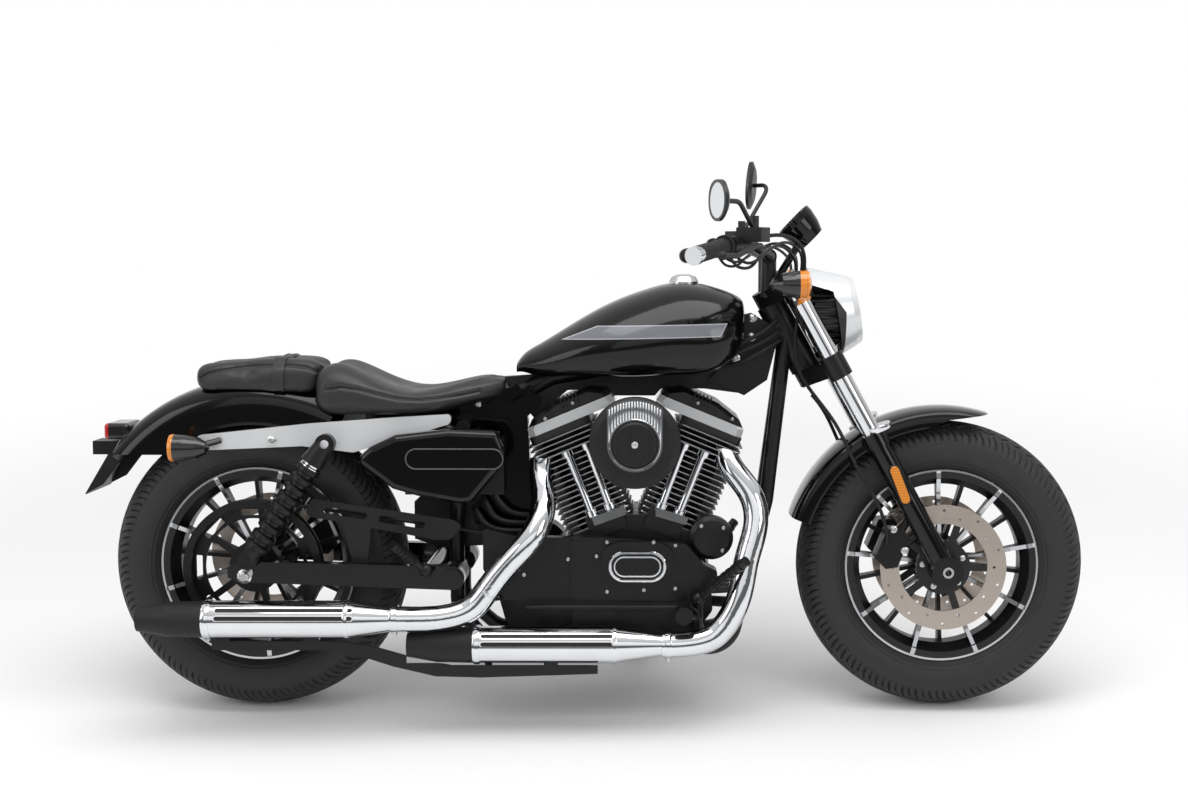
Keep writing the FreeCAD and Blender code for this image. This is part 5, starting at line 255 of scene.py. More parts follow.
# Zinc on forged steel: pale grey, in patches a few millimetres across.
zinc_steel = plain_finish("zinc_plated_steel", "#c4c5c6", "#d6d7d6", (0.22, 0.34),
                          patch_mm=8, grain_mm=0.8, depth_mm=0.01, Metallic=1.0)
print(len(bpy.data.materials), "finishes")

# %% Coats of the engine, the exhausts and the trim
# Stoved enamel on rough castings: black with a small wrinkle.
case_enamel = plain_finish("black_wrinkle_enamel", "#0a0a0b", "#111113", (0.3, 0.44),
                           patch_mm=30, grain_mm=1.4, depth_mm=0.05, Specular_IOR_Level=0.35)
# Ceramic coat on hot steel: black without shine.
matt_ceramic = plain_finish("matt_black_ceramic_coat", "#161617", "#1d1d1f", (0.5, 0.62),
                            patch_mm=50, grain_mm=1.5, depth_mm=0.04, Specular_IOR_Level=0.35)
# Painted shade: a strip darker than all that is round it stands for the shaded depth of a slot.
painted_slot_shade = plain_finish("painted_shade_in_the_slots", "#050505", "#0a0a0a", (0.5, 0.6),
                         patch_mm=20)
# Grey on a thin moulding: a painted highlight for light along the edge of a recess.
painted_highlight_grey = plain_finish("grey_moulding_painted_highlight", "#4c4d50", "#58595c", (0.25, 0.32))
print(len(bpy.data.materials), "finishes")

# %% Rubber, leather, thread and glass
# Rubber from a mould: dark grey and dull, with a slight bloom.
soft_rubber = plain_finish("moulded_black_rubber", "#101011", "#181819", (0.5, 0.66),
                           grain_mm=2.0, depth_mm=0.06, Specular_IOR_Level=0.35)
# Cowhide, for the two soft nodes that sewn leather replaces further below.
stock_leather = plain_finish("black_cowhide", "#111112", "#1a1a1b", (0.36, 0.5),
                             grain_mm=2.0, depth_mm=0.12, Specular_IOR_Level=0.5)
# Polyester thread: the grey of black thread in the light.
thread = plain_finish("black_polyester_thread", "#3c3c3e", "#4a4a4c", (0.5, 0.6), patch_mm=3,
                      grain_mm=0.6, depth_mm=0.05)
# Fluted glass over a bright reflector: pale, with sharp small highlights.
lamp_glass = plain_finish("fluted_lamp_glass_over_reflector", "#cfd4d8", "#eef1f3", (0.04, 0.08),
                          patch_mm=10, grain_mm=6, depth_mm=0.2, Metallic=0.85,
                          Coat_Weight=1.0, Coat_Roughness=0.01)
print(len(bpy.data.materials), "finishes")

# %% [markdown]
# ## Where on the machine a finish changes
# One casting often carries two finishes: black coat with turned edges, paint with a band. A
# finish can find its place by itself, when it measures in millimetres on the upright machine from
# a part's own centre. The Mapping node in Texture mode does that, because it undoes the lean.


# %% Places in the upright axes
def machine_place(tree, place, origin=(0, 0, 0)):
    """Millimetres forward, left and up from origin (metres) in the upright axes."""
    axes = BIKE @ Matrix.Translation(origin)
    local = add(tree, "ShaderNodeMapping", Vector=place, vector_type="TEXTURE",
                Location=axes.to_translation(), Rotation=axes.to_euler(), Scale=(MM, MM, MM))
    return add(tree, "split", local).node.outputs


def reach_from(tree, x, z):
    """How far a place is from the axle that x and z are measured from."""
    return add(tree, "length", add(tree, "ShaderNodeCombineXYZ", X=x, Z=z))


def two_finishes(tree, place, mask, first, second):
    """Colour, metal and roughness of two finishes for the shader; mask 1 shows the second."""
    drift = add(tree, "noise", place, Scale=spots(18), Detail=3.0)
    first_rough = add(tree, "range", drift, LOW_NOISE, HIGH_NOISE, first[2], first[2] * 1.25)
    metal = first[1]
    if second[1] != metal:
        metal = add(tree, "range", mask, 0.0, 1.0, metal, second[1])
    return {"Base_Color": add(tree, "colours", mask, screen_colour(first[0]),
                              screen_colour(second[0])),
            "Metallic": metal, "Roughness": add(tree, "numbers", mask, first_rough, second[2])}


print("front axle in the world", [round(v, 4) for v in BIKE @ Vector(FRONT_AXLE)])

# %% [markdown]
# ## Wheels
# The real wheels are cast in aluminium, coated satin black all over, and then turned on a lathe, so
# that only the outer faces of the spokes and the very edge of the rim are bare and bright. The
# finish knows each spoke's angle, so the bright face stops where the spoke does.

# %% Wheel finish
SPOKE_PITCH = math.radians(40)
SPOKE_INNER, SPOKE_BEND, SPOKE_OUTER = 35.0, 159.0, 213.0
HUB_REACH, RIM_EDGE = 58.0, 211.5
HALF_BRIGHT = 4.9


def cast_wheel_finish(name, axle, half_width, start):
    """Black casting with bright spoke faces; start is one spoke's angle in degrees."""
    made, tree, place = new_finish(name)
    x, y, z = machine_place(tree, place, axle)
    reach = reach_from(tree, x, z)
    low_line = add(tree, "range", reach, SPOKE_INNER, SPOKE_BEND, half_width * 0.6,
                   half_width * 0.74, clamp=False)
    high_line = add(tree, "range", reach, SPOKE_BEND, SPOKE_OUTER, half_width * 0.74,
                    half_width + 1.2, clamp=False)
    face = add(tree, "maximum", low_line, high_line)
    behind = add(tree, "subtract", add(tree, "absolute", y), face)
    on_face = add(tree, "greater_than", behind, -0.9)
    left_turn = add(tree, "multiply", add(tree, "greater_than", y, 0.0), SPOKE_PITCH / 2)
    angle = add(tree, "subtract", add(tree, "arctan2", z, x), math.radians(start))
    turns = add(tree, "divide", add(tree, "subtract", angle, left_turn), SPOKE_PITCH)
    off = add(tree, "multiply", add(tree, "pingpong", turns, 0.5), SPOKE_PITCH)
    on_spoke = add(tree, "less_than", add(tree, "multiply", off, reach), HALF_BRIGHT)
    outside_hub = add(tree, "greater_than", reach, HUB_REACH)
    bright = add(tree, "multiply", add(tree, "multiply", on_face, on_spoke), outside_hub)
    bright = add(tree, "maximum", bright, add(tree, "greater_than", reach, RIM_EDGE))
    grain = add(tree, "noise", place, Scale=spots(1.2), Detail=2.0)
    close_finish(tree, Normal=add(tree, "bump", Distance=0.02 * MM, Height=grain), **two_finishes(
        tree, place, bright, ("#0d0d0f", 0.0, 0.34), ("#c9cbce", 1.0, 0.2)))
    return made


front_casting = cast_wheel_finish("turned_black_casting_front", FRONT_AXLE, 46, 12.6)
rear_casting = cast_wheel_finish("turned_black_casting_rear", REAR_AXLE, 54, 35.6)
print(front_casting.name, rear_casting.name)

# %% [markdown]
# ## Brake discs
# The friction rings are stainless steel, ground in rings and warmed to a straw tint by use, on
# black carriers. The grinding is too fine to show, so it is drawn a few times coarser.

# %% Disc finish
CARRIER_REACH = 97.5


def disc_finish(name, axle):
    """Ring-ground steel outside the carrier, black coat inside."""
    made, tree, place = new_finish(name)
    x, y, z = machine_place(tree, place, axle)
    reach = reach_from(tree, x, z)
    rings = add(tree, "noise", W=reach, noise_dimensions="1D", Scale=1.3, Detail=2.0)
    ground = add(tree, "bump", Strength=0.6, Distance=0.05 * MM, Height=rings)
    carrier = add(tree, "less_than", reach, CARRIER_REACH)
    close_finish(tree, Normal=ground, **two_finishes(
        tree, place, carrier, ("#c6bbb1", 1.0, 0.27), ("#121214", 0.0, 0.4)))
    return made


front_disc_steel = disc_finish("ring_ground_steel_front", FRONT_AXLE)
rear_disc_steel = disc_finish("ring_ground_steel_rear", REAR_AXLE)
print(front_disc_steel.name, rear_disc_steel.name)

# %% [markdown]
# ## Tyres
# A road tyre is moulded rubber: dark and a little shiny on its walls, which have low rings, and
# paler where the crown has run on the road. The grooves are a shape, made further below.

# %% Tyre finish
FRONT_RADIUS, REAR_RADIUS = 321.5, 326.0
WALL_RINGS = (228.0, 236.0)
SHOULDER_RING = 44.0


def tyre_finish(name, axle, radius):
    """Black rubber with wall rings and a paler crown, for a tyre of this radius in mm."""
    made, tree, place = new_finish(name)
    x, y, z = machine_place(tree, place, axle)
    reach = reach_from(tree, x, z)
    ring = 0.0
    for at in (*WALL_RINGS, radius - SHOULDER_RING):
        away = add(tree, "absolute", add(tree, "subtract", reach, at))
        ring = add(tree, "maximum", ring, add(tree, "range", away, 0.8, 1.8, 1.0, 0.0))
    patch = add(tree, "noise", place, Scale=spots(30), Detail=3.0)
    worn = add(tree, "range", reach, radius - 6.0, radius - 2.0, 0.0, 1.0)
    rubber = add(tree, "colours", patch, screen_colour("#1d1d1e"), screen_colour("#262627"))
    grain = add(tree, "noise", place, Scale=spots(1.5), Detail=2.0)
    fine = add(tree, "bump", Strength=0.5, Distance=0.04 * MM, Height=grain)
    close_finish(
        tree, Base_Color=add(tree, "colours", worn, rubber, screen_colour("#2e2e2f")),
        Roughness=add(tree, "range", patch, LOW_NOISE, HIGH_NOISE, 0.55, 0.7),
        Normal=add(tree, "bump", Distance=0.8 * MM, Height=ring, Normal=fine))
    return made


front_rubber = tyre_finish("treaded_rubber_front", FRONT_AXLE, FRONT_RADIUS)
rear_rubber = tyre_finish("treaded_rubber_rear", REAR_AXLE, REAR_RADIUS)
print(front_rubber.name, rear_rubber.name)

# %% [markdown]
# ## Engine
# The cylinders and heads are cast aluminium in black enamel, and the edges of the cooling fins are
# milled bare after painting, which draws bright lines round them. The finish measures up each
# cylinder's own axis, which leans half of the vee's angle from upright. Each rocker box is a black
# dome on a bright band, which is polished before the dome is bolted on.


# %% Up the cylinders
def cylinder_place(tree, place):
    """Millimetres up a cylinder's axis from the crank, across it, and to the left."""
    x, y, z = machine_place(tree, place, CRANK)
    out = add(tree, "absolute", x)
    up = add(tree, "add", add(tree, "multiply", out, math.sin(HALF_VEE)),
             add(tree, "multiply", z, math.cos(HALF_VEE)))
    across = add(tree, "subtract", add(tree, "multiply", out, math.cos(HALF_VEE)),
                 add(tree, "multiply", z, math.sin(HALF_VEE)))
    return up, across, y


# %% Fin finish
CORNER = 18.0
HALF_LONG, HALF_BARREL, HALF_HEAD = 80.0 - CORNER, 76.0 - CORNER, 94.0 - CORNER
HEAD_UP = 384.0

fin_enamel, tree, place = new_finish("black_enamel_with_milled_fin_edges")
up, across, left = cylinder_place(tree, place)
half_side = add(tree, "range", up, HEAD_UP, HEAD_UP + 1, HALF_BARREL, HALF_HEAD)
beyond_long = add(tree, "subtract", add(tree, "absolute", across), HALF_LONG)
beyond_side = add(tree, "subtract", add(tree, "absolute", left), half_side)
corner = add(tree, "ShaderNodeCombineXYZ", X=add(tree, "maximum", beyond_long, 0.0),
             Y=add(tree, "maximum", beyond_side, 0.0))
milled = add(tree, "range", add(tree, "length", corner), CORNER - 1.6, CORNER - 1.0, 0.0, 1.0)
grain = add(tree, "noise", place, Scale=spots(1.4), Detail=2.0)
close_finish(tree, Normal=add(tree, "bump", Distance=0.05 * MM, Height=grain), **two_finishes(
    tree, place, milled, ("#0e0e10", 0.0, 0.42), ("#b4b6b9", 1.0, 0.26)))
print(fin_enamel.name)

# %% Rocker finish
BAND_TOP, GROOVE_UP = 462.0, 463.5

rocker_enamel, tree, place = new_finish("black_enamel_over_polished_band")
up, across, left = cylinder_place(tree, place)
band = add(tree, "range", up, BAND_TOP, BAND_TOP + 0.6, 1.0, 0.0)
away = add(tree, "absolute", add(tree, "subtract", up, GROOVE_UP))
grain = add(tree, "noise", place, Scale=spots(1.4), Detail=2.0)
fine = add(tree, "bump", Distance=0.04 * MM, Height=grain)
groove = add(tree, "bump", Distance=1.0 * MM, Height=add(tree, "range", away, 0.6, 1.4, 1.0, 0.0),
             Normal=fine, invert=True)
close_finish(tree, Normal=groove, **two_finishes(
    tree, place, band, ("#09090a", 0.0, 0.3), ("#e2e4e6", 0.5, 0.16)))
print(rocker_enamel.name)

# %% [markdown]
# ## Tank paint
# The tank is steel under black enamel and clear lacquer. A plain grey band with a thin paler
# edge lies on each side, pointed at the rear and cut aslant at the front. Each edge of the band is
# a half plane; the smallest of the distances to them is how far inside the band a place is.

# %% Tank finish
BAND_CORNERS = [(-5, 860), (278, 866), (263, 837), (-87, 828)]
BAND_EDGE = 2.0
BAND_LEAST_SIDE = 60.0

tank_enamel, tree, place = new_finish("black_enamel_with_grey_band")
local = machine_place(tree, place)
inside = add(tree, "subtract", add(tree, "absolute", local["Y"]), BAND_LEAST_SIDE)
for start, end in zip(BAND_CORNERS, BAND_CORNERS[1:] + BAND_CORNERS[:1]):
    run = Vector(end) - Vector(start)
    normal = Vector((run.y, -run.x)).normalized()
    along = add(tree, "add", add(tree, "multiply", local["X"], normal.x),
                add(tree, "multiply", local["Z"], normal.y))
    distance = add(tree, "subtract", along, normal.dot(Vector(start)))
    inside = add(tree, "minimum", inside, distance)
patch = add(tree, "noise", place, Scale=spots(120), Detail=3.0)
cloud = add(tree, "noise", place, Scale=spots(90), Detail=3.0)
ripple = add(tree, "noise", place, Scale=spots(8), Detail=2.0)
black = add(tree, "colours", patch, screen_colour("#050506"), screen_colour("#09090b"))
edge = add(tree, "colours", add(tree, "range", inside, 0.0, 0.5, 0.0, 1.0), black,
           screen_colour("#a6a8ac"))
in_middle = add(tree, "range", inside, BAND_EDGE, BAND_EDGE + 0.5, 0.0, 1.0)
close_finish(
    tree, Base_Color=add(tree, "colours", in_middle, edge, screen_colour("#6f7176")),
    Roughness=add(tree, "range", cloud, LOW_NOISE, HIGH_NOISE, 0.14, 0.19),
    Normal=add(tree, "bump", Distance=0.004 * MM, Height=ripple),
    Specular_IOR_Level=0.2, Coat_Weight=0.35, Coat_Roughness=0.03)
print(tank_enamel.name, "with", len(BAND_CORNERS), "band edges")

# %% [markdown]
# ## Lamps
# Signal bodies are black with an amber lens at the open end, and the tail lamp is red. A lens is
# moulded acrylic with fine ribs inside, so it looks bright, smooth outside and grooved inside; on
# the reflectors the ribs are also painted into the colour, as painted shade in each hollow and
# painted highlight on each crest.


# %% Lamp finishes
def lens_end_finish(name, lens_from, lens_to, lens_colour):
    """Black gloss body; the lens colour starts at one x and is full at the other."""
    made, tree, place = new_finish(name)
    lens = add(tree, "range", machine_place(tree, place)["X"], lens_from, lens_to, 0.0, 1.0)
    close_finish(tree, Coat_Weight=0.5, Coat_Roughness=0.03, **two_finishes(
        tree, place, lens, ("#0a0a0c", 0.0, 0.2), (lens_colour, 0.0, 0.1)))
    return made


AMBER = "#d9811f"
front_signal_gloss = lens_end_finish("black_bullet_with_amber_lens_front", 427.0, 428.0, AMBER)
rear_signal_gloss = lens_end_finish("black_bullet_with_amber_lens_rear", -906.0, -907.0, AMBER)
red_acrylic = lens_end_finish("tail_lamp_with_red_acrylic", -1089.0, -1090.0, "#b3151c")
print(front_signal_gloss.name, rear_signal_gloss.name, red_acrylic.name)

# %% Reflector finish
LENS_RIB = 3.0

amber_acrylic, tree, place = new_finish("ribbed_amber_acrylic_with_painted_rib_shade")
ribs = add(tree, "pingpong", machine_place(tree, place)["Z"], LENS_RIB)
# painted shade and highlight: the colour is darker in each rib's hollow and paler on its crest
close_finish(
    tree, Roughness=0.08, Coat_Weight=1.0, Coat_Roughness=0.02,
    Base_Color=add(tree, "colours", add(tree, "range", ribs, 0.0, LENS_RIB, 0.0, 1.0),
                   screen_colour("#c2700c"), screen_colour("#e08a10")),
    Normal=add(tree, "bump", Strength=0.4, Distance=0.3 * MM, Height=ribs))
print(amber_acrylic.name)

# %% [markdown]
# ## Mirrors
# The glass of a mirror is an ellipse let into the shell, and the shell stands round it as a dark
# rim. Its place comes from the corners of the CAD node, on the side of the machine it is on.

# %% Mirror finish
LEAST_HEAD_SIDE = 342
LEAST_HEAD_UP = {-1: 1060, 1: 1125}
GLASS_SHARE = 0.72


def upright_corners(node):
    """The corners of a CAD node in millimetres on the upright machine."""
    return [UPRIGHT_MM @ corner.co for corner in nodes[node].data.vertices]


mirror_black, tree, place = new_finish("black_shell_with_mirror_glass")
facing = add(tree, "split", add(tree, "ShaderNodeTexCoord").node.outputs["Normal"])
local = machine_place(tree, place)
within = 0.0
for hand, label in SIDES:
    head = [c for c in upright_corners("mirrors")
            if c.y * hand > LEAST_HEAD_SIDE and c.z > LEAST_HEAD_UP[hand]]
    squares = 0.0
    for k, axis in ((1, "Y"), (2, "Z")):
        low, high = min(c[k] for c in head), max(c[k] for c in head)
        share = add(tree, "divide", add(tree, "subtract", local[axis], (low + high) / 2),
                    (high - low) / 2)
        squares = add(tree, "add", squares, add(tree, "power", share, 2.0))
    within = add(tree, "maximum", within, add(tree, "less_than", squares, GLASS_SHARE))
    print(label, "mirror is from", round(low), "to", round(high), "mm up")
glass = add(tree, "multiply", add(tree, "less_than", facing, -0.9), within)
close_finish(tree, **two_finishes(
    tree, place, glass, ("#101012", 0.0, 0.4), ("#d8dcdf", 1.0, 0.03)))

# %% [markdown]
# ## Headlamp hood
# The hood is one silver visor over the lamp. Its sides below the visor line are black. Two slanted
# planes give that line, and the front face of the hood stays silver.

# %% Hood finish
VISOR_LINES = ((1588.0, 1.3), (1013.0, 0.15))
HOOD_FRONT = 538.0

hood_silver, tree, place = new_finish("silver_visor_with_black_sides")
x, y, z = machine_place(tree, place)
black_side = add(tree, "less_than", x, HOOD_FRONT)
for level, slope in VISOR_LINES:
    height = add(tree, "add", z, add(tree, "multiply", x, slope))
    black_side = add(tree, "multiply", black_side, add(tree, "less_than", height, level))
close_finish(tree, **two_finishes(
    tree, place, black_side, ("#dcdee0", 0.35, 0.22), ("#0e0e10", 0.0, 0.42)))
print(hood_silver.name)

# %% [markdown]
# ## Grips
# A grip is soft black rubber between a bright collar at the switches and a bright cap at its end.

# %% Grip finish
COLLAR, CAP_FROM = 9, 424.0

grip_inner = min(abs(corner.y) for corner in upright_corners("grips"))
grip_rubber, tree, place = new_finish("grip_rubber_with_bright_ends")
side = add(tree, "absolute", machine_place(tree, place)["Y"])
bright = add(tree, "maximum", add(tree, "greater_than", side, CAP_FROM),
             add(tree, "less_than", side, grip_inner + COLLAR))
close_finish(tree, **two_finishes(
    tree, place, bright, ("#141415", 0.0, 0.6), ("#d9dbde", 1.0, 0.08)))
print("grips begin", round(grip_inner), "mm from the middle")

# %% [markdown]
# ## Finishes of the CAD nodes
# Each solid that keeps its shape gets the finish of the real piece, by the name of its node.

# %% Finishes by node
for finish, names in (
    (gloss_enamel, "rear_fender front_fender side_covers headlamp_shell speedometer"),
    (gloss_enamel, "fork_sliders swingarm"),
    (tank_enamel, "fuel_tank"),
    (front_casting, "front_wheel"),
    (rear_casting, "rear_wheel"),
    (front_disc_steel, "front_discs"),
    (rear_disc_steel, "rear_disc"),
    (front_rubber, "front_tyre"),
    (rear_rubber, "rear_tyre"),
    (powder_coat, "frame fork_clamps side_stand shocks plate_bracket"),
    (powder_coat, "front_calipers rear_caliper rear_pulley handlebar footrests"),
    (moulded_plastic, "hand_controls belt_guard air_cleaner"),
    (mirror_black, "mirrors"),
    (chrome_plate, "exhaust_pipes fork_tubes pushrod_tubes air_cleaner_cover"),
    (polished_alloy, "fuel_cap"),
    (lamp_glass, "headlamp_lens"),
    (red_acrylic, "tail_lamp"),
    (front_signal_gloss, "front_signals"),
    (rear_signal_gloss, "rear_signals"),
    (satin_chrome, "fender_struts"),
    (hood_silver, "headlamp_hood"),
    (zinc_steel, "front_axle rear_axle"),
    (fin_enamel, "cylinders"),
    (rocker_enamel, "rocker_covers"),
    (case_enamel, "crankcase engine_covers"),
    (matt_ceramic, "silencer_ends"),
    (soft_rubber, "drive_belt front_hoses"),
    (grip_rubber, "grips"),
    (stock_leather, "rider_seat pillion_pad"),
):
    for name in names.split():
        data = nodes[name].data
        data.materials.clear()
        data.materials.append(finish)
print(len(nodes), "nodes have their finishes")

# %% [markdown]
# ## Helpers for new pieces
# New pieces are measured on the upright machine in millimetres, like the finishes. A ray sent in
# from one side of the machine finds the surface of a solid, so a bolt or a strip sits on what
# carries it instead of on a guessed depth.

# %% Where a surface is
searched = {}


def ray_tree(mesh):
    """A mesh ready for rays in millimetres on the upright machine."""
    return BVHTree.FromPolygons([UPRIGHT_MM @ corner.co for corner in mesh.vertices],
                                [face.vertices[:] for face in mesh.polygons])


def surface(node, x, z, side=-1):
    """The outermost place of a node on one side of the machine at x and z."""
    if node not in searched:
        searched[node] = ray_tree(nodes[node].data)
    hit = searched[node].ray_cast(Vector((x, side * 900, z)), Vector((0, -side, 0)))[0]
    if hit is None:
        hit = searched[node].find_nearest(Vector((x, side * 150, z)))[0]
        print("off the edge of", node, (x, z), [round(v) for v in hit])
    return hit


# %% From a mesh to a piece
SHARP_FROM = math.radians(35)


def finished(name, mesh, finish, slot, body="chassis"):
    """An object on a body, with one finish. The slot is not used."""
    mesh.name = name
    mesh.materials.clear()
    mesh.materials.append(finish)
    made = linked(name, mesh)
    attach(made, body)
    return made


def closed_mesh(name, points, faces):
    """A closed mesh with its faces outwards."""
    mesh = bpy.data.meshes.new(name)
    mesh.from_pydata(points, [], faces)
    shape = bmesh.new()
    shape.from_mesh(mesh)
    bmesh.ops.recalc_face_normals(shape, faces=shape.faces)
    shape.to_mesh(mesh)
    shape.free()
    return mesh


def solid(name, shape, finish, slot, body="chassis", smooth=True):
    """A piece from points in millimetres on the upright machine, and faces."""
    points, faces = shape
    mesh = closed_mesh(name, [BIKE_MM @ Vector(point) for point in points], faces)
    if smooth:
        mesh.shade_smooth()
        mesh.set_sharp_from_angle(angle=SHARP_FROM)
    return finished(name, mesh, finish, slot, body)


# %% [markdown]
# Most small shapes here are rings of points, each joined to the next: a rod, a band round a pipe,
# a moulding, a flat plate with chamfered edges. One function makes the faces of all of them.

# %% Rings of points
def skinned(rings, ends="joined"):
    """Points and faces of equal rings; its ends are joined, flat, or a ladder of small faces."""
    wide, total = len(rings[0]), len(rings)
    points = [point for ring in rings for point in ring]
    faces = [(k * wide + j, k * wide + (j + 1) % wide, (k + 1) % total * wide + (j + 1) % wide,
              (k + 1) % total * wide + j)
             for k in range(total if ends == "joined" else total - 1) for j in range(wide)]
    for base in (0, (total - 1) * wide):
        if ends == "flat":
            faces.append(tuple(range(base, base + wide)))
        elif ends == "ladder":
            faces += [(base + j, base + j + 1, base + wide - 2 - j, base + wide - 1 - j)
                      for j in range(wide // 2 - 1)]
    return points, faces


def spokes_round(axis, count):
    """Unit vectors all round an axis."""
    aside = axis.orthogonal().normalized()
    other = axis.cross(aside)
    return [aside * math.cos(math.tau * k / count) + other * math.sin(math.tau * k / count)
            for k in range(count)]


def turned_shape(start, direction, outline, count=32):
    """A solid turned round a line, from (along, radius) pairs that begin and end at 0."""
    axis = Vector(direction).normalized()
    points, rings = [], []
    for along, radius in outline:
        spokes = spokes_round(axis, count if radius else 1)
        rings.append(range(len(points), len(points) + len(spokes)))
        points += [Vector(start) + axis * along + spoke * radius for spoke in spokes]
    faces = []
    for low, high in zip(rings, rings[1:]):
        for k in range(count):
            corners = [low[k % len(low)], low[(k + 1) % len(low)],
                       high[(k + 1) % len(high)], high[k % len(high)]]
            faces.append(list(dict.fromkeys(corners)))
    return points, faces


def band_shape(start, direction, section, count):
    """A closed section of (along, reach) pairs turned round a line."""
    axis = Vector(direction).normalized()
    return skinned([[Vector(start) + axis * along + spoke * reach for along, reach in section]
                    for spoke in spokes_round(axis, count)])


print("rings, turned shapes and bands are ready")

# %% [markdown]
# ## One set of nodes for everything that repeats
# Bolts, ribs and stitches are one small shape many times over. Geometry Nodes put that shape on
# each point, turned along the point's own aim and scaled by its own size. The instances are then
# made real, because an export has no use for instances.

# %% Repeating nodes
REPEAT = bpy.data.node_groups.new("repeat_a_shape", "GeometryNodeTree")
for name, kind in (("Geometry", "Geometry"), ("Shape", "Object"), ("Size", "Float"),
                   ("Finish", "Material")):
    REPEAT.interface.new_socket(name, in_out="INPUT", socket_type="NodeSocket" + kind)
REPEAT.interface.new_socket("Geometry", in_out="OUTPUT", socket_type="NodeSocketGeometry")
given = add(REPEAT, "NodeGroupInput").node.outputs
shape = add(REPEAT, "GeometryNodeObjectInfo", Object=given["Shape"]).node.outputs["Geometry"]
first_turn = add(REPEAT, "FunctionNodeAlignRotationToVector", axis="Z",
                 Vector=add(REPEAT, "attribute", Name="aim"))
second_turn = add(REPEAT, "FunctionNodeAlignRotationToVector", axis="X", pivot_axis="Z",
                  Rotation=first_turn, Vector=add(REPEAT, "attribute", Name="along"))
scale = add(REPEAT, "ShaderNodeVectorMath", add(REPEAT, "attribute", Name="size"),
            operation="SCALE", Scale=given["Size"])
placed = add(REPEAT, "GeometryNodeInstanceOnPoints", Points=given["Geometry"], Instance=shape,
             Rotation=second_turn, Scale=scale)
real = add(REPEAT, "GeometryNodeRealizeInstances", placed)
add(REPEAT, "NodeGroupOutput", Geometry=add(
    REPEAT, "GeometryNodeSetMaterial", Geometry=real, Material=given["Finish"]))
print(REPEAT.name, "has", len(REPEAT.nodes), "nodes")


# %% A repeated piece
def evaluated_mesh(holder):
    ready = holder.evaluated_get(bpy.context.evaluated_depsgraph_get())
    return bpy.data.meshes.new_from_object(ready)


def repeated(name, shape, places, finish, slot, body="chassis"):
    """The shape at each (point, aim, along, (x, y, z) size) of places, in millimetres."""
    seeds = bpy.data.meshes.new(name + "_seeds")
    seeds.from_pydata([BIKE_MM @ Vector(place[0]) for place in places], [], [])
    for index, label in ((1, "aim"), (2, "along"), (3, "size")):
        values = seeds.attributes.new(label, "FLOAT_VECTOR", "POINT")
        for value, place in zip(values.data, places):
            vector = Vector(place[index])
            value.vector = vector if label == "size" else BIKE.to_3x3() @ vector
    holder = linked(name + "_seeds", seeds)
    change = holder.modifiers.new("repeat", "NODES")
    change.node_group = REPEAT
    wanted = {"Shape": shape, "Size": MM, "Finish": finish}
    for item in REPEAT.interface.items_tree:
        if item.in_out == "INPUT" and item.name in wanted:
            change[item.identifier] = wanted[item.name]
    mesh = evaluated_mesh(holder)
    holder.modifiers.remove(change)
    bpy.data.objects.remove(holder)
    print(name, len(places), "places,", len(mesh.polygons), "faces")
    return finished(name, mesh, finish, slot, body)


# %% [markdown]
# The small shapes that repeat are about one unit in size and stay out of the picture: two bolt
# heads, a stitch, and three ribs of different section.

# %% Shapes that repeat
def unit_shape(name, shape, smooth=False):
    mesh = closed_mesh(name, *shape)
    if smooth:
        mesh.shade_smooth()
    return bpy.data.objects.new(name, mesh)


UP, FORWARD, OUT_RIGHT = (0, 0, 1), (1, 0, 0), (0, -1, 0)
socket_head = unit_shape("socket_head", turned_shape((0, 0, -0.6), UP, [
    (0, 0), (0, 1), (1.3, 1), (1.45, 0.86), (1.45, 0.52), (1.0, 0.5), (1.0, 0)], 12))
flange_head = unit_shape("flange_head", turned_shape((0, 0, -0.6), UP, [
    (0, 0), (0, 1.25), (0.75, 1.25), (0.9, 0.9), (1.5, 0.82), (1.6, 0.66), (1.6, 0)], 12))
plated_rib = unit_shape("plated_rib", turned_shape((0, 0, 0), UP, [
    (0, 0), (0, 0.7), (0.04, 1.0), (0.96, 1.0), (1.0, 0.7), (1.0, 0)], 10), smooth=True)
stitch = unit_shape("stitch", turned_shape((-0.5, 0, 0), FORWARD, [
    (0, 0), (0.06, 0.13), (0.2, 0.18), (0.8, 0.18), (0.94, 0.13), (1.0, 0)], 6), smooth=True)
bar = unit_shape("bar", turned_shape((-0.5, 0, 0), FORWARD, [
    (0, 0), (0.01, 0.3), (0.05, 0.5), (0.95, 0.5), (0.99, 0.3), (1, 0)], 8), smooth=True)
flat_rib = unit_shape("flat_rib", skinned([
    [(-w, -w, z), (w, -w, z), (w, w, z), (-w, w, z)] for w, z in ((0.5, 0), (0.4, 1))], "flat"))
print("unit shapes", [made.name for made in (socket_head, flange_head, plated_rib, stitch, bar,
                                             flat_rib)])

# %% [markdown]
# ## Bolts
# Bright socket-head bolts hold the black covers of the engine, the brake and the wheel hubs, and
# they give the dark castings their scale. Each is placed where it is on the machine, and its
# depth comes from the surface it clamps.


# %% Bolts
def bolts(name, node, spread, radius, head=socket_head, body="chassis", side=-1):
    """Bolt heads on a node at each x and z of spread."""
    places = [(surface(node, x, z, side), (0, side, 0), FORWARD, (radius,) * 3)
              for x, z in spread]
    return repeated(name, head, places, zinc_steel, "steel", body)


bolts("cam_cover_bolts", "engine_covers", (
    (17, 392), (118, 393), (165, 385), (-6, 361), (-68, 353), (-164, 319), (17, 283),
    (97, 287), (165, 290)), 4.2)
bolts("filter_cover_bolts", "engine_covers", ((222, 424), (270, 420), (268, 370)), 4.2)
bolts("caliper_bolts", "front_calipers", ((645, 413), (670, 365)), 6.5, flange_head, "steering")

# %% Disc carrier bolts
CARRIER_BOLT_REACH = 47
CARRIER_BOLT_ANGLES = (27, 99, 171, 243, 315)

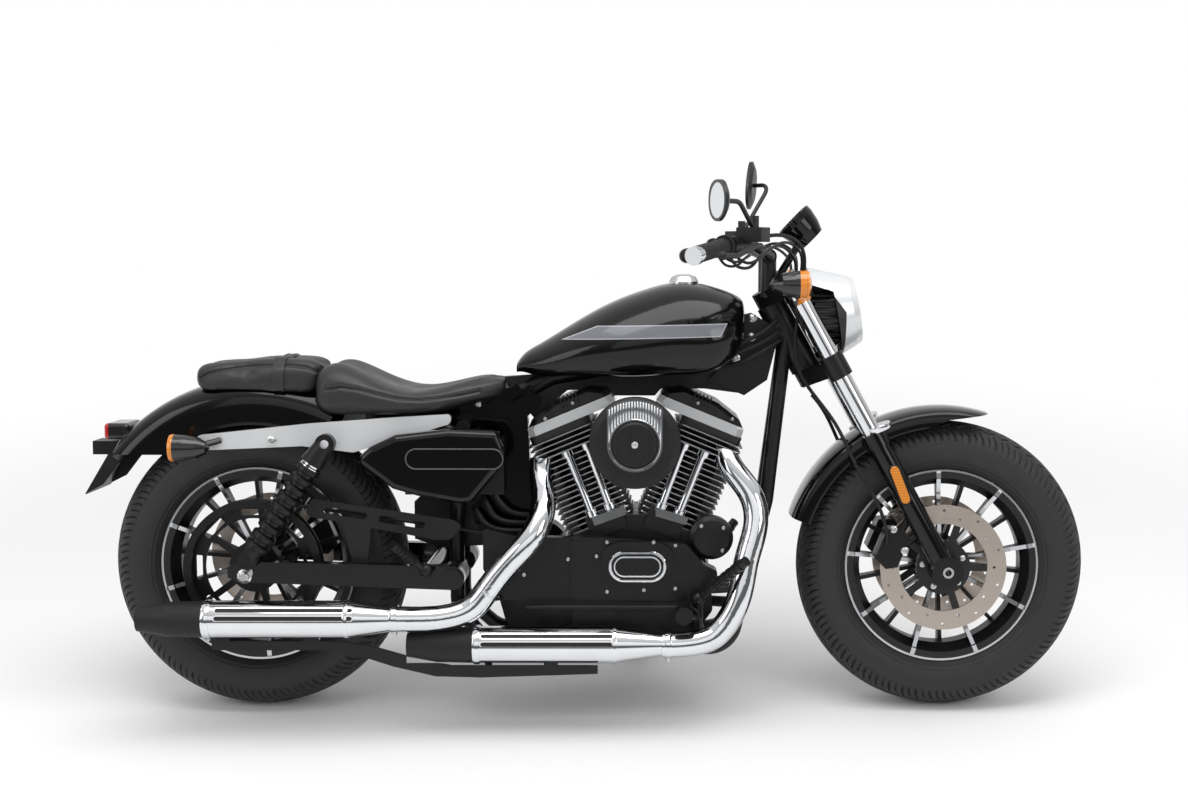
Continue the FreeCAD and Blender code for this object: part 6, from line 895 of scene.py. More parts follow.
for hand, label in SIDES:
    turns = [math.radians(angle) for angle in CARRIER_BOLT_ANGLES]
    bolts(f"disc_carrier_bolts_{label}", "front_discs", [
        (761 + CARRIER_BOLT_REACH * math.cos(a), 322.6 + CARRIER_BOLT_REACH * math.sin(a))
        for a in turns], 5.2, flange_head, "front_wheel", hand)

# %% More bolts of the chassis
bolts("strut_bolts", "fender_struts", ((-708, 612),), 8.5, flange_head)
bolts("shock_bolts", "shocks", ((-589, 603), (-748, 366)), 11, flange_head)
bolts("rocker_cover_bolts", "rocker_covers", ((-120, 655), (-60, 690), (215, 690), (290, 655)), 4)

# %% [markdown]
# ## Tyres with real grooves
# The tread shows in the outline of the tyre, so it is a shape and not a pattern. One section of
# the tyre is carried round the axle in small steps, and each point of the crown goes in where a
# zig-zag groove, a cross cut or a shoulder slot passes. The pitch divides the circumference.


# %% The tyre's section
def arc_through(first, middle, last, count):
    """Points on the circle through three points, from the first to the last."""
    (ax, ay), (bx, by), (cx, cy) = first, middle, last
    twice = 2 * (ax * (by - cy) + bx * (cy - ay) + cx * (ay - by))
    ux = ((ax ** 2 + ay ** 2) * (by - cy) + (bx ** 2 + by ** 2) * (cy - ay)
          + (cx ** 2 + cy ** 2) * (ay - by)) / twice
    uy = ((ax ** 2 + ay ** 2) * (cx - bx) + (bx ** 2 + by ** 2) * (ax - cx)
          + (cx ** 2 + cy ** 2) * (bx - ax)) / twice
    angles = np.unwrap([math.atan2(y - uy, x - ux) for x, y in (first, middle, last)])
    reach = math.hypot(ax - ux, ay - uy)
    return [(ux + reach * math.cos(a), uy + reach * math.sin(a))
            for a in np.linspace(angles[0], angles[2], count)]


BEAD_REACH, RIM_SEAT = 216.3, 204
WALL_POINTS, CROWN_POINTS = 13, 67


def tyre_section(radius, width, crown, rim_width):
    """The (reach, side) points of a tyre, and the reach of its shoulder."""
    half = width / 2
    shoulder = half * 0.88
    centre = radius - crown
    drop = centre + math.sqrt(crown ** 2 - shoulder ** 2)
    bulge = RIM_SEAT + (drop - RIM_SEAT) * 0.62
    wall = arc_through((drop, shoulder), (bulge, half), (BEAD_REACH, rim_width / 2 - 5),
                       WALL_POINTS)[1:]
    limit = math.asin(shoulder / crown)
    over = [(centre + crown * math.cos(a), crown * math.sin(a))
            for a in np.linspace(-limit, limit, CROWN_POINTS)]
    return np.array([(r, -s) for r, s in reversed(wall)] + over + wall), drop


# %% The tread
PITCHES, STEPS_PER_PITCH = 58, 15
GROOVE_DEEP, GROOVE_HALF, ZIG = 4.2, 1.7, 10
SLOT_SLANT = 46


def wave(values):
    """0 to 1 and back to 0 over each pitch."""
    return 1 - np.abs(values % 1.0 * 2 - 1)


def tread_cut(arc, away, half):
    """1 in a groove and 0 beside it, for places along the pitch and away from the middle."""
    zig = wave(arc) * ZIG - ZIG / 2
    cuts = [np.clip((GROOVE_HALF + 0.8 - np.abs(away - half * share - zig)) / 0.8, 0, 1)
            for share in (0.2, 0.52)]
    for start, wide, places in (
            (0.0, 0.13, (away > half * 0.3) & (away < half * 0.42) | (away > half * 0.64)),
            (0.5, 0.12, away > half * 0.74)):
        slot = np.clip((wide - wave(arc + start + away / SLOT_SLANT)) / 0.05, 0, 1)
        cuts.append(slot * places)
    return np.maximum.reduce(cuts)


# %% Treaded tyres
def treaded_tyre(name, node, body, axle, radius, width, crown, rim_width, finish):
    section, drop = tyre_section(radius, width, crown, rim_width)
    reach, side = section[:, 0], section[:, 1]
    share = np.linspace(0, 1, PITCHES * STEPS_PER_PITCH, endpoint=False)[:, None]
    cut = tread_cut(share * PITCHES, np.abs(side)[None, :], width / 2)
    deep = GROOVE_DEEP * cut * np.clip((reach - drop + 13) / 3, 0, 1)
    out = np.array([reach - (radius - crown), side]).T
    out /= np.linalg.norm(out, axis=1)[:, None]
    r, s = reach - deep * out[:, 0], side - deep * out[:, 1]
    angle = share * math.tau
    points = np.stack([r * np.cos(angle), s, r * np.sin(angle)], axis=2) + np.array(axle) / MM
    made = solid(name, skinned(points.tolist()), finish, "tyre", body)
    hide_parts(node)
    print(name, len(made.data.polygons) * 2, "triangles")
    return made


treaded_tyre("front_treaded_tyre", "front_tyre", "front_wheel", FRONT_AXLE, FRONT_RADIUS, 130, 74,
             92, front_rubber)
treaded_tyre("rear_treaded_tyre", "rear_tyre", "rear_wheel", REAR_AXLE, REAR_RADIUS, 150, 86,
             108, rear_rubber)

# %% [markdown]
# ## Air cleaner
# The air cleaner is a black drum with a plated capsule that is ribbed above its dark disc, and
# each rib catches its own line of light. A bright ring and a screw finish the disc.

# %% Air cleaner ribs
CLEANER_X, CLEANER_Z = 78, 612
RING_REACH, CAPSULE_REACH, DISC_REACH = 53.5, 94.0, 46.0

capsule_face = surface("air_cleaner_cover", CLEANER_X, CLEANER_Z + 70).y
disc_face = surface("air_cleaner", CLEANER_X, CLEANER_Z).y
places = []
for x in range(-54, 55, 6):
    low = math.sqrt(max(RING_REACH ** 2 - x ** 2, 0)) + 2
    high = math.sqrt(CAPSULE_REACH ** 2 - x ** 2) - 2
    places.append(((CLEANER_X + x, capsule_face + 0.2, CLEANER_Z + low), UP, FORWARD,
                   (1.9, 1.9, high - low)))
repeated("air_cleaner_ribs", plated_rib, places, chrome_plate, "chrome")
places = []
for x in range(-40, 41, 5):
    half = math.sqrt(DISC_REACH ** 2 - x ** 2)
    places.append(((CLEANER_X + x, disc_face + 0.3, CLEANER_Z - half), UP, FORWARD,
                   (1.2, 1.2, 2 * half)))
repeated("air_cleaner_disc_ribs", plated_rib, places, moulded_plastic, "black_plastic")

# %% Air cleaner ring and screw
ring_section = [(0, 50), (2.45, 50), (3.5, 51), (3.5, 54), (2.45, 55), (0, 55)]
solid("air_cleaner_ring", band_shape((CLEANER_X, capsule_face + 1, CLEANER_Z), OUT_RIGHT,
                                     ring_section, 64), chrome_plate, "chrome")
solid("air_cleaner_screw", turned_shape((CLEANER_X, disc_face + 1, CLEANER_Z), OUT_RIGHT, [
    (0, 0), (0, 7), (3.4, 7), (4.4, 5.5), (4.4, 0)], 24), zinc_steel, "steel")
print("the capsule's face is", round(-capsule_face), "mm to the right")

# %% [markdown]
# ## Ribs on the domes
# The domes of the rocker boxes carry short low ribs on their outer flank, cast with them.

# %% Dome ribs
DOME_UP = 486

places = []
for front in (-1, 1):
    upward = Vector((front * math.sin(HALF_VEE), 0, math.cos(HALF_VEE)))
    across = Vector((math.cos(HALF_VEE), 0, -front * math.sin(HALF_VEE)))
    for step in range(5):
        middle = Vector(CRANK) / MM + upward * DOME_UP + across * (front * (step * 9 - 62))
        spot = surface("rocker_covers", middle.x, middle.z)
        places.append((spot + Vector((0, 1.0, 0)), OUT_RIGHT, upward, (26, 3.4, 4)))
repeated("dome_ribs", flat_rib, places, case_enamel, "case_black")

# %% [markdown]
# ## Plated oval on the cover
# The engine cover has a raised oval that is left bare here, in a bright moulding of two rails. A
# capsule outline with a rounded section swept along it makes the moulding.


# %% Oval moulding
def capsule_moulding(centre, half_length, half_height, thick, proud, count=24):
    """A moulding round a capsule in the x z plane, standing out to the right."""
    x, y, z = centre
    section = [(-thick / 2, 0), (-thick / 2, proud * 0.6), (-thick / 4, proud),
               (thick / 4, proud), (thick / 2, proud * 0.6), (thick / 2, 0)]
    rings = []
    for end in (1, -1):
        for k in range(count + 1):
            angle = -end * math.pi / 2 + math.pi * k / count
            c, s = math.cos(angle), math.sin(angle)
            rings.append([(x + end * (half_length - half_height) + (half_height + out) * c,
                           y - up, z + (half_height + out) * s) for out, up in section])
    return skinned(rings)


oval = (83, surface("engine_covers", 84, 340).y + 1, 339)
solid("oval_outer_moulding", capsule_moulding(oval, 60, 31, 7, 5), chrome_plate, "chrome")
solid("oval_inner_moulding", capsule_moulding(oval, 50, 21, 5, 4), chrome_plate, "chrome")
print("the oval is", round(-oval[1]), "mm to the right")

# %% [markdown]
# ## Heat shields on the exhausts
# Plated shields wrap the pipes. Each silencer's shield has two long slots, and each joint has a
# clamp.
# A slot is drawn as a thin strip with round ends that lies on the pipe, in painted shade for the
# shaded depth of the slot; a clamp is a band with a bolt.


# %% Slots
def pipe_strip(start_x, end_x, y, z, angle, width, lift, radius=40, steps=28):
    """A strip with round ends along a straight pipe, lifted off its surface."""
    half = width / 2
    rings = []
    for index in range(steps + 1):
        x = start_x + (end_x - start_x) * (0.5 - 0.5 * math.cos(math.pi * index / steps))
        inward = min(half, abs(x - start_x), abs(x - end_x))
        reach = max(math.sqrt(max(half ** 2 - (half - inward) ** 2, 0)), 0.05) / radius
        rings.append([(x, y - (radius + level) * math.cos(a), z + (radius + level) * math.sin(a))
                      for level, sides in ((-0.6, (-1, 0, 1)), (lift, (1, 0, -1)))
                      for a in (math.radians(angle) + side * reach for side in sides)])
    return skinned(rings, "ladder")


for label, start, end, y, z in (("upper", -812, -520, -204, 236), ("lower", -252, 38, -176, 174)):
    for row, angle in (("high", 40), ("low", 14)):
        # painted shade: the dark strip stands for the shaded depth of the slot, inside a plated rim
        name = f"{label}_shield_slot_{row}"
        solid(name, pipe_strip(start, end, y, z, angle, 9, 0.5), painted_slot_shade, "satin_black")
        name = f"{label}_shield_slot_rim_{row}"
        solid(name, pipe_strip(start - 3, end + 3, y, z, angle, 14, 0.2), chrome_plate, "chrome")
print("four slots with their rims")

# %% Clamps
for name, place, radius, width in (
    ("lower_clamp_front", (150, -175, 174), 27.5, 14),
    ("lower_clamp_rear", (34, -176, 174), 40, 10),
    ("upper_clamp_front", (-436, -204, 237), 27, 16),
    ("upper_clamp_rear", (-536, -204, 236), 39.6, 10),
    ("lower_band", (-262, -176, 174), 40, 14),
    ("upper_band", (-832, -204, 236), 40, 14),
):
    section = [(0, radius - 2), (0, radius + 1.6), (width * 0.15, radius + 2.4),
               (width * 0.85, radius + 2.4), (width, radius + 1.6), (width, radius - 2)]
    front = (place[0] + width / 2, *place[1:])
    solid(name, band_shape(front, (-1, 0, 0), section, 40), chrome_plate, "chrome")
repeated("clamp_bolts", flange_head, [
    ((150, -175, 143), (0, 0, -1), FORWARD, (5, 5, 6)),
    ((-436, -204, 206), (0, 0, -1), FORWARD, (5, 5, 6))], zinc_steel, "steel")

# %% [markdown]
# ## Leather
# Seat and pillion pad are covered in black cowhide. It has fine cells a millimetre or two across,
# shallow creases and a soft sheen. The cells are drawn a little coarser than they are, to show.

# %% Cowhide
cowhide, tree, place = new_finish("grained_black_cowhide")
patch = add(tree, "noise", place, Scale=spots(60), Detail=3.0)
cells = add(tree, "ShaderNodeTexVoronoi", Vector=place, feature="DISTANCE_TO_EDGE",
            Scale=spots(2.2))
grain = add(tree, "bump", Strength=0.5, Distance=0.15 * MM,
            Height=add(tree, "range", cells, 0.0, 0.2, 0.0, 1.0))
folds = add(tree, "noise", place, Scale=spots(26), Detail=4.0)
close_finish(
    tree, Base_Color=add(tree, "colours", patch, screen_colour("#19191a"),
                         screen_colour("#252526")),
    Roughness=add(tree, "range", patch, LOW_NOISE, HIGH_NOISE, 0.34, 0.46),
    Normal=add(tree, "bump", Strength=0.6, Distance=1.2 * MM, Height=folds, Normal=grain),
    Specular_IOR_Level=0.5)
print(cowhide.name)

# %% [markdown]
# ## Seat and pillion pad
# Both are moulded foam under sewn leather, so they have no straight line anywhere. The solid from
# the CAD model, made a little smaller, is remeshed into even small faces and swollen as cloth
# under slight pressure, and no place may move far. The sewn lines come after the cloth, because
# remeshing would wipe them out: each is a soft groove with piping and rows of stitches along it.


# %% Tables of vertices
def vertex_table(mesh, what="co"):
    """The places or normals of a mesh as rows of three."""
    table = np.empty(len(mesh.vertices) * 3)
    if what == "co":
        mesh.vertices.foreach_get("co", table)
    else:
        mesh.vertex_normals.foreach_get("vector", table)
    return table.reshape(-1, 3)


print("vertex tables are ready")

# %% Even faces, then cloth
SHRINK_MM, CAP_MM = 2.5, 4.0
PRESSURE = 4.0
LAST_FRAME = 20


def even_solid(node, voxel_mm):
    """A copy of the node's solid, merged, remeshed into even faces and softened."""
    source = nodes[node].data.copy()
    shape = bmesh.new()
    shape.from_mesh(source)
    bmesh.ops.remove_doubles(shape, verts=shape.verts, dist=0.05 * MM)
    bmesh.ops.recalc_face_normals(shape, faces=shape.faces)
    shape.to_mesh(source)
    shape.free()
    holder = linked(node + "_work", source)
    remesh = holder.modifiers.new("even_faces", "REMESH")
    remesh.mode, remesh.voxel_size = "VOXEL", voxel_mm * MM
    smooth = holder.modifiers.new("soften", "SMOOTH")
    smooth.factor, smooth.iterations = 0.5, 6
    even = evaluated_mesh(holder)
    bpy.data.objects.remove(holder)
    return even


def swollen(work):
    """How far each place moves when the work piece swells as cloth."""
    start = vertex_table(work.data)
    cloth = work.modifiers.new("swell", "CLOTH")
    cloth.settings.use_pressure = True
    cloth.settings.uniform_pressure_force = PRESSURE
    cloth.settings.effector_weights.gravity = 0.0
    cloth.settings.quality = 4
    for number in range(1, LAST_FRAME + 1):
        bpy.context.scene.frame_set(number)
        work.evaluated_get(bpy.context.evaluated_depsgraph_get())
    moved = vertex_table(evaluated_mesh(work)) - start
    work.modifiers.remove(cloth)
    bpy.context.scene.frame_set(1)
    far = np.linalg.norm(moved, axis=1)
    share = np.minimum(1, CAP_MM * MM / np.maximum(far, 1e-9))
    print(work.name, "swells by up to", round(float((far * share).max()) / MM, 1), "mm")
    return moved * share[:, None]


def stuffed_pad(node, voxel_mm):
    """The node's solid as a stuffed pad: remeshed, shrunk, swollen, calmed and subdivided."""
    even = even_solid(node, voxel_mm)
    start = vertex_table(even) - vertex_table(even, "normal") * SHRINK_MM * MM
    even.vertices.foreach_set("co", start.ravel())
    even.update()
    work = linked(node + "_cloth", even)
    even.vertices.foreach_set("co", (start + swollen(work)).ravel())
    even.update()
    calm = work.modifiers.new("calm", "SMOOTH")
    calm.factor, calm.iterations = 0.5, 8
    fine = work.modifiers.new("finer", "SUBSURF")
    fine.levels = fine.render_levels = 1
    mesh = evaluated_mesh(work)
    bpy.data.objects.remove(work)
    mesh.shade_smooth()
    return mesh


# %% Sewn lines
GROOVE_MM, GROOVE_HALF_MM = 4.0, 4.5


def sew(mesh, line, least_side):
    """Presses a groove into both sides of the pad along a line of x and z."""
    back, out = np.array(UPRIGHT_MM), np.array(BIKE_MM)
    place = vertex_table(mesh) @ back[:3, :3].T + back[:3, 3]
    x, y, z = place.T
    away = np.abs(z - np.interp(x, *line))
    inside = (x > line[0][0]) & (x < line[0][-1]) & (np.abs(y) > least_side)
    share = np.exp(-(away / GROOVE_HALF_MM) ** 2) * inside
    place[:, 1] -= np.sign(y) * share * GROOVE_MM
    place[:, 2] -= share * GROOVE_MM * 0.4
    mesh.vertices.foreach_set("co", (place @ out[:3, :3].T + out[:3, 3]).ravel())
    mesh.update()


def along_seam(tree, line, places, side, lift=0.0):
    """The place, the normal and the height wanted at each x of a seam, found by rays."""
    for x in places:
        z = float(np.interp(x, *line)) + lift
        hit, normal = tree.ray_cast(Vector((x, side * 400, z)), Vector((0, -side, 0)))[:2]
        if hit is not None:
            yield x, z, hit, normal


# %% Piping and stitches
STITCH_PITCH, STITCH_SIZE = 6.5, 4.4
PIPING_SIDES = 6


def piping(name, tree, line, radius):
    """A thin cord sewn into the seam on both sides of the pad."""
    points, faces = [], []
    for side in (-1, 1):
        steps = np.arange(line[0][0] + 4, line[0][-1] - 3, 4.0)
        path = [(hit, normal) for x, z, hit, normal in along_seam(tree, line, steps, side)
                if abs(hit.y) > 30]
        rings = []
        for k, (hit, normal) in enumerate(path):
            run = (path[min(k + 1, len(path) - 1)][0] - path[max(k - 1, 0)][0]).normalized()
            aside = run.cross(normal).normalized()
            turns = (math.tau * turn / PIPING_SIDES for turn in range(PIPING_SIDES))
            rings.append([hit + (normal * math.cos(a) + aside * math.sin(a)) * radius
                          for a in turns])
        tube, tube_faces = skinned(rings, "flat")
        faces += [[corner + len(points) for corner in face] for face in tube_faces]
        points += tube
    return solid(name, (points, faces), moulded_plastic, "leather")


def stitches(name, tree, line, offsets):
    """Rows of stitches beside a sewn line, on both sides of the pad."""
    places = []
    steps = np.arange(line[0][0] + 4, line[0][-1] - 4, STITCH_PITCH)
    for offset in offsets:
        for side in (-1, 1):
            for x, z, hit, normal in along_seam(tree, line, steps, side, offset):
                rise = float(np.interp(x + 3, *line)) + offset - z
                places.append((hit + normal * 0.25, normal, (3, 0, rise), (STITCH_SIZE,) * 3))
    return repeated(name, stitch, places, thread, "leather")


# %% The two pads
def padded_piece(node, voxel_mm, line, least_side):
    """Replaces a node by sewn leather, and gives a tree of rays for what lies on it."""
    mesh = stuffed_pad(node, voxel_mm)
    sew(mesh, line, least_side)
    made = finished(node + "_leather", mesh, cowhide, "leather")
    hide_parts(node)
    return ray_tree(mesh)


SEAT_LINE = ([-590, -560, -518, -470, -432, -390, -345, -300, -262],
             [724, 729, 724, 712, 705, 702, 704, 709, 716])
PAD_LINE = ([-878, -858, -820, -781, -730, -684, -640, -618],
            [744, 755, 764, 769, 773, 774, 768, 756])
seat_rays = padded_piece("rider_seat", 5.0, SEAT_LINE, 60)
pad_rays = padded_piece("pillion_pad", 4.5, PAD_LINE, 45)
piping("rider_seat_welt", seat_rays, SEAT_LINE, 1.6)
piping("pillion_pad_welt", pad_rays, PAD_LINE, 1.2)
stitches("rider_seat_stitches", seat_rays, SEAT_LINE, (4.5,))
stitches("pillion_pad_stitches", pad_rays, PAD_LINE, (-4.5, 4.5))

# %% [markdown]
# ## Strap over the pillion pad
# A flat leather strap crosses the pad. Rays sent in from all round one section of the pad find
# where the strap lies, and the strap is a thin closed band on those places, with its edges let
# down a little and a row of stitches along each.

# %% Pillion strap
STRAP_FROM, STRAP_TO, STRAP_THICK = -714, -688, 5.0
STRAP_MIDDLE_UP = 735
LOWEST_LEFT, LOWEST_RIGHT = math.radians(-38), math.radians(218)

rows = []
for angle in np.linspace(LOWEST_LEFT, LOWEST_RIGHT, 64):
    out = Vector((0, math.cos(angle), math.sin(angle)))
    hits = [pad_rays.ray_cast(Vector((x, 0, STRAP_MIDDLE_UP)) + out * 300, -out)[0]
            for x in np.linspace(STRAP_FROM, STRAP_TO, 5)]
    if None not in hits:
        rows.append((hits, out))
LIFTS = [STRAP_THICK - 0.5, STRAP_THICK, STRAP_THICK, STRAP_THICK, STRAP_THICK - 0.5]
rings = [[hit - out * 0.5 for hit in hits]
         + [hit + out * lift for hit, lift in zip(hits[::-1], LIFTS)] for hits, out in rows]
solid("pillion_strap", skinned(rings, "ladder"), cowhide, "leather")
places = []
for edge, inward in ((0, 0.18), (4, -0.18)):
    for hits, out in rows[2:-2]:
        spot = hits[edge] + (hits[4] - hits[0]) * inward + out * (STRAP_THICK + 0.1)
        places.append((spot, out, Vector((0, -out.z, out.y)), (3.6,) * 3))
repeated("pillion_strap_stitches", stitch, places, thread, "leather")

# %% [markdown]
# ## Dark filling between tank, seat and engine
# Behind the engine and the side cover the real machine is full of black parts: a coil bracket, an
# oil tank, a cover over the pivot of the swingarm. They are cut here as simple plates near the
# middle plane, so that no daylight shows where there is none on the machine.


# %% Dark plates
def plate(outline, middle, half, bevel=1.5):
    """A flat plate of an x and z outline between two sides, its edges a little chamfered."""
    centre = sum((Vector(corner) for corner in outline), Vector((0, 0))) / len(outline)
    rings = []
    for side, inset in ((-half, bevel), (bevel - half, 0), (half - bevel, 0), (half, bevel)):
        corners = [Vector(c) + (centre - Vector(c)).normalized() * inset for c in outline]
        rings.append([(x, middle + side, z) for x, z in corners])
    return skinned(rings, "flat")


for name, outline, middle, half, finish, slot in (
    ("coil_bracket", [(-215, 742), (-60, 752), (120, 756), (315, 756), (318, 705), (232, 716),
                      (134, 716), (120, 700), (1, 700), (-6, 716), (-76, 712), (-150, 650),
                      (-165, 668), (-200, 700)], 0, 14, moulded_plastic, "black_plastic"),
    ("oil_tank_front", [(-254, 685), (-190, 728), (-158, 706), (-162, 651), (-160, 609),
                        (-156, 525), (-132, 440), (-118, 400), (-262, 392), (-285, 426),
                        (-262, 469), (-240, 530), (-225, 623)], -22, 20, gloss_enamel,
     "gloss_black"),
    ("pivot_cover", [(-418, 462), (-400, 478), (-282, 474), (-249, 483), (-249, 364),
                     (-361, 358), (-418, 378)], -10, 12, powder_coat, "satin_black"),
    ("seat_front_bracket", [(-327, 700), (-244, 724), (-204, 702), (-226, 633), (-338, 633),
                            (-360, 667)], -20, 12, gloss_enamel, "gloss_black"),
):
    solid(name, plate(outline, middle, half), finish, slot, smooth=False)
repeated("seat_bracket_bolt", flange_head, [((-273, -32, 682), OUT_RIGHT, FORWARD, (6, 6, 6))],
         zinc_steel, "steel")

# %% [markdown]
# ## Hoses and cables
# Short hoses leave the oil tank under the side cover, and cables run from the tank to the steering
# neck and from the controls down to it. All are fixed at both ends. Each is one smooth curve
# through a few points, with a round section.


# %% Hoses and cables
def smooth_cord(name, lines, radius, finish, body="chassis"):
    """Smooth round hoses through a few points each, closed at both ends."""
    curve = bpy.data.curves.new(name, "CURVE")
    curve.dimensions = "3D"
    curve.bevel_depth = radius * MM
    curve.bevel_resolution = 3
    curve.use_fill_caps = True
    for line in lines:
        spline = curve.splines.new("NURBS")
        spline.points.add(len(line) - 1)
        for point, place in zip(spline.points, line):
            point.co = (*(BIKE_MM @ Vector(place)), 1)
        spline.order_u = 3
        spline.use_endpoint_u = True
    holder = linked(name + "_curve", curve)
    mesh = evaluated_mesh(holder)
    bpy.data.objects.remove(holder)
    mesh.shade_smooth()
    print(name, len(lines), "lines")
    return finished(name, mesh, finish, "rubber", body)


smooth_cord("side_hoses", [
    [(-238, -52, 505), (-235, -70, 491), (-221, -74, 466), (-190, -72, 438), (-150, -60, 438)],
    [(-262, -52, 482), (-252, -72, 466), (-232, -76, 431), (-190, -74, 421), (-150, -60, 421)],
    [(-280, -52, 455), (-270, -72, 442), (-253, -76, 417), (-211, -76, 403), (-160, -66, 405)]],
    7.0, soft_rubber)
smooth_cord("neck_cables", [
    [(262, -40, 783), (273, -56, 791), (315, -60, 804), (363, -50, 822), (395, -40, 846)],
    [(270, -44, 800), (300, -60, 815), (342, -58, 835), (372, -48, 852), (392, -40, 872)],
    [(286, -40, 770), (312, -56, 779), (350, -56, 797), (380, -46, 815), (398, -38, 826)]],
    4.5, soft_rubber)
BAR_CABLES = [
    [(272, 300, 1012), (282, 298, 992), (303, 290, 984), (322, 270, 990), (337, 240, 1010),
     (372, 170, 1034), (400, 120, 1030), (424, 80, 1008), (430, 55, 980), (424, 40, 940)],
    [(290, 300, 1006), (306, 292, 994), (330, 262, 1000), (366, 190, 1030), (402, 130, 1044),
     (436, 90, 1024), (444, 60, 990), (436, 44, 945)]]
for hand, label in SIDES:
    smooth_cord(f"handlebar_cables_{label}", [
        [(x, hand * y, z) for x, y, z in line] for line in BAR_CABLES], 3.2, powder_coat,
        "steering")

# %% [markdown]
# ## Reflectors and side cover mouldings
# Reflectors are amber acrylic set into black frames on the fork legs. Each side cover has a low
# plate with round ends, left bare here, inside a thin moulding whose grey is a painted highlight.


# %% Plates with round ends
def round_ended(start, end, half_width, hand, low, high):
    """A plate with round ends between two points of x and z, from one distance out to another."""
    first, last = Vector(start), Vector(end)
    run = (last - first).normalized()
    aside = Vector((run.y, -run.x))
    outline = []
    for centre, begin in ((last, 0), (first, math.pi)):
        for k in range(13):
            a = begin + math.pi * k / 12
            outline.append(centre + (aside * math.cos(a) + run * math.sin(a)) * half_width)
    return plate(outline, hand * (low + high) / 2, (high - low) / 2, 1.2)


# %% Reflectors
LOW_END, HIGH_END = Vector((670, 473)), Vector((636, 559))
FORK_RUN = (HIGH_END - LOW_END).normalized()

for hand, label in SIDES:
    outer = abs(surface("fork_sliders", 653, 516, hand).y)
    ends = (LOW_END + FORK_RUN * 13, HIGH_END - FORK_RUN * 13)
    solid(f"reflector_frame_{label}", round_ended(*ends, 13.5, hand, outer - 8, outer + 3),
          powder_coat, "black_plastic", "steering", False)
    solid(f"reflector_{label}", round_ended(*ends, 10, hand, outer - 2, outer + 4.5),
          amber_acrylic, "clear_glass", "steering", False)
    print(label, "slider's side at", round(outer), "mm")

# %% Side cover mouldings
for hand, label in SIDES:
    outer = abs(surface("side_covers", -300, 578, hand).y)
    solid(f"side_cover_relief_{label}", round_ended(
        (-392, 576), (-226, 578), 21, hand, outer - 5, outer + 2.2), gloss_enamel, "gloss_black",
        smooth=False)
    # the moulding's grey is a painted highlight along the edge of the cover's recess
    points, faces = capsule_moulding((-309, -outer - 1.5, 577), 104, 21.5, 3.0, 2.4)
    solid(f"side_cover_moulding_{label}", ([(x, -hand * y, z) for x, y, z in points], faces),
          painted_highlight_grey, "gloss_black")
    print(label, "side cover's face at", round(outer), "mm")

# %% [markdown]
# ## Bright collars and clamps
# The shocks have plated collars under their upper eyes, the fork sliders a plated ring at their
# lips, the pushrod tubes a plated clamp plate at their feet, and the rear axle a nut. The places
# come from the solids.

# %% Shock collars
for hand, label in SIDES:
    near = [c.y for c in upright_corners("shocks") if c.y * hand > 0 and c.z > 560]
    direction = Vector((-175, 0, -256)).normalized()
    start = Vector((-582, (min(near) + max(near)) / 2, 612)) + direction * 34
    solid(f"shock_collar_{label}", turned_shape(start, direction, [
        (0, 0), (0, 19), (2, 21.5), (24, 21.5), (26, 24), (32, 24), (33, 22), (33, 0)]),
        chrome_plate, "chrome")
    print(label, "shock is", round(max(near) - min(near)), "mm wide")

# %% Slider rings
fork_up = Vector((FORK_RUN.x, 0, FORK_RUN.y))
for hand, label in SIDES:
    leg = [c for c in upright_corners("fork_sliders") if c.y * hand > 0]
    top = max(c.dot(fork_up) for c in leg)
    lip = [c for c in leg if c.dot(fork_up) > top - 3]
    low, high = (Vector([pick(c[k] for c in lip) for k in range(3)]) for pick in (min, max))
    reach = (high.y - low.y) / 2
    solid(f"slider_ring_{label}", turned_shape((low + high) / 2 - fork_up * 4, fork_up, [
        (0, 0), (0, reach + 1.5), (1, reach + 2.2), (11, reach + 2.2), (13, reach), (13, 0)]),
        chrome_plate, "chrome", "steering")
    print(label, "slider is", round(2 * reach, 1), "mm across at its lip")

# %% Tappet clamps
for label, outline in (("rear", [(-20, 440), (55, 468), (59, 447), (-13, 421)]),
                       ("front", [(121, 464), (196, 440), (189, 423), (121, 443)])):
    outer = min(surface("pushrod_tubes", x, z).y for x, z in outline[:2])
    solid(f"tappet_clamp_{label}", plate(outline, outer + 8, 12), chrome_plate, "chrome",
          smooth=False)
    print(label, "pushrod tubes' side at", round(-outer), "mm")

# %% Rear axle nut
bolts("rear_axle_nut", "swingarm", ((-765, 322),), 13, flange_head)

# %% [markdown]
# ## Ribs of the lamp shell
# The sides of the lamp shell are ribbed. Each rib is a bar that starts further back the further it
# is from the middle of the shell, and ends behind the lamp's rim. Bolts hold the frame's neck
# behind the lamp.

# %% Lamp ribs
SHELL_MIDDLE_UP, RIB_FRONT = 861, 527

places = []
for hand, label in SIDES:
    for z in range(828, 926, 12):
        above = z - SHELL_MIDDLE_UP
        back = 470 - above * 0.2 if above > 0 else 476 - above * 0.5
        hit = surface("headlamp_shell", (back + RIB_FRONT) / 2, z, hand)
        places.append((hit, (0, hand, 0), FORWARD, (RIB_FRONT - back, 5.5, 5.5)))
repeated("lamp_side_ribs", bar, places, moulded_plastic, "black_plastic", "steering")
bolts("neck_bolts", "frame", ((337, 874), (335, 832), (300, 785)), 7.5, flange_head)

# %% [markdown]
# ## Light
# The light comes from above, as under one large soft box, and the room is dimmer on the camera's
# side, so that the black paint stays black. Two small boxes at the ends draw edges on the metal.

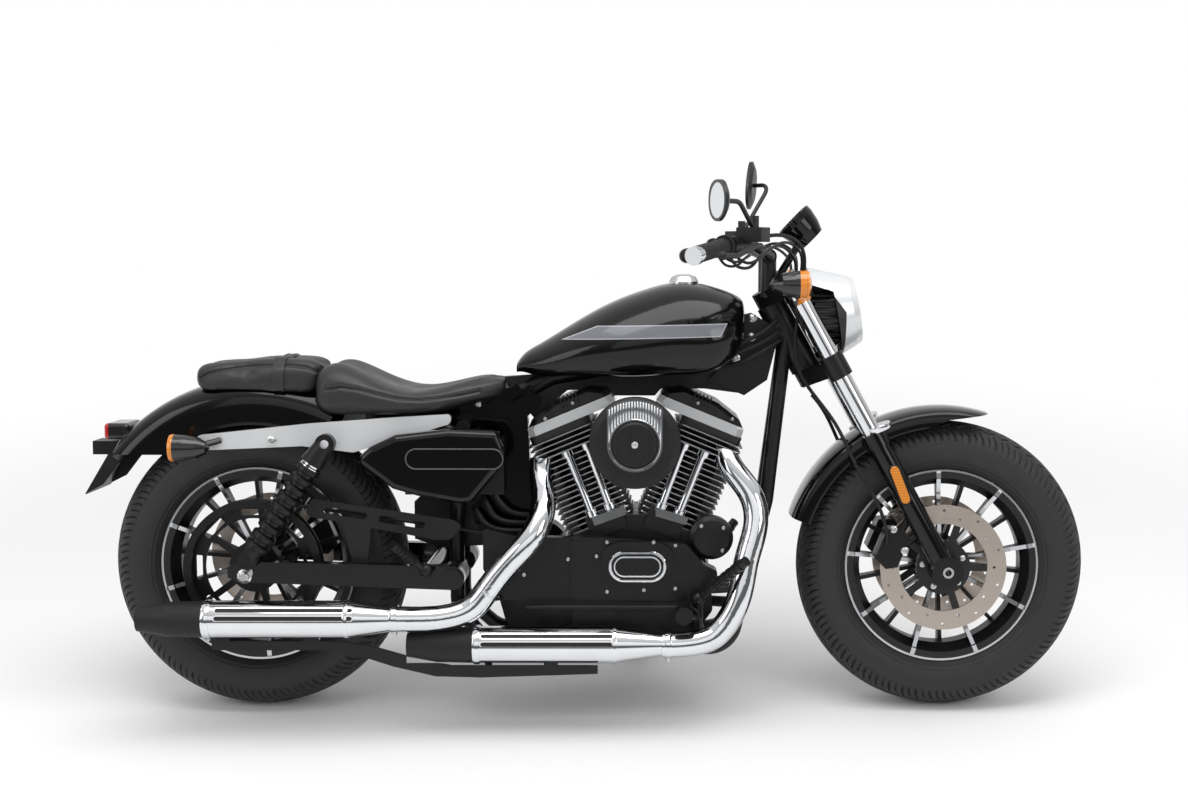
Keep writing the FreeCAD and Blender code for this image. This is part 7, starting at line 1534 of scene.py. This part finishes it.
# %% Lamps
for name, place, target, size, watts in (
    ("overhead_box", (0.2, -0.6, 3.2), (0, 0, 0.4), (3.6, 1.6), 60),
    ("front_box", (2.6, -2.2, 2.0), (0.4, 0, 0.5), (1.2, 1.6), 18),
    ("camera_box", (0.2, -4.6, 2.6), (0, 0, 0.6), (5.2, 2.0), 22),
    ("rear_box", (-2.6, -1.8, 1.8), (-0.4, 0, 0.5), (1.2, 1.6), 14),
):
    data = bpy.data.lights.new(name, "AREA")
    data.shape, data.energy = "RECTANGLE", watts
    data.size, data.size_y = size
    aim = (Vector(target) - Vector(place)).to_track_quat("-Z", "Y").to_matrix().to_4x4()
    linked(name, data).matrix_world = Matrix.Translation(place) @ aim
    print(name, watts, "watts")

# %% [markdown]
# ## Floor
# A pale floor keeps the soft shadow under the machine, and turns to plain white further out, where
# nothing stands. The white is only for the camera, reflections and glass, and lights nothing.

# %% Floor
FLOOR_HALF = 30
SHADOW_REACH, WHITE_REACH = 1.2, 3.2

floor_mesh = bpy.data.meshes.new("floor")
floor_mesh.from_pydata([(x * FLOOR_HALF, y * FLOOR_HALF, 0) for x, y in (
    (-1, -1), (1, -1), (1, 1), (-1, 1))], [], [(0, 1, 2, 3)])
linked("floor", floor_mesh)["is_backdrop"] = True
paper, tree, place = new_finish("pale_floor_paper")
path = add(tree, "ShaderNodeLightPath").node.outputs
seen = path["Is Camera Ray"]
for ray in ("Is Glossy Ray", "Is Transmission Ray"):
    seen = add(tree, "maximum", seen, path[ray])
fade = add(tree, "soft_range", add(tree, "length", place), SHADOW_REACH, WHITE_REACH, 0.0, 1.0)
dull = add(tree, "ShaderNodeBsdfDiffuse", Color=(0.86, 0.86, 0.86, 1))
white = add(tree, "ShaderNodeEmission", Color=(1, 1, 1, 1), Strength=1.0)
share = add(tree, "multiply", fade, seen)
add(tree, "ShaderNodeOutputMaterial", add(tree, "ShaderNodeMixShader", share, dull, white))
floor_mesh.materials.append(paper)
print("floor", 2 * FLOOR_HALF, "m across")

# %% [markdown]
# ## The room
# The world is a dim room that is brighter overhead and on the far side, and is white to the camera.

# %% World
world = bpy.data.worlds.new("studio")
bpy.context.scene.world = world
world.use_nodes = True
tree = world.node_tree
tree.nodes.clear()
x, y, z = add(tree, "split", add(tree, "ShaderNodeTexCoord").node.outputs["Generated"]).node.outputs
overhead = add(tree, "soft_range", z, 0.15, 0.95, 0.0, 0.75)
far_side = add(tree, "soft_range", y, -0.6, 0.7, 0.14, 0.7)
path = add(tree, "ShaderNodeLightPath").node.outputs
room = add(tree, "numbers", overhead, far_side, 1.0)
level = add(tree, "numbers", path["Is Camera Ray"], room, 1.0)
add(tree, "ShaderNodeOutputWorld", add(
    tree, "ShaderNodeBackground", Color=(1, 1, 1, 1), Strength=level))
bpy.context.scene.view_settings.view_transform = "Standard"
print("the room is lit by", len(bpy.data.lights), "lamps and", world.name)

# %% [markdown]
# ## The size beside the model's
# The boxes of the CAD model and of the dressed machine are set side by side. The dressed
# machine has to keep to the CAD box.

# %% Sizes and the end
low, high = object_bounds()
{"cad": [list(cad_low), list(cad_high)], "visual": [list(low), list(high)]}
print("visual box", [round(v, 3) for v in high - low])
